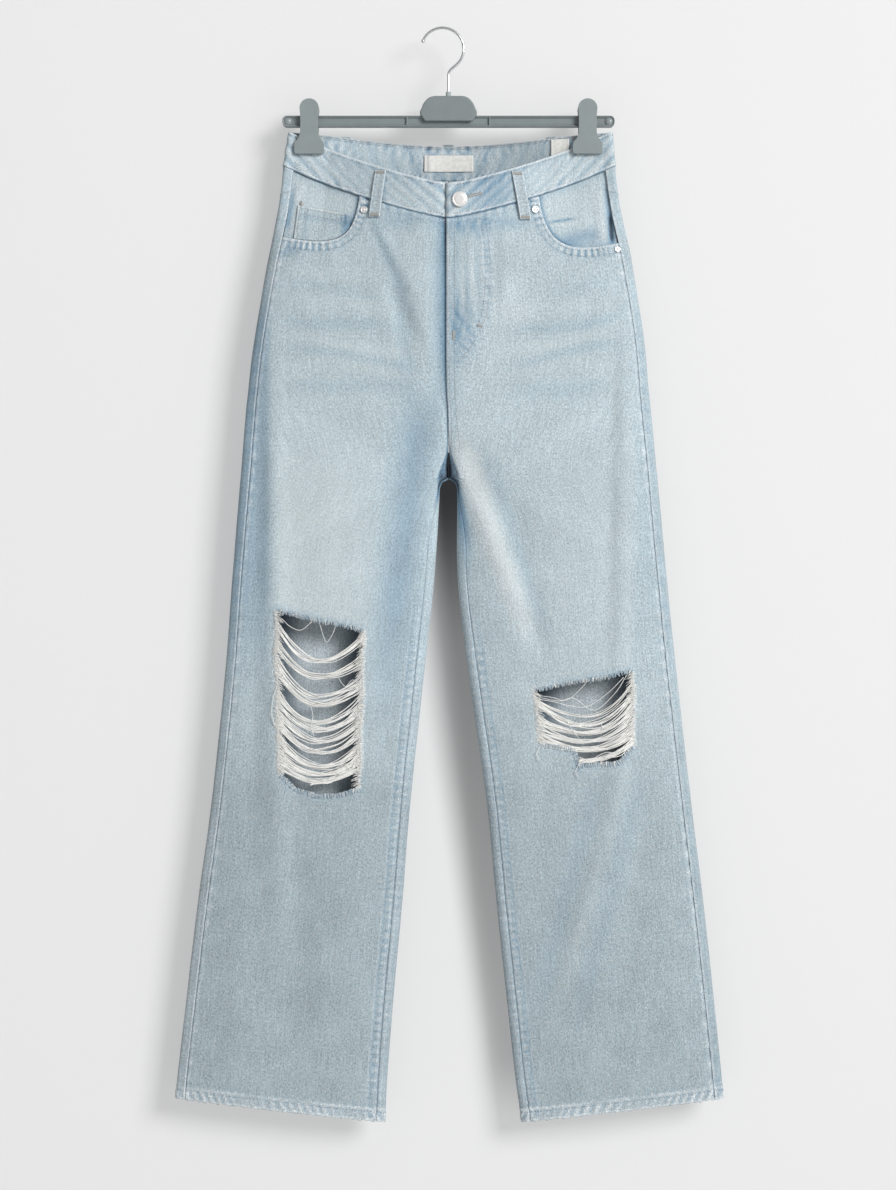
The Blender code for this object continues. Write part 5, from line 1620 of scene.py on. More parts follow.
def label_material():
    material, tree, shader = plain_shader("label_weave", 0.75, 0.25, 0.05)
    cloth_map = node(tree, "ShaderNodeUVMap", uv_map="cloth").outputs[0]
    masks = node(tree, "ShaderNodeAttribute", attribute_name="wash_and_shade")
    fold = node(tree, "ShaderNodeSeparateColor", {0: masks.outputs["Color"]}).outputs[1]
    threads = node(tree, "ShaderNodeTexWave", {"Vector": cloth_map, "Scale": 520.0, "Distortion": 0.6})
    speck = noise(tree, cloth_map, 260.0, 2.0)
    tint = blend_colour(tree, scale_value(tree, speck, 0.35, 0.65, 0.0, 1.0), linear(238, 237, 233),
                        linear(224, 223, 219))
    # The second mask mixes in the grey of the painted shade at the fold.
    tree.links.new(blend_colour(tree, fold, tint, linear(150, 152, 154)), shader.inputs["Base Color"])
    bump_normal(tree, shader, threads.outputs["Fac"], 0.3, 0.1 * MM)
    return material


label_weave = label_material()
labels = {row.name: make_label(row) for row in LABELS}

# %% [markdown]
# Torn cloth leaves its white weft threads hanging across the hole. A bundle of them spreads like a
# fan where it is still woven in, at both edges of the rip, and draws together where it sags. One
# thin tube is made once with bmesh and then laid along every thread as an array.

# %% Threads as arrays


def tube_base(rings, around):
    """One closed thin tube: its mesh with each corner's ring number and angle."""
    bm = bmesh.new()
    bmesh.ops.create_grid(bm, x_segments=rings - 1, y_segments=around, size=0.5)
    for vert in bm.verts:
        angle = (vert.co.y + 0.5) * 2.0 * math.pi
        vert.co = (vert.co.x + 0.5, math.cos(angle), math.sin(angle))
    bmesh.ops.remove_doubles(bm, verts=bm.verts, dist=1e-5)
    bmesh.ops.holes_fill(bm, edges=[edge for edge in bm.edges if edge.is_boundary])
    bmesh.ops.recalc_face_normals(bm, faces=bm.faces)
    mesh = to_mesh(bm, "tube_base")
    flat = read_points(mesh)
    return mesh, np.round(flat[:, 0] * (rings - 1)).astype(int), np.arctan2(flat[:, 2], flat[:, 1])


def array_piece(name, base, stacked, tone, material):
    """Repeats a base mesh: stacked holds the corners of every copy, tone one value for each."""
    count, size = stacked.shape[:2]
    faces = [tuple(v + k * size for v in face.vertices) for k in range(count) for face in base.polygons]
    mesh = bpy.data.meshes.new(name)
    mesh.from_pydata((stacked.reshape(-1, 3) + (GARMENT_X, 0.0, 0.0)).tolist(), [], faces)
    layer = mesh.attributes.new("tone", "FLOAT", "POINT")
    layer.data.foreach_set("value", np.repeat(np.asarray(tone, float), size).astype(np.float32))
    print(name, count, "copies")
    return add_piece(mesh, material)


def lay_tubes(name, paths, radii, tone, material, around=5):
    """Lays one tube along each path; paths is (threads, rings, 3), radii the same without the 3."""
    paths, radii = np.asarray(paths, float), np.asarray(radii, float)
    rings = paths.shape[1]
    base, ring, angle = tube_base(rings, around)
    tangent = unit(np.gradient(paths, axis=1))
    side_way = unit(np.cross(tangent, np.array((0.0, 1.0, 0.0))))
    third = np.cross(tangent, side_way)
    spin = np.cos(angle)[None, :, None] * side_way[:, ring] + np.sin(angle)[None, :, None] * third[:, ring]
    return array_piece(name, base, paths[:, ring] + radii[:, ring, None] * spin, tone, material)


print("tube corners:", len(tube_base(12, 5)[1]))

# %% [markdown]
# Thread is soft and matt. Its colour runs from pale to dark with the tone that each copy carries, and
# fine specks of fibre dull it.

# %% Thread material


def thread_material(name, pale, dark):
    material, tree, shader = plain_shader(name, 0.95, 0.15, 0.1)
    place = node(tree, "ShaderNodeTexCoord").outputs["Object"]
    tone = node(tree, "ShaderNodeAttribute", attribute_name="tone").outputs["Fac"]
    speck = noise(tree, place, 900.0, 2.0, 0.6)
    dull = grey(tree, scale_value(tree, speck, 0.3, 0.7, 0.86, 1.04))
    colour = blend_colour(tree, 1.0, blend_colour(tree, tone, pale, dark), dull, "MULTIPLY")
    tree.links.new(colour, shader.inputs["Base Color"])
    bump_normal(tree, shader, speck, 0.4, 0.15 * MM)
    return material


white_thread = thread_material("torn_thread", linear(247, 245, 240), linear(150, 176, 194))
tan_thread = thread_material("seam_thread", linear(163, 158, 150), linear(96, 92, 88))
bar_thread = thread_material("bartack_thread", linear(186, 184, 178), linear(158, 154, 148))
print("threads:", white_thread.name, tan_thread.name, bar_thread.name)

# %% [markdown]
# Each row of the table is one bundle, with the number of its threads. The fan is wider than the
# bundle's solid, because threads spread over all of the torn edge.

# %% Threads across the rips
Yarn = namedtuple("Yarn", "side outer low inner fan count")
YARNS = [Yarn(row[0], *(value * MM for value in row[1:5]), row[5]) for row in (
    # side, outer, low, inner, fan, count
    (RIGHT, 646, 689, 662, 5.5, 10),
    (RIGHT, 668, 706, 686, 8.0, 11),
    (RIGHT, 686, 728, 708, 7.0, 8),
    (RIGHT, 696, 736, 716, 6.5, 11),
    (RIGHT, 721, 755, 729, 7.0, 8),
    (RIGHT, 731, 763, 739, 7.0, 10),
    (RIGHT, 744, 776, 752, 6.0, 9),
    (RIGHT, 754, 788, 764, 7.0, 10),
    (RIGHT, 773, 804, 782, 9.0, 14),
    (RIGHT, 790, 812, 792, 9.0, 14),
    (RIGHT, 800, 819, 801, 7.0, 11),
    (LEFT, 711, 748, 729, 1.6, 4),
    (LEFT, 724, 759, 732, 3.6, 10),
    (LEFT, 738, 767, 751, 6.5, 13),
    (LEFT, 750, 776, 761, 7.0, 15),
    (LEFT, 763, 785, 771, 7.5, 16),
)]
THREAD_RINGS, WOVEN_IN = 26, 1.2 * MM       # threads run on this far into the cloth


def torn_side(side, drop, outer):
    """Where the rip's outer or inner edge lies at one drop."""
    corners = RIPS[side]
    top, low = (corners[0], corners[-1]) if outer else (corners[1], corners[2])
    share = np.clip((drop / MM - top[1]) / (low[1] - top[1]), -0.02, 1.02)
    return mix(top[0], low[0], share) * MM


def thread_points(side, x, drop, lift):
    a, level = locate(side, x, drop, FRONT)
    points, _ = on_cloth(side, a, level, lift)
    return points


def bundle_paths(yarn, rng):
    """Threads of one bundle as (x, drop, lift) paths with their radii."""
    u = np.linspace(0.0, 1.0, THREAD_RINGS)
    xs, drops, lifts, radii = [], [], [], []
    for k in range(yarn.count):
        place = (k + 0.5) / yarn.count * 2.0 - 1.0 + rng.normal(0.0, 0.06)
        outer, inner = yarn.outer + place * yarn.fan, yarn.inner + place * yarn.fan * 0.95
        low = yarn.low + place * rng.uniform(1.0, 2.6) * MM + rng.normal(0.0, 0.9) * MM
        bottom = rng.uniform(0.44, 0.58)
        warped = np.where(u < bottom, u / bottom * 0.5, 0.5 + (u - bottom) / (1.0 - bottom) * 0.5)
        hang = 1.0 - np.abs(2.0 * warped - 1.0) ** rng.uniform(1.75, 2.3)
        drop = mix(outer, inner, ease(u, 0.0, 1.0)) * (1.0 - hang) + low * hang
        drop = drop + 0.5 * MM * np.sin(u * rng.uniform(9, 22) + rng.uniform(0, 6)) * hang
        x = mix(torn_side(yarn.side, outer, True) + WOVEN_IN,
                torn_side(yarn.side, inner, False) - WOVEN_IN, u)
        lift = -0.7 * MM + hang * (rng.uniform(-1.3, 1.3) * MM + 0.5 * MM * np.sin(u * 13 + k))
        xs.append(x)
        drops.append(drop)
        lifts.append(lift)
        radii.append(rng.uniform(0.40, 0.66) * MM * (0.8 + 0.3 * np.sin(u * 31 + k) ** 2))
    return xs, drops, lifts, radii


LOOSE = {
    # single threads as (x, drop, lift) places in millimetres
    RIGHT: [[(180, 643, 0), (172, 651, 1), (160, 655, 2), (148, 646, 1)],
            [(140, 647, 0), (136, 660, 2), (132, 668, 2), (126, 660, 2), (122, 650, 0)],
            [(186, 716, 1), (189, 726, 2.5), (191, 744, 3), (188, 758, 2)],
            [(120, 706, 1), (112, 716, 2), (104, 709, 1.5), (96, 716, 0)],
            [(150, 735, 0), (147, 748, 1.5), (149, 760, 1), (146, 770, 0)],
            [(120, 806, 0.5), (112, 800, 2), (106, 806, 2), (101, 798, 0.5)]],
    LEFT: [[(97, 726, 0), (112, 728, 1), (128, 731, 1), (144, 718, 1), (152, 708, 0)],
           [(97, 730, 0), (115, 733, 1), (131, 737, 1.5), (150, 738, 1), (172, 724, 1), (190, 706, 0)],
           [(98, 728, 0), (120, 732, 1), (136, 729, 1.5), (158, 742, 1), (180, 724, 1), (193, 704, 0)],
           [(166, 757, 0), (166.5, 762, 1), (166, 768, 0)],
           [(99, 781, 1), (96, 789, 2.5), (98, 796, 3)],
           [(142, 800, 1), (138, 808, 2.5), (141, 814, 3)],
           [(128, 752, 0), (133, 761, 1.5), (141, 772, 1), (146, 779, 0)]],
}


def soft_path(points, rings):
    """A smooth path through given points, evenly divided."""
    points = np.array(points, float)
    knots = np.arange(len(points))
    fine = np.linspace(0, len(points) - 1, rings)
    low = np.clip(fine.astype(int), 0, len(points) - 2)
    t = (fine - low)[:, None]
    slopes = np.gradient(points, knots, axis=0)
    return ((2 * t**3 - 3 * t**2 + 1) * points[low] + (t**3 - 2 * t**2 + t) * slopes[low]
            + (3 * t**2 - 2 * t**3) * points[low + 1] + (t**3 - t**2) * slopes[low + 1])


STRAYS = {
    # bundles that only cross part of the hole: number of threads, their spread, (x, drop) places
    RIGHT: [(6, 2.0, [(100, 806), (112, 813), (128, 819), (140, 821), (150, 822)])],
    LEFT: [(15, 4.2, [(141, 797), (154, 797), (170, 793), (186, 787), (200, 777)]),
           (5, 1.6, [(97, 738), (108, 744), (118, 752), (130, 758), (144, 760)])],
}

rip_threads = {}
for side in (RIGHT, LEFT):
    rng = np.random.default_rng(100 + side)
    xs, drops, lifts, radii = [], [], [], []
    for count, spread_out, points in STRAYS[side]:
        for _ in range(count):
            off = rng.normal(0.0, spread_out / 2, (len(points), 3)) * (0.3, 1.0, 0.2)
            path = soft_path(np.column_stack((points, np.full(len(points), 0.6))) + off, THREAD_RINGS) * MM
            xs.append(path[:, 0])
            drops.append(path[:, 1])
            lifts.append(path[:, 2])
            radii.append(np.full(THREAD_RINGS, rng.uniform(0.34, 0.5) * MM))
    for yarn in YARNS:
        if yarn.side == side:
            for part, made in zip((xs, drops, lifts, radii), bundle_paths(yarn, rng)):
                part.extend(made)
    for points in LOOSE[side]:
        path = soft_path(points, THREAD_RINGS) * MM
        xs.append(path[:, 0])
        drops.append(path[:, 1])
        lifts.append(path[:, 2])
        radii.append(np.full(THREAD_RINGS, 0.34 * MM))
    paths = thread_points(side, np.array(xs), np.array(drops), np.array(lifts))
    tone = rng.uniform(0.0, 0.16, len(xs))
    rip_threads[side] = lay_tubes(f"torn_threads_{SIDE_NAMES[side]}", paths, radii, tone, white_thread)

# %% [markdown]
# The torn edge itself frays into short tufts, some still blue and some white. Along the top they
# stand out over the hole, and along the bottom they fall forward over the cloth.

# %% Frayed edges
TUFT_RINGS = 6


def tufts(side, line, rng, step, reach, blue_share, fall, thick):
    """Short curved fibres along a line of (x, drop) points, pointing to its right-hand side."""
    line = np.asarray(line, float)
    walked = walked_along(line)
    at = np.arange(0.0, walked[-1], step * MM)
    at = at + rng.uniform(-0.4, 0.4, len(at)) * step * MM
    here = places_at(at, walked, line)
    ahead = places_at(at + 2 * MM, walked, line) - here
    x, drop = here.T
    way = unit(np.stack((-ahead[:, 1], ahead[:, 0]), axis=-1) + 1e-9)
    t = np.linspace(0.0, 1.0, TUFT_RINGS)[None, :]
    long = rng.uniform(*reach, len(at))[:, None] * MM
    bend = rng.normal(0.0, 0.7, len(at))[:, None] * MM
    out = (t - 0.38) * long
    path_x = x[:, None] + way[:, :1] * out + bend * t ** 2 * way[:, 1:]
    path_drop = drop[:, None] + way[:, 1:] * out - bend * t ** 2 * way[:, :1] + fall * MM * t ** 2
    lift = (0.25 + rng.uniform(0.0, 0.8, len(at))[:, None] * np.sin(np.pi * t) + 0.2 * t) * MM
    points = thread_points(side, path_x, path_drop, lift)
    radii = rng.uniform(*thick, len(at))[:, None] * MM * (1.0 - 0.45 * t)
    blue = rng.uniform(0.35, 0.85, len(at)) * (rng.uniform(0.0, 1.0, len(at)) < blue_share)
    return points, radii, blue + rng.uniform(0.0, 0.12, len(at))


def edge_of(side, start, end):
    """Part of the torn line between two of the rip's corners, by their numbers."""
    corners = np.array(RIPS[side] + RIPS[side][:1], float) * MM
    line = TORN[side][:-1]
    first, last = (int(np.argmin(lengths(line - corners[k]))) for k in (start, end))
    return line[first:last + 1] if last > first else np.concatenate((line[first:], line[:1]))


frays = {}
for side in (RIGHT, LEFT):
    rng = np.random.default_rng(300 + side)
    count = len(RIPS[side])
    fat, fine = (0.42, 0.68), (0.24, 0.38)
    made = [tufts(side, edge_of(side, 0, 1)[::-1], rng, 1.3, (2.6, 5.0), 0.90, 0.6, fat),
            tufts(side, edge_of(side, 1, 2)[::-1], rng, 0.8, (4.0, 13.0), 0.02, 4.0, fine),
            tufts(side, edge_of(side, 2, count - 1), rng, 1.3, (2.8, 5.5), 0.85, 1.0, fat),
            tufts(side, edge_of(side, count - 1, 0)[::-1], rng, 0.8, (4.0, 13.0), 0.02, 4.0, fine)]
    points, radii, tone = (np.concatenate([part[k] for part in made]) for k in range(3))
    frays[side] = lay_tubes(f"frayed_edge_{SIDE_NAMES[side]}", points, radii, tone, white_thread, around=4)

# %% [markdown]
# Every visible seam is sewn. A stitch is one small smooth bead, made once; it is then laid along
# each row at its own pitch, turned to follow the cloth, with a little unevenness in each one.

# %% Stitches
PITCH, HEM_PITCH = 3.1, 3.4             # in millimetres
SEAM_TONE, HEM_TONE = 0.25, 0.75        # the rows along the hems are sewn in a darker thread
ON_TOP = 0.05 * MM


def bead_base():
    """One stitch: a low-sided ball, drawn out along X."""
    bm = bmesh.new()
    bmesh.ops.create_uvsphere(bm, u_segments=5, v_segments=4, radius=0.5)
    bmesh.ops.rotate(bm, cent=(0, 0, 0), verts=bm.verts,
                     matrix=Matrix.Rotation(math.radians(90), 3, "Y"))
    return to_mesh(bm, "bead_base")


BEAD = bead_base()
BEAD_POINTS = read_points(BEAD)


def rows_of_stitches(name, rows, seed, length=2.3, width=0.62, material=tan_thread):
    """rows are (points, normals, pitch in mm); beads lie along each."""
    rng = np.random.default_rng(seed)
    places, ways, ups, tones = [], [], [], []
    for points, normals, pitch in rows:
        walked = walked_along(points)
        at = np.arange(pitch / 2 * MM, walked[-1], pitch * MM)
        if len(at) == 0:
            continue
        places.append(places_at(at, walked, points))
        tones.append(np.full(len(at), HEM_TONE if pitch == HEM_PITCH else SEAM_TONE))
        ways.append(unit(places_at(at + 0.8 * MM, walked, points)
                         - places_at(at - 0.8 * MM, walked, points)))
        ups.append(unit(places_at(at, walked, normals)))
    place, way, up = (np.concatenate(part) for part in (places, ways, ups))
    across = unit(np.cross(up, way))
    way = unit(way + across * rng.normal(0.0, 0.07, len(place))[:, None])
    across = unit(np.cross(up, way))
    size = np.stack((length * rng.uniform(0.9, 1.08, len(place)), width * rng.uniform(0.9, 1.1, len(place)),
                     np.full(len(place), 0.5)), axis=-1) * MM
    local = BEAD_POINTS[None] * size[:, None, :]
    stacked = (place[:, None] + local[..., :1] * way[:, None] + local[..., 1:2] * across[:, None]
               + local[..., 2:] * up[:, None])
    tone = np.concatenate(tones) + rng.uniform(0.0, 0.25, len(place))
    return array_piece(name, BEAD, stacked, tone, material)


def front_line(side, x, drop, lift=ON_TOP):
    """A line on a front panel from (x, drop) places in metres: its points and normals."""
    a, level = locate(side, np.asarray(x), np.asarray(drop), FRONT)
    return place_on_layer(side, a, level, front_relief, lift)[:2]


def panel_row(side, level, a, relief, pitch=PITCH):
    """A row of stitches along places on a panel."""
    return (*place_on_layer(side, a, level, relief, ON_TOP)[:2], pitch)


def beside(line, shift):
    """A line moved to its right-hand side, seen down the cloth."""
    line = np.asarray(line, float)
    ahead = unit(np.gradient(line, axis=0))
    return line + np.stack((-ahead[:, 1], ahead[:, 0]), axis=-1) * shift


def side_line(side, x):
    """Drop of the waist seam at each x, where the panel's rows of stitches must stop."""
    seam = outer_face(side, np.linspace(0.0, 0.45, 120), WAIST)
    return np.interp(x, seam[:, 0] * side, -seam[:, 2])


def hem_row(side, across, relief, count):
    level = np.full(count, HEM - HEM_DEPTH + 0.9 * MM)
    return panel_row(side, level, across(side, level, np.linspace(0.01, 0.99, count)), relief, HEM_PITCH)


def front_stitches(side):
    rows = []
    for shift in (3.0, 9.3):
        path = beside(SCOOPS[side], shift * MM)
        path = path[path[:, 1] > side_line(side, path[:, 0]) + 2.0 * MM]
        rows.append((*front_line(side, *path.T), PITCH))
    rows.append(hem_row(side, front_round, front_relief, 160))
    if side == LEFT:
        level = np.linspace(WAIST + 4 * MM, 0.462, 200)
        start = front_round(side, level, 0.0)
        for inset in (3.2, 8.8):
            a = start + inset * MM / run_per_turn(side, start + 0.01, level)
            rows.append(panel_row(side, level, a, front_relief))
        for shift in (-2.6, 2.6):
            path = beside(J_STITCH, shift * MM)
            fine = soft_path(np.column_stack((path, np.zeros(len(path)))), 90)
            rows.append((*front_line(side, fine[:, 0], fine[:, 1]), PITCH))
    return rows


def back_stitches(side):
    rows = []
    u = np.linspace(TURN + 0.01, 0.995, 120)
    for shift in (2.6, 8.6):
        level = yoke_level(u) + shift * MM
        rows.append(panel_row(side, level, back_round(side, level, u), back_relief))
    level = np.linspace(yoke_level(1.0) + 4 * MM, CROTCH - 12 * MM, 150)
    for inset in (2.8, 8.8) if side == LEFT else ():
        a = 1.0 - inset * MM / run_per_turn(side, 0.99, level)
        rows.append(panel_row(side, level, a, back_relief))
    rows.append(hem_row(side, back_round, back_relief, 180))
    return rows


def band_stitches():
    rows = []
    sides, places = band_places()
    for from_top, outer, pitch in ((3.2, True, 3.2), (34.4, True, 3.2),
                                   (1.6, False, 1.9), (3.4, False, 2.4)):
        lift = BAND_OUT + ON_TOP if outer else -BAND_IN - ON_TOP
        for side in (LEFT, RIGHT):
            a = np.sort(places[(sides == side) & (places > 0.004)])
            level = np.full(len(a), BAND_TOP + from_top * MM)
            rise = band_relief(level, np.full(len(a), lift), outer_face(side, a, level)[:, 0])[0]
            points, normals = on_cloth(side, a, level, lift + rise)
            rows.append((points, normals if outer else -normals, pitch))
    return rows


def pocket_stitches(side):
    """Two rows down one side, along the foot and up the other, and one row under the hem."""
    paths = []
    for inset in (2.5 * MM, 8.5 * MM):
        left, low = inset / POCKET_ACROSS, 1.0 - inset / POCKET_DOWN
        corners = [(left, 0.02), (left, low), (0.5, low), (1.0 - left, low), (1.0 - left, 0.02)]
        paths.append(np.concatenate([np.linspace(p, q, 60) for p, q in zip(corners[:-1], corners[1:])]))
    paths.append(np.linspace((0.01, 0.12), (0.99, 0.12), 80))
    rows = []
    for u, v in (path.T for path in paths):
        a, level = locate(side, *pocket_place(u, v), BACK)
        points, normals = on_cloth(side, a, level, pocket_lift(u, v)[0] + PATCH_GAP + CLOTH + ON_TOP)
        rows.append((points, normals, PITCH))
    return rows


def coin_stitches():
    rows = []
    for start, end in (((0.03, 0.05), (0.93, 0.05)), ((0.03, 0.19), (0.90, 0.19)),
                       ((0.042, 0.03), (0.042, 0.60)), ((0.148, 0.03), (0.148, 0.70))):
        u, v = np.linspace(start, end, 50).T
        x, drop = coin_place(u, v)
        inside = inside_outline(x, drop, pocket_hole(RIGHT) + (1.5 * MM, -1.5 * MM))
        a, level = locate(RIGHT, x[inside], drop[inside], FRONT)
        points, normals = on_cloth(RIGHT, a, level, coin_lift(u[inside], v[inside])[0] - 0.10 * MM)
        rows.append((points, normals, 2.9))
    return rows


stitches = {}
for side, name in SIDE_NAMES.items():
    stitches[FRONT, side] = rows_of_stitches(f"stitches_front_{name}", front_stitches(side), 11 + side)
    stitches[BACK, side] = rows_of_stitches(f"stitches_back_{name}", back_stitches(side), 21 + side)
    stitches["pocket", side] = rows_of_stitches(f"stitches_pocket_{name}", pocket_stitches(side), 31 + side)
stitches["band"] = rows_of_stitches("stitches_waistband", band_stitches(), 41)
stitches["coin"] = rows_of_stitches("stitches_coin_pocket", coin_stitches(), 51)
print("stitched pieces:", len(stitches))

# %% [markdown]
# Where a seam takes strain it is locked with a bartack, a short dense bar of thread: at both ends of
# each belt loop, at the foot of the fly and at the pocket corners. The buttonhole is a slit with
# the same dense thread round it.

# %% Bartacks and buttonhole


def bar_row(centre, way, up, long, wide, count):
    """A dense bar: count stitches across it, along way."""
    across = np.cross(up, way)
    spots = np.linspace(-long / 2, long / 2, count)
    return [(centre + way * s + across * np.array([[-wide / 2], [wide / 2]]), np.array([up, up]), wide / MM)
            for s in spots]


def loop_bars():
    rows = []
    for loop, _ in loops:
        for u in (0.045, 0.955):
            points, normals = loop_skin(loop, np.array([u, u]), np.array([-0.2, 0.2]) * MM,
                                        np.full(2, LOOP_THICK + 0.1 * MM))
            rows += bar_row(points.mean(axis=0), unit(points[1] - points[0]), normals[0],
                            9.2 * MM, 2.6 * MM, 15)
    return rows


def panel_bars():
    rows = []
    for side, x, drop, turn, long in ((LEFT, 5.5, 336, 90, 9.0), (LEFT, 35, 326, 20, 7.0),
                                      (RIGHT, 160, 191, 84, 5.0)):
        sunk = 0.1 if side == RIGHT else 0.0
        tip = np.array((math.cos(math.radians(turn)), math.sin(math.radians(turn)))) * 0.5
        places = np.array([(x, drop) - tip, (x, drop) + tip]) * MM
        points, normals = front_line(side, places[:, 0], places[:, 1], (0.25 - sunk) * MM)
        rows += bar_row(points.mean(axis=0), unit(points[1] - points[0]), normals[0], long * MM, 2.2 * MM,
                        int(long * 1.8))
    return rows


HOLE_FROM, HOLE_TO = (20.5, 186.0), (35.0, 182.6)       # (x, drop) of the slit's ends


def buttonhole_rows():
    """Stitches square to the slit along both its sides and round its end."""
    start, end = np.array(HOLE_FROM) * MM, np.array(HOLE_TO) * MM
    long = np.hypot(*(end - start))
    way = (end - start) / long
    off = np.array((-way[1], way[0]))
    spots = [(start + way * s, off * turned)
             for turned in (-1, 1) for s in np.arange(0.0, long, 0.75 * MM)]
    spots += [(end, way * math.cos(t) + off * math.sin(t)) for t in np.linspace(-1.4, 1.4, 7)]
    rows = []
    for centre, out in spots:
        places = np.array([centre + out * 0.25 * MM, centre + out * 1.75 * MM])
        a, level = locate(LEFT, places[:, 0], places[:, 1], FRONT)
        points, normals, _, _ = band_skin(LEFT, a, level, np.full(2, BAND_OUT + 0.1 * MM))
        rows.append((points, normals, 1.5))
    return rows


bars = rows_of_stitches("bartacks", loop_bars() + panel_bars(), 61, 3.2, 0.8, bar_thread)
buttonhole = rows_of_stitches("buttonhole_thread", buttonhole_rows(), 71, 1.6, 0.8, bar_thread)

# %% [markdown]
# The button and the rivets are turned parts, so each is one profile spun about its axis. The button
# has a low flat face with a fine groove near its rim; nothing is written on it.

# %% Button and rivets
BUTTON_X, BUTTON_DROP = 12.0 * MM, 189.0 * MM


def spun(profile, steps):
    """A turned form from (radius, height) pairs, as a bmesh."""
    bm = bmesh.new()
    verts = [bm.verts.new((radius, 0.0, height)) for radius, height in profile]
    edges = [bm.edges.new(pair) for pair in zip(verts[:-1], verts[1:])]
    bmesh.ops.spin(bm, geom=verts + edges, cent=(0, 0, 0), axis=(0, 0, 1), angle=2.0 * math.pi,
                   steps=steps, use_merge=True)
    bmesh.ops.remove_doubles(bm, verts=bm.verts, dist=1e-6)
    bmesh.ops.holes_fill(bm, edges=[edge for edge in bm.edges if edge.is_boundary])
    return bm


def solid_piece(name, bm, material):
    """Ends the bmesh of a closed piece, with its faces turned outwards."""
    bmesh.ops.recalc_face_normals(bm, faces=bm.faces)
    return add_piece(to_mesh(bm, name), material)


def turned_part(name, profile, side, x, drop, lift, steps=40):
    """Spins (radius, height) pairs in millimetres and sets the part on the cloth."""
    a, level = locate(side, np.array([x]), np.array([drop]), FRONT)
    base, normal = on_cloth(side, a, level, lift)
    bm = spun([(radius * MM, height * MM) for radius, height in profile], steps)
    turn = Vector((0.0, 0.0, 1.0)).rotation_difference(Vector(normal[0])).to_matrix().to_4x4()
    place = Matrix.Translation(Vector(base[0]) + Vector((GARMENT_X, 0.0, 0.0))) @ turn
    bmesh.ops.transform(bm, matrix=place, verts=bm.verts)
    return solid_piece(name, bm, bright_steel)


def steel_material(name, colour, roughness, metal=1.0):
    material, tree, shader = plain_shader(name, roughness, 0.5)
    shader.inputs["Metallic"].default_value = metal
    place = node(tree, "ShaderNodeTexCoord").outputs["Object"]
    haze = noise(tree, place, 420.0, 3.0, 0.6)
    worn = blend_colour(tree, scale_value(tree, haze, 0.35, 0.7, 0.0, 1.0), colour, dimmed(colour, 0.86))
    rough = scale_value(tree, haze, 0.3, 0.7, roughness - 0.06, roughness + 0.08)
    tree.links.new(worn, shader.inputs["Base Color"])
    tree.links.new(rough, shader.inputs["Roughness"])
    bump_normal(tree, shader, haze, 0.08, 0.1 * MM)
    return material


BUTTON_PROFILE = [(0.0, 2.80), (4.0, 2.79), (5.8, 2.76), (6.1, 2.66), (6.5, 2.66), (6.8, 2.76),
                  (7.5, 2.78), (8.0, 2.55), (8.4, 2.0), (8.5, 1.5), (8.2, 0.6), (7.4, 0.2), (0.0, 0.2)]
RIVET_PROFILE = [(0.0, 1.75), (0.7, 1.7), (1.1, 1.25), (1.4, 0.85), (1.9, 0.8), (2.5, 1.15), (3.1, 1.45),
                 (3.7, 1.3), (4.0, 0.8), (3.9, 0.2), (0.0, 0.2)]
RIVET_RADIUS = 4.0 * MM
Rivet = namedtuple("Rivet", "name side x drop radius")
RIVETS = [Rivet(row[0], row[1], *(value * MM for value in row[2:])) for row in (
    # name, side, x, drop, radius
    ("rivet_inner_right", RIGHT, 91.5, 199.0, 4.0),
    ("rivet_inner_left", LEFT, 94.0, 198.5, 4.0),
    ("rivet_side_left", LEFT, 183.5, 241.5, 3.2),
)]
bright_steel = steel_material("bright_steel", linear(240, 239, 237), 0.36, 0.55)
button = turned_part("waist_button", BUTTON_PROFILE, LEFT, BUTTON_X, BUTTON_DROP, BAND_OUT + LAY_GAP)
metal_parts = {"button": button}
for rivet in RIVETS:
    profile = [(radius * rivet.radius / RIVET_RADIUS, height) for radius, height in RIVET_PROFILE]
    metal_parts[rivet.name] = turned_part("turned_" + rivet.name, profile, rivet.side, rivet.x, rivet.drop,
                                          LAY_GAP, 28)

# %% [markdown]
# The zip lies behind the fly, where only its tape would show from inside. It is a woven tape with a
# row of small teeth down its middle, and it stays closed.

# %% Zip
ZIP_WIDTH, ZIP_X, ZIP_TOP = 26.0 * MM, 4.0 * MM, 210.0 * MM


def zip_points(x, drop, lift):
    a, level = locate(LEFT, x, drop, FRONT)
    return on_cloth(LEFT, a, level, -CLOTH - FLY_RECESS - LAY_GAP - 0.4 * MM - lift)


def zip_tape():
    section = rounded_section(-ZIP_WIDTH / 2, ZIP_WIDTH / 2, 0.0, 0.9 * MM, 0.3 * MM, 10)

    def place(u, across, lift):
        points, _ = zip_points(across + ZIP_X, mix(ZIP_TOP, FLY_END - 8 * MM, u), lift)
        none = np.zeros(len(u))
        return points, (none, none + 0.25, none, none)

    return form_section("woven_zip_tape", denim_material("zip_tape_weave", 0.6, 0.3), 60, section, place)


zip_piece = zip_tape()
drops = np.arange(214.0, 334.0, 2.0) * MM
middle, normals = zip_points(np.full(len(drops), ZIP_X), drops, 1.2 * MM)
teeth = rows_of_stitches("zip_teeth", [(middle, -normals, 2.0)], 81, 1.2, 5.0, bright_steel)

# %% [markdown]
# The hanger is one moulded bar with a cloud-shaped block in the middle, a bent steel hook and two
# spring clips. The bar is a box whose ends are rounded and whose faces are sunk between rims. Two thin
# ribs cross it, and a glossy round tip fills each of its ends.

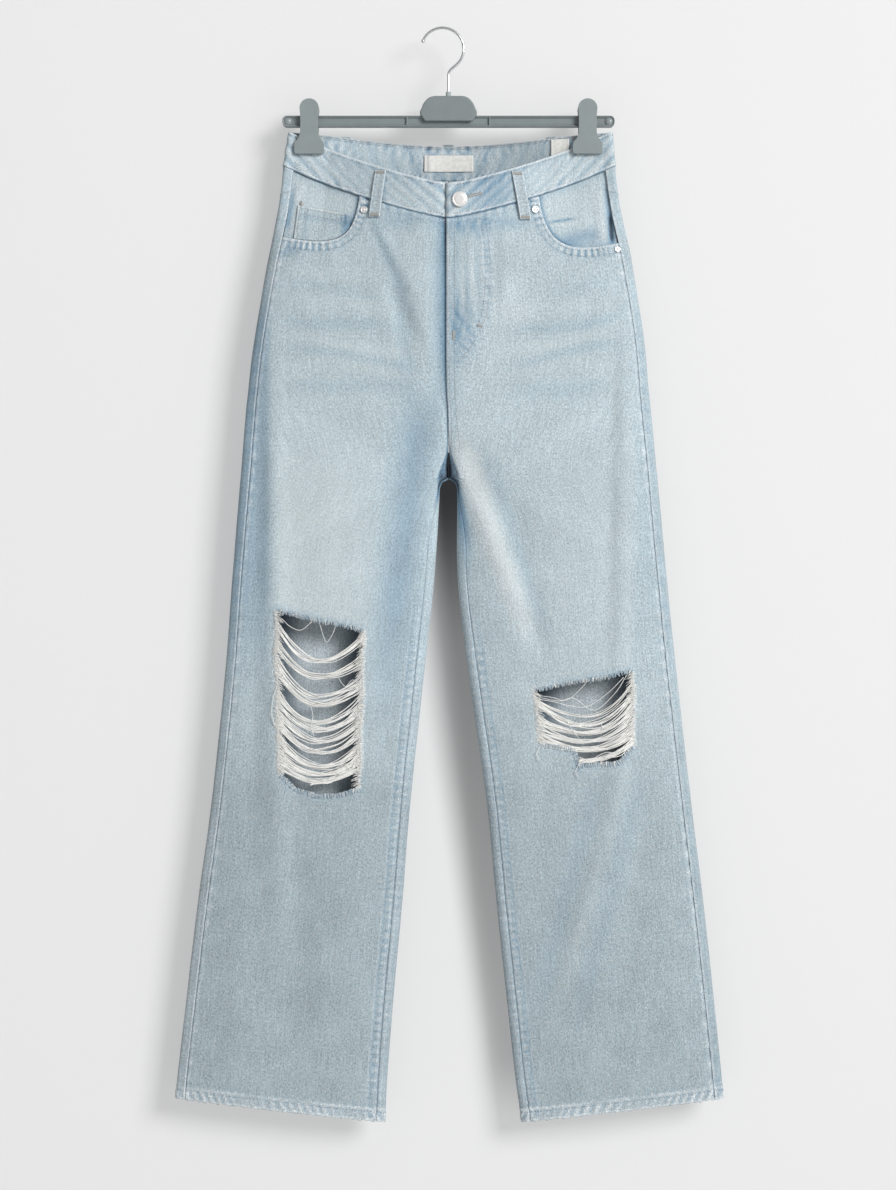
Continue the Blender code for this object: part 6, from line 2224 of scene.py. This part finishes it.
# %% Hanger
BAR_HALF, BAR_TOP, BAR_HEIGHT, BAR_DEEP = 181.0 * MM, 95.0 * MM, 12.0 * MM, 10.0 * MM
BAR_RIM, BAR_RECESS, BAR_MIDDLE = 2.2 * MM, 3.2 * MM, -BAR_TOP - BAR_HEIGHT / 2
RIB_X, RIB_WIDE = 45.0 * MM, 1.6 * MM
BLOCK_DEEP = 15.0 * MM
BLOCK_SIDE = [(half * MM, drop * MM) for half, drop in (
    # half width, drop
    (26.0, 101.4), (31.0, 92.5), (29.3, 87.0), (27.2, 82.0), (23.5, 77.4), (19.5, 74.8), (15.0, 73.7))]
WIRE, HOOK_RADIUS = 1.5 * MM, 23.0 * MM
CLIP_X, CLIP_TOP, CLIP_END = 151.5 * MM, 77.0 * MM, 137.0 * MM
CLIP_STEM, CLIP_JAW, CLIP_THICK = 10.5 * MM, 16.2 * MM, 4.6 * MM
CLIP_FLARE, CLIP_WIDE, CLIP_CORNER = 117.0 * MM, 125.5 * MM, 2.5 * MM
JAW_GAP = 0.9 * MM


def add_box(bm, size, centre):
    made = bmesh.ops.create_cube(bm, size=1.0)
    bmesh.ops.scale(bm, vec=size, verts=made["verts"])
    bmesh.ops.translate(bm, vec=centre, verts=made["verts"])


def add_ball(bm, radius, segments, rings, centre, deep=1.0):
    made = bmesh.ops.create_uvsphere(bm, u_segments=segments, v_segments=rings, radius=radius)
    bmesh.ops.scale(bm, vec=(1.0, deep, 1.0), verts=made["verts"])
    bmesh.ops.translate(bm, vec=centre, verts=made["verts"])


def soft_edges(obj, width, segments=3):
    """Rounds the hard edges of a moulded piece, keeps its flat faces flat and gives the piece back."""
    bevel = obj.modifiers.new("Bevel", "BEVEL")
    bevel.width = width
    bevel.segments = segments
    bevel.limit_method = "ANGLE"
    bevel.angle_limit = math.radians(35)
    bevel.harden_normals = True
    return obj


def plastic_material(name, colour, roughness):
    material, tree, shader = plain_shader(name, roughness, 0.42)
    place = node(tree, "ShaderNodeTexCoord").outputs["Object"]
    mottle = noise(tree, place, 60.0, 3.0, 0.55)
    grain = noise(tree, place, 1500.0, 2.0, 0.6)
    tint = blend_colour(tree, scale_value(tree, mottle, 0.3, 0.7, 0.0, 1.0), colour, dimmed(colour, 0.9))
    rough = scale_value(tree, mottle, 0.3, 0.7, roughness - 0.05, roughness + 0.07)
    tree.links.new(tint, shader.inputs["Base Color"])
    tree.links.new(rough, shader.inputs["Roughness"])
    bump_normal(tree, shader, grain, 0.12, 0.06 * MM)
    return material


hanger_plastic = plastic_material("hanger_plastic_moulded", linear(129, 138, 139), 0.42)


def moved_plate(outline, y_from, y_to):
    """A plate in the hanging plane from (x, drop) points, as a bmesh."""
    bm = bmesh.new()
    face = bm.faces.new([bm.verts.new((x + GARMENT_X, y_from, -drop)) for x, drop in outline])
    made = bmesh.ops.extrude_face_region(bm, geom=[face])
    moved = [part for part in made["geom"] if isinstance(part, bmesh.types.BMVert)]
    bmesh.ops.translate(bm, verts=moved, vec=(0.0, y_to - y_from, 0.0))
    return bm


def block_outline():
    """The block: flat top, round shoulders, and a foot that draws in over the bar."""
    half = soft_path([(side, drop, 0.0) for side, drop in BLOCK_SIDE], 28)[:, :2]
    return [(-x, drop) for x, drop in half] + [(x, drop) for x, drop in half[::-1]]


def rounded_bar(name, material):
    bm = bmesh.new()
    add_box(bm, (2 * BAR_HALF, BAR_DEEP, BAR_HEIGHT), (GARMENT_X, 0.0, BAR_MIDDLE))
    ends = [e for e in bm.edges if abs((e.verts[0].co - e.verts[1].co).normalized().y) > 0.99]
    bmesh.ops.bevel(bm, geom=ends, offset=BAR_HEIGHT * 0.42, segments=8, profile=0.5, affect="EDGES",
                    material=-1)
    for face in [face for face in bm.faces if abs(face.normal.y) > 0.9]:
        bmesh.ops.inset_region(bm, faces=[face], thickness=BAR_RIM)
        inward = -face.normal.copy()
        bmesh.ops.translate(bm, vec=inward * BAR_RECESS * 0.55, verts=face.verts)
        bmesh.ops.inset_region(bm, faces=[face], thickness=0.35 * MM)
        bmesh.ops.translate(bm, vec=inward * BAR_RECESS * 0.45, verts=face.verts)
    return soft_edges(solid_piece(name, bm, material), 0.7 * MM)


def bar_tips(name, material):
    bm = bmesh.new()
    for end in (-1, 1):
        centre = (end * (BAR_HALF - BAR_HEIGHT / 2) + GARMENT_X, 0.0, BAR_MIDDLE)
        add_ball(bm, BAR_HEIGHT / 2 - 0.6 * MM, 28, 18, centre, BAR_DEEP / BAR_HEIGHT * 1.02)
    return solid_piece(name, bm, material)


def bar_ribs(name, material):
    bm = bmesh.new()
    for x in (-RIB_X, RIB_X):
        add_box(bm, (RIB_WIDE, BAR_DEEP - 1.2 * MM, BAR_HEIGHT - 2 * MM), (x + GARMENT_X, 0.0, BAR_MIDDLE))
    return soft_edges(solid_piece(name, bm, material), 0.3 * MM, 2)


bar = rounded_bar("moulded_bar", hanger_plastic)
plate = moved_plate(block_outline(), -BLOCK_DEEP / 2, BLOCK_DEEP / 2)
block = soft_edges(solid_piece("moulded_block", plate, hanger_plastic), 1.6 * MM, 4)
tips = bar_tips("moulded_bar_ends", plastic_material("hanger_plastic_glossy", linear(146, 154, 156), 0.12))
ribs = bar_ribs("moulded_ribs", hanger_plastic)

# %% [markdown]
# The ferrule is a short turned collar on top of the block. The wire rises out of it, leans out to one
# side and bends round over the middle into an open hook, whose tip ends in a small ball.

# %% Ferrule and hook
FERRULE_TOP, FERRULE_RADIUS = 68.5 * MM, 2.9 * MM
FERRULE_PROFILE = [(WIRE, 0.0), (FERRULE_RADIUS - 0.4 * MM, 0.0), (FERRULE_RADIUS, -0.5 * MM),
                   (FERRULE_RADIUS, -4.5 * MM), (FERRULE_RADIUS + 0.6 * MM, -5.5 * MM)]
HOOK_START, HOOK_END = 158.0, -42.0         # degrees round the bend: at the tip, and where it ends
STEM_TOP, STEM_FOOT = -50.0 * MM, -80.0 * MM
BEND_COUNT = 60
ferrule = spun(FERRULE_PROFILE, 32)
bmesh.ops.translate(ferrule, vec=(GARMENT_X, 0.0, -FERRULE_TOP), verts=ferrule.verts)
pale_plastic = plastic_material("hanger_plastic_pale", linear(168, 178, 178), 0.4)
ferrule = solid_piece("ferrule", ferrule, pale_plastic)


def hook_path():
    """The wire's middle line, from its tip to inside the block."""
    angle = np.radians(np.linspace(HOOK_START, HOOK_END, BEND_COUNT))
    bend = np.column_stack((HOOK_RADIUS * np.cos(angle), np.zeros(BEND_COUNT),
                            WIRE - HOOK_RADIUS + HOOK_RADIUS * np.sin(angle)))
    away = np.array((math.sin(angle[-1]), 0.0, -math.cos(angle[-1])))
    top = np.array((GARMENT_X, 0.0, STEM_TOP))
    t = np.linspace(0.0, 1.0, 16)[1:, None]
    p, q, m, n = bend[-1], bend[-1] + away * 7 * MM, top + (0.0, 0.0, 6 * MM), top
    join = (1 - t)**3 * p + 3 * t * (1 - t)**2 * q + 3 * t**2 * (1 - t) * m + t**3 * n
    foot = np.array([(GARMENT_X, 0.0, z) for z in np.linspace(STEM_TOP - 2 * MM, STEM_FOOT, 8)])
    return np.concatenate((bend, join, foot)) - (GARMENT_X, 0.0, 0.0)


wire_path = hook_path()
steel = steel_material("hook_steel", linear(214, 216, 218), 0.26)
hook_wire = lay_tubes("hook_wire", [wire_path], [np.full(len(wire_path), WIRE)], [0.0], steel, around=20)
tip = bmesh.new()
add_ball(tip, 2.05 * MM, 24, 14, Vector(wire_path[0]) + Vector((GARMENT_X, 0.0, 0.0)))
hook_tip = solid_piece("hook_tip", tip, steel)

# %% [markdown]
# Each clip is two plates held together by a short bridge over the bar. A plate is narrow and round
# at the top, widens into its jaw, and leans in until it presses on the waistband.

# %% Clips
CLIP_GRIP = PINCH + BAND_OUT + JAW_GAP
BAR_FACE = BAR_DEEP / 2 + LAY_GAP


def clip_outline(x):
    """Round head, a stem that is a little narrower, and a jaw that flares out in a soft curve."""
    head = [(CLIP_STEM * math.cos(angle), CLIP_TOP + CLIP_STEM * (1.0 - math.sin(angle)))
            for angle in np.radians(np.linspace(90, 180, 10))]
    neck = CLIP_STEM - 0.8 * MM
    side = soft_path([(-neck, 96 * MM, 0), (-neck, 108 * MM, 0), (-neck - 0.4 * MM, CLIP_FLARE - 2 * MM, 0),
                      (-neck - 2.6 * MM, 120.5 * MM, 0), (-CLIP_JAW + 0.8 * MM, 124.2 * MM, 0),
                      (-CLIP_JAW, CLIP_WIDE + 2 * MM, 0)], 26)[:, :2]
    corner = [(-CLIP_JAW + CLIP_CORNER * (1 - math.cos(t)), CLIP_END - CLIP_CORNER * (1 - math.sin(t)))
              for t in np.radians(np.linspace(0, 90, 6))]
    left = head + [tuple(point) for point in side] + corner
    return [(x + px, drop) for px, drop in left] + [(x - px, drop) for px, drop in reversed(left[1:])]


def clip_plate(side, outward):
    bm = moved_plate(clip_outline(side * CLIP_X), outward * BAR_FACE, outward * (BAR_FACE + CLIP_THICK))
    for drop in np.arange(CLIP_TOP + 8 * MM, CLIP_END - 2 * MM, 2.5 * MM):
        bmesh.ops.bisect_plane(bm, geom=bm.verts[:] + bm.edges[:] + bm.faces[:], dist=1e-6,
                               plane_co=(0.0, 0.0, -drop), plane_no=(0.0, 0.0, 1.0))
    for vert in bm.verts:
        lean = ease(-vert.co.z, BAR_TOP + BAR_HEIGHT, CLIP_FLARE)
        vert.co.y -= outward * (BAR_FACE - CLIP_GRIP) * lean
    face = FRONT if outward < 0 else BACK
    return soft_edges(solid_piece(f"sprung_clip_{SIDE_NAMES[side]}_{face}", bm, clip_plastic), 0.8 * MM)


clip_plastic = plastic_material("clip_plastic", linear(140, 149, 150), 0.36)
clips = {(side, face): clip_plate(side, outward)
         for side in (RIGHT, LEFT) for face, outward in ((FRONT, -1), (BACK, 1))}
bridges = bmesh.new()
for side in (RIGHT, LEFT):
    add_box(bridges, (14 * MM, 2 * BAR_FACE - 0.2 * MM, 12.6 * MM),
            (side * CLIP_X + GARMENT_X, 0.0, -CLIP_TOP - 11.4 * MM))
bridges = soft_edges(solid_piece("clip_bridges", bridges, clip_plastic), 0.5 * MM, 2)

# %% [markdown]
# Every piece rides on the one still body. A piece that stands for a solid replaces it, so that each
# solid is seen once. Nothing in this object moves.

# %% Riding
PAIRS = []
for side, name in SIDE_NAMES.items():
    PAIRS += [(panels[part, side], [f"{part}_{name}"], "denim") for part in (FRONT, BACK, "yoke")]
    yarns = [f"rip_yarn_{name}_{n:02d}" for n in (range(1, 10) if side == RIGHT else range(10, 15))]
    PAIRS += [(facings[side], [f"pocket_facing_{name}"], "denim"),
              (pockets[side], [f"back_pocket_{name}"], "denim"),
              (rip_threads[side], yarns, "yarn_white"), (frays[side], [], "yarn_white")]
    PAIRS += [(clips[side, face], [f"clip_{name}_{face}"], "hanger_plastic") for face in (FRONT, BACK)]
PAIRS += [(obj, [loop.name], "denim") for loop, obj in loops]
PAIRS += [(obj, [label], "label_cloth") for label, obj in labels.items()]
PAIRS += [(obj, [solid], "steel") for solid, obj in metal_parts.items()]
PAIRS += [(obj, [], "yarn_white") for obj in stitches.values()]
PAIRS += [(band, ["waistband"], "denim"), (coin, ["coin_pocket"], "denim"),
          (zip_piece, ["fly_zip"], "zip_tape"), (teeth, [], "steel"),
          (bars, [], "yarn_white"), (buttonhole, [], "yarn_white"),
          (bar, ["hanger_bar"], "hanger_plastic"), (block, [], "hanger_plastic"),
          (tips, [], "hanger_plastic"), (ribs, [], "hanger_plastic"),
          (ferrule, [], "hanger_plastic"), (bridges, [], "hanger_plastic"),
          (hook_wire, ["hook"], "steel"), (hook_tip, [], "steel")]
for obj, solids, slot in PAIRS:
    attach(obj, "root")
    for solid in solids:
        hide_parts(solid)
print(len(PAIRS), "pieces ride on the body")

# %% [markdown]
# Each piece of cloth says how it was cut. Its own map of the cloth, in metres, gives the flat size. A
# folded strip is closed, so half of its way round is its width.

# %% Sheets


def cut_size(obj, folded):
    corners = np.empty(len(obj.data.loops) * 2, dtype=np.float32)
    obj.data.uv_layers["cloth"].data.foreach_get("uv", corners)
    span = np.ptp(corners.reshape(-1, 2), axis=0).astype(float)
    area = sum(face.area for face in obj.data.polygons)
    return (span[0], span[1] / 2, area / 2) if folded else (span[0], span[1], area)


def declare(obj, folded=False):
    width, length, area = cut_size(obj, folded)
    print(f"{obj.name}: cut {width * 1000:.0f} x {length * 1000:.0f} mm, {area * 10000:.0f} square cm")


declare(band, True)
for side in (RIGHT, LEFT):
    declare(panels[FRONT, side], False)
    declare(panels["yoke", side])
    declare(panels[BACK, side], False)
    declare(facings[side])
    declare(pockets[side], False)
declare(coin, False)
declare(zip_piece, True)
for _, obj in loops:
    declare(obj, True)
for obj in labels.values():
    declare(obj, True)

# %% [markdown]
# The wall behind the garment is pale and plain. Part of its brightness is its own glow, so that no
# shadow takes all of it away, and the shade beside the left leg's inner edge is drawn on it. A camera
# in front sees the wall, and from behind it is clear, so that the back of the garment can be looked
# at. It lets light through that doesn't come from the camera, so it doesn't darken the back.

# %% Wall and floor
WALL_Y, FLOOR_Z = 0.038, -1.36
WALL_GLOW = 0.46                    # share of the wall's brightness that no shadow takes away


def smooth_step(tree, value, start, end):
    """0 at start and 1 at end with a soft rise between."""
    return scale_value(tree, value, start, end, 0.0, 1.0, interpolation_type="SMOOTHSTEP")


def gap_shade(tree):
    """The deep shade at the crotch, and the shade that follows the left leg's inner edge down."""
    place = node(tree, "ShaderNodeSeparateXYZ", {0: node(tree, "ShaderNodeTexCoord").outputs["Object"]})
    drop = maths(tree, "MULTIPLY", place.outputs[2], -1.0)
    edge = maths(tree, "ADD", maths(tree, "MULTIPLY", drop, 0.10), 0.016 - 0.10 * 0.513)
    aside = maths(tree, "SUBTRACT", edge, place.outputs[0])
    width = scale_value(tree, drop, 0.80, 1.10, 0.064, 0.042)
    close = maths(tree, "SUBTRACT", 1.0, smooth_step(tree, maths(tree, "DIVIDE", aside, width), 0.22, 1.0))
    close = maths(tree, "MULTIPLY", close, smooth_step(tree, aside, -0.060, -0.030))
    depth = scale_value(tree, drop, 0.70, 1.15, 1.0, 0.48)
    depth = maths(tree, "MULTIPLY", depth, smooth_step(tree, drop, 1.20, 1.12))
    top = smooth_step(tree, drop, 0.70, 0.50)
    depth = maths(tree, "MULTIPLY", depth, maths(tree, "ADD", 0.62, maths(tree, "MULTIPLY", top, 0.38)))
    below = maths(tree, "GREATER_THAN", drop, 0.46)
    return maths(tree, "MULTIPLY", maths(tree, "MULTIPLY", depth, close), below)


def wall_look(tree, shader, colour):
    """The glow, the drawn shade, and the clear back of the wall."""
    shaded = gap_shade(tree)
    lit = blend_colour(tree, shaded, dimmed(colour, 1.0 - WALL_GLOW), (0.012, 0.012, 0.012, 1.0))
    glow = blend_colour(tree, shaded, dimmed(colour, WALL_GLOW), (0.03, 0.03, 0.032, 1.0))
    tree.links.new(lit, shader.inputs["Base Color"])
    tree.links.new(glow, shader.inputs["Emission Color"])
    shader.inputs["Emission Strength"].default_value = 1.0
    path = node(tree, "ShaderNodeLightPath")
    seen = maths(tree, "MAXIMUM", path.outputs["Is Camera Ray"], path.outputs["Is Glossy Ray"])
    behind = node(tree, "ShaderNodeNewGeometry").outputs["Backfacing"]
    seen = maths(tree, "MULTIPLY", seen, maths(tree, "SUBTRACT", 1.0, behind))
    clear = node(tree, "ShaderNodeBsdfTransparent").outputs[0]
    both = node(tree, "ShaderNodeMixShader", {0: seen, 1: clear, 2: shader.outputs[0]})
    tree.links.new(both.outputs[0], tree.nodes["Material Output"].inputs["Surface"])


def stage_plane(name, size, centre, upright, colour):
    bm = bmesh.new()
    bmesh.ops.create_grid(bm, x_segments=1, y_segments=1, size=0.5)
    bmesh.ops.scale(bm, vec=(size[0], size[1], 1.0), verts=bm.verts)
    if upright:
        bmesh.ops.rotate(bm, cent=(0, 0, 0), verts=bm.verts,
                         matrix=Matrix.Rotation(math.radians(90), 3, "X"))
    bmesh.ops.translate(bm, vec=centre, verts=bm.verts)
    material, tree, shader = plain_shader(name, 0.9, 0.1)
    shader.inputs["Base Color"].default_value = colour
    if upright:
        wall_look(tree, shader, colour)
    obj = add_piece(to_mesh(bm, name), material)
    return obj


stage_plane("wall", (9.0, 5.0), (0.0, WALL_Y, FLOOR_Z + 2.5), True, linear(233, 233, 233))
stage_plane("floor", (9.0, 9.0), (0.0, 0.0, FLOOR_Z), False, linear(233, 233, 233))

# %% [markdown]
# One large soft lamp from the upper right gives the folds their shape, and an even pale world fills
# the rest. Together they light a surface that faces the camera at about its written colour.

# %% Light
world = bpy.data.worlds.new("studio")
scene.world = world
world.use_nodes = True
world.node_tree.nodes["Background"].inputs["Color"].default_value = (1.0, 1.0, 1.0, 1.0)
world.node_tree.nodes["Background"].inputs["Strength"].default_value = 0.36


def soft_lamp(name, place, target, size, power):
    lamp = bpy.data.lights.new(name, "AREA")
    lamp.shape = "SQUARE"
    lamp.size = size
    lamp.energy = power
    obj = bpy.data.objects.new(name, lamp)
    scene.collection.objects.link(obj)
    obj.location = place
    obj.rotation_euler = (Vector(target) - Vector(place)).to_track_quat("-Z", "Y").to_euler()
    return obj


soft_lamp("key", (5.0, -6.2, 2.7), (0.0, 0.0, -0.6), 3.2, 622.0)

# %% [markdown]
# The camera looks straight at the middle of the picture with a long lens, level with the thighs.

# %% Camera
LENS, CAMERA_Y = 85.0, -3.064
camera = bpy.data.objects.new("camera", bpy.data.cameras.new("camera"))
camera.data.lens = LENS
camera.data.sensor_width = 36.0
camera.location = (0.006, CAMERA_Y, -0.617)
camera.rotation_euler = (math.radians(90), 0.0, 0.0)
scene.collection.objects.link(camera)
scene.camera = camera
scene.view_settings.view_transform = "Standard"
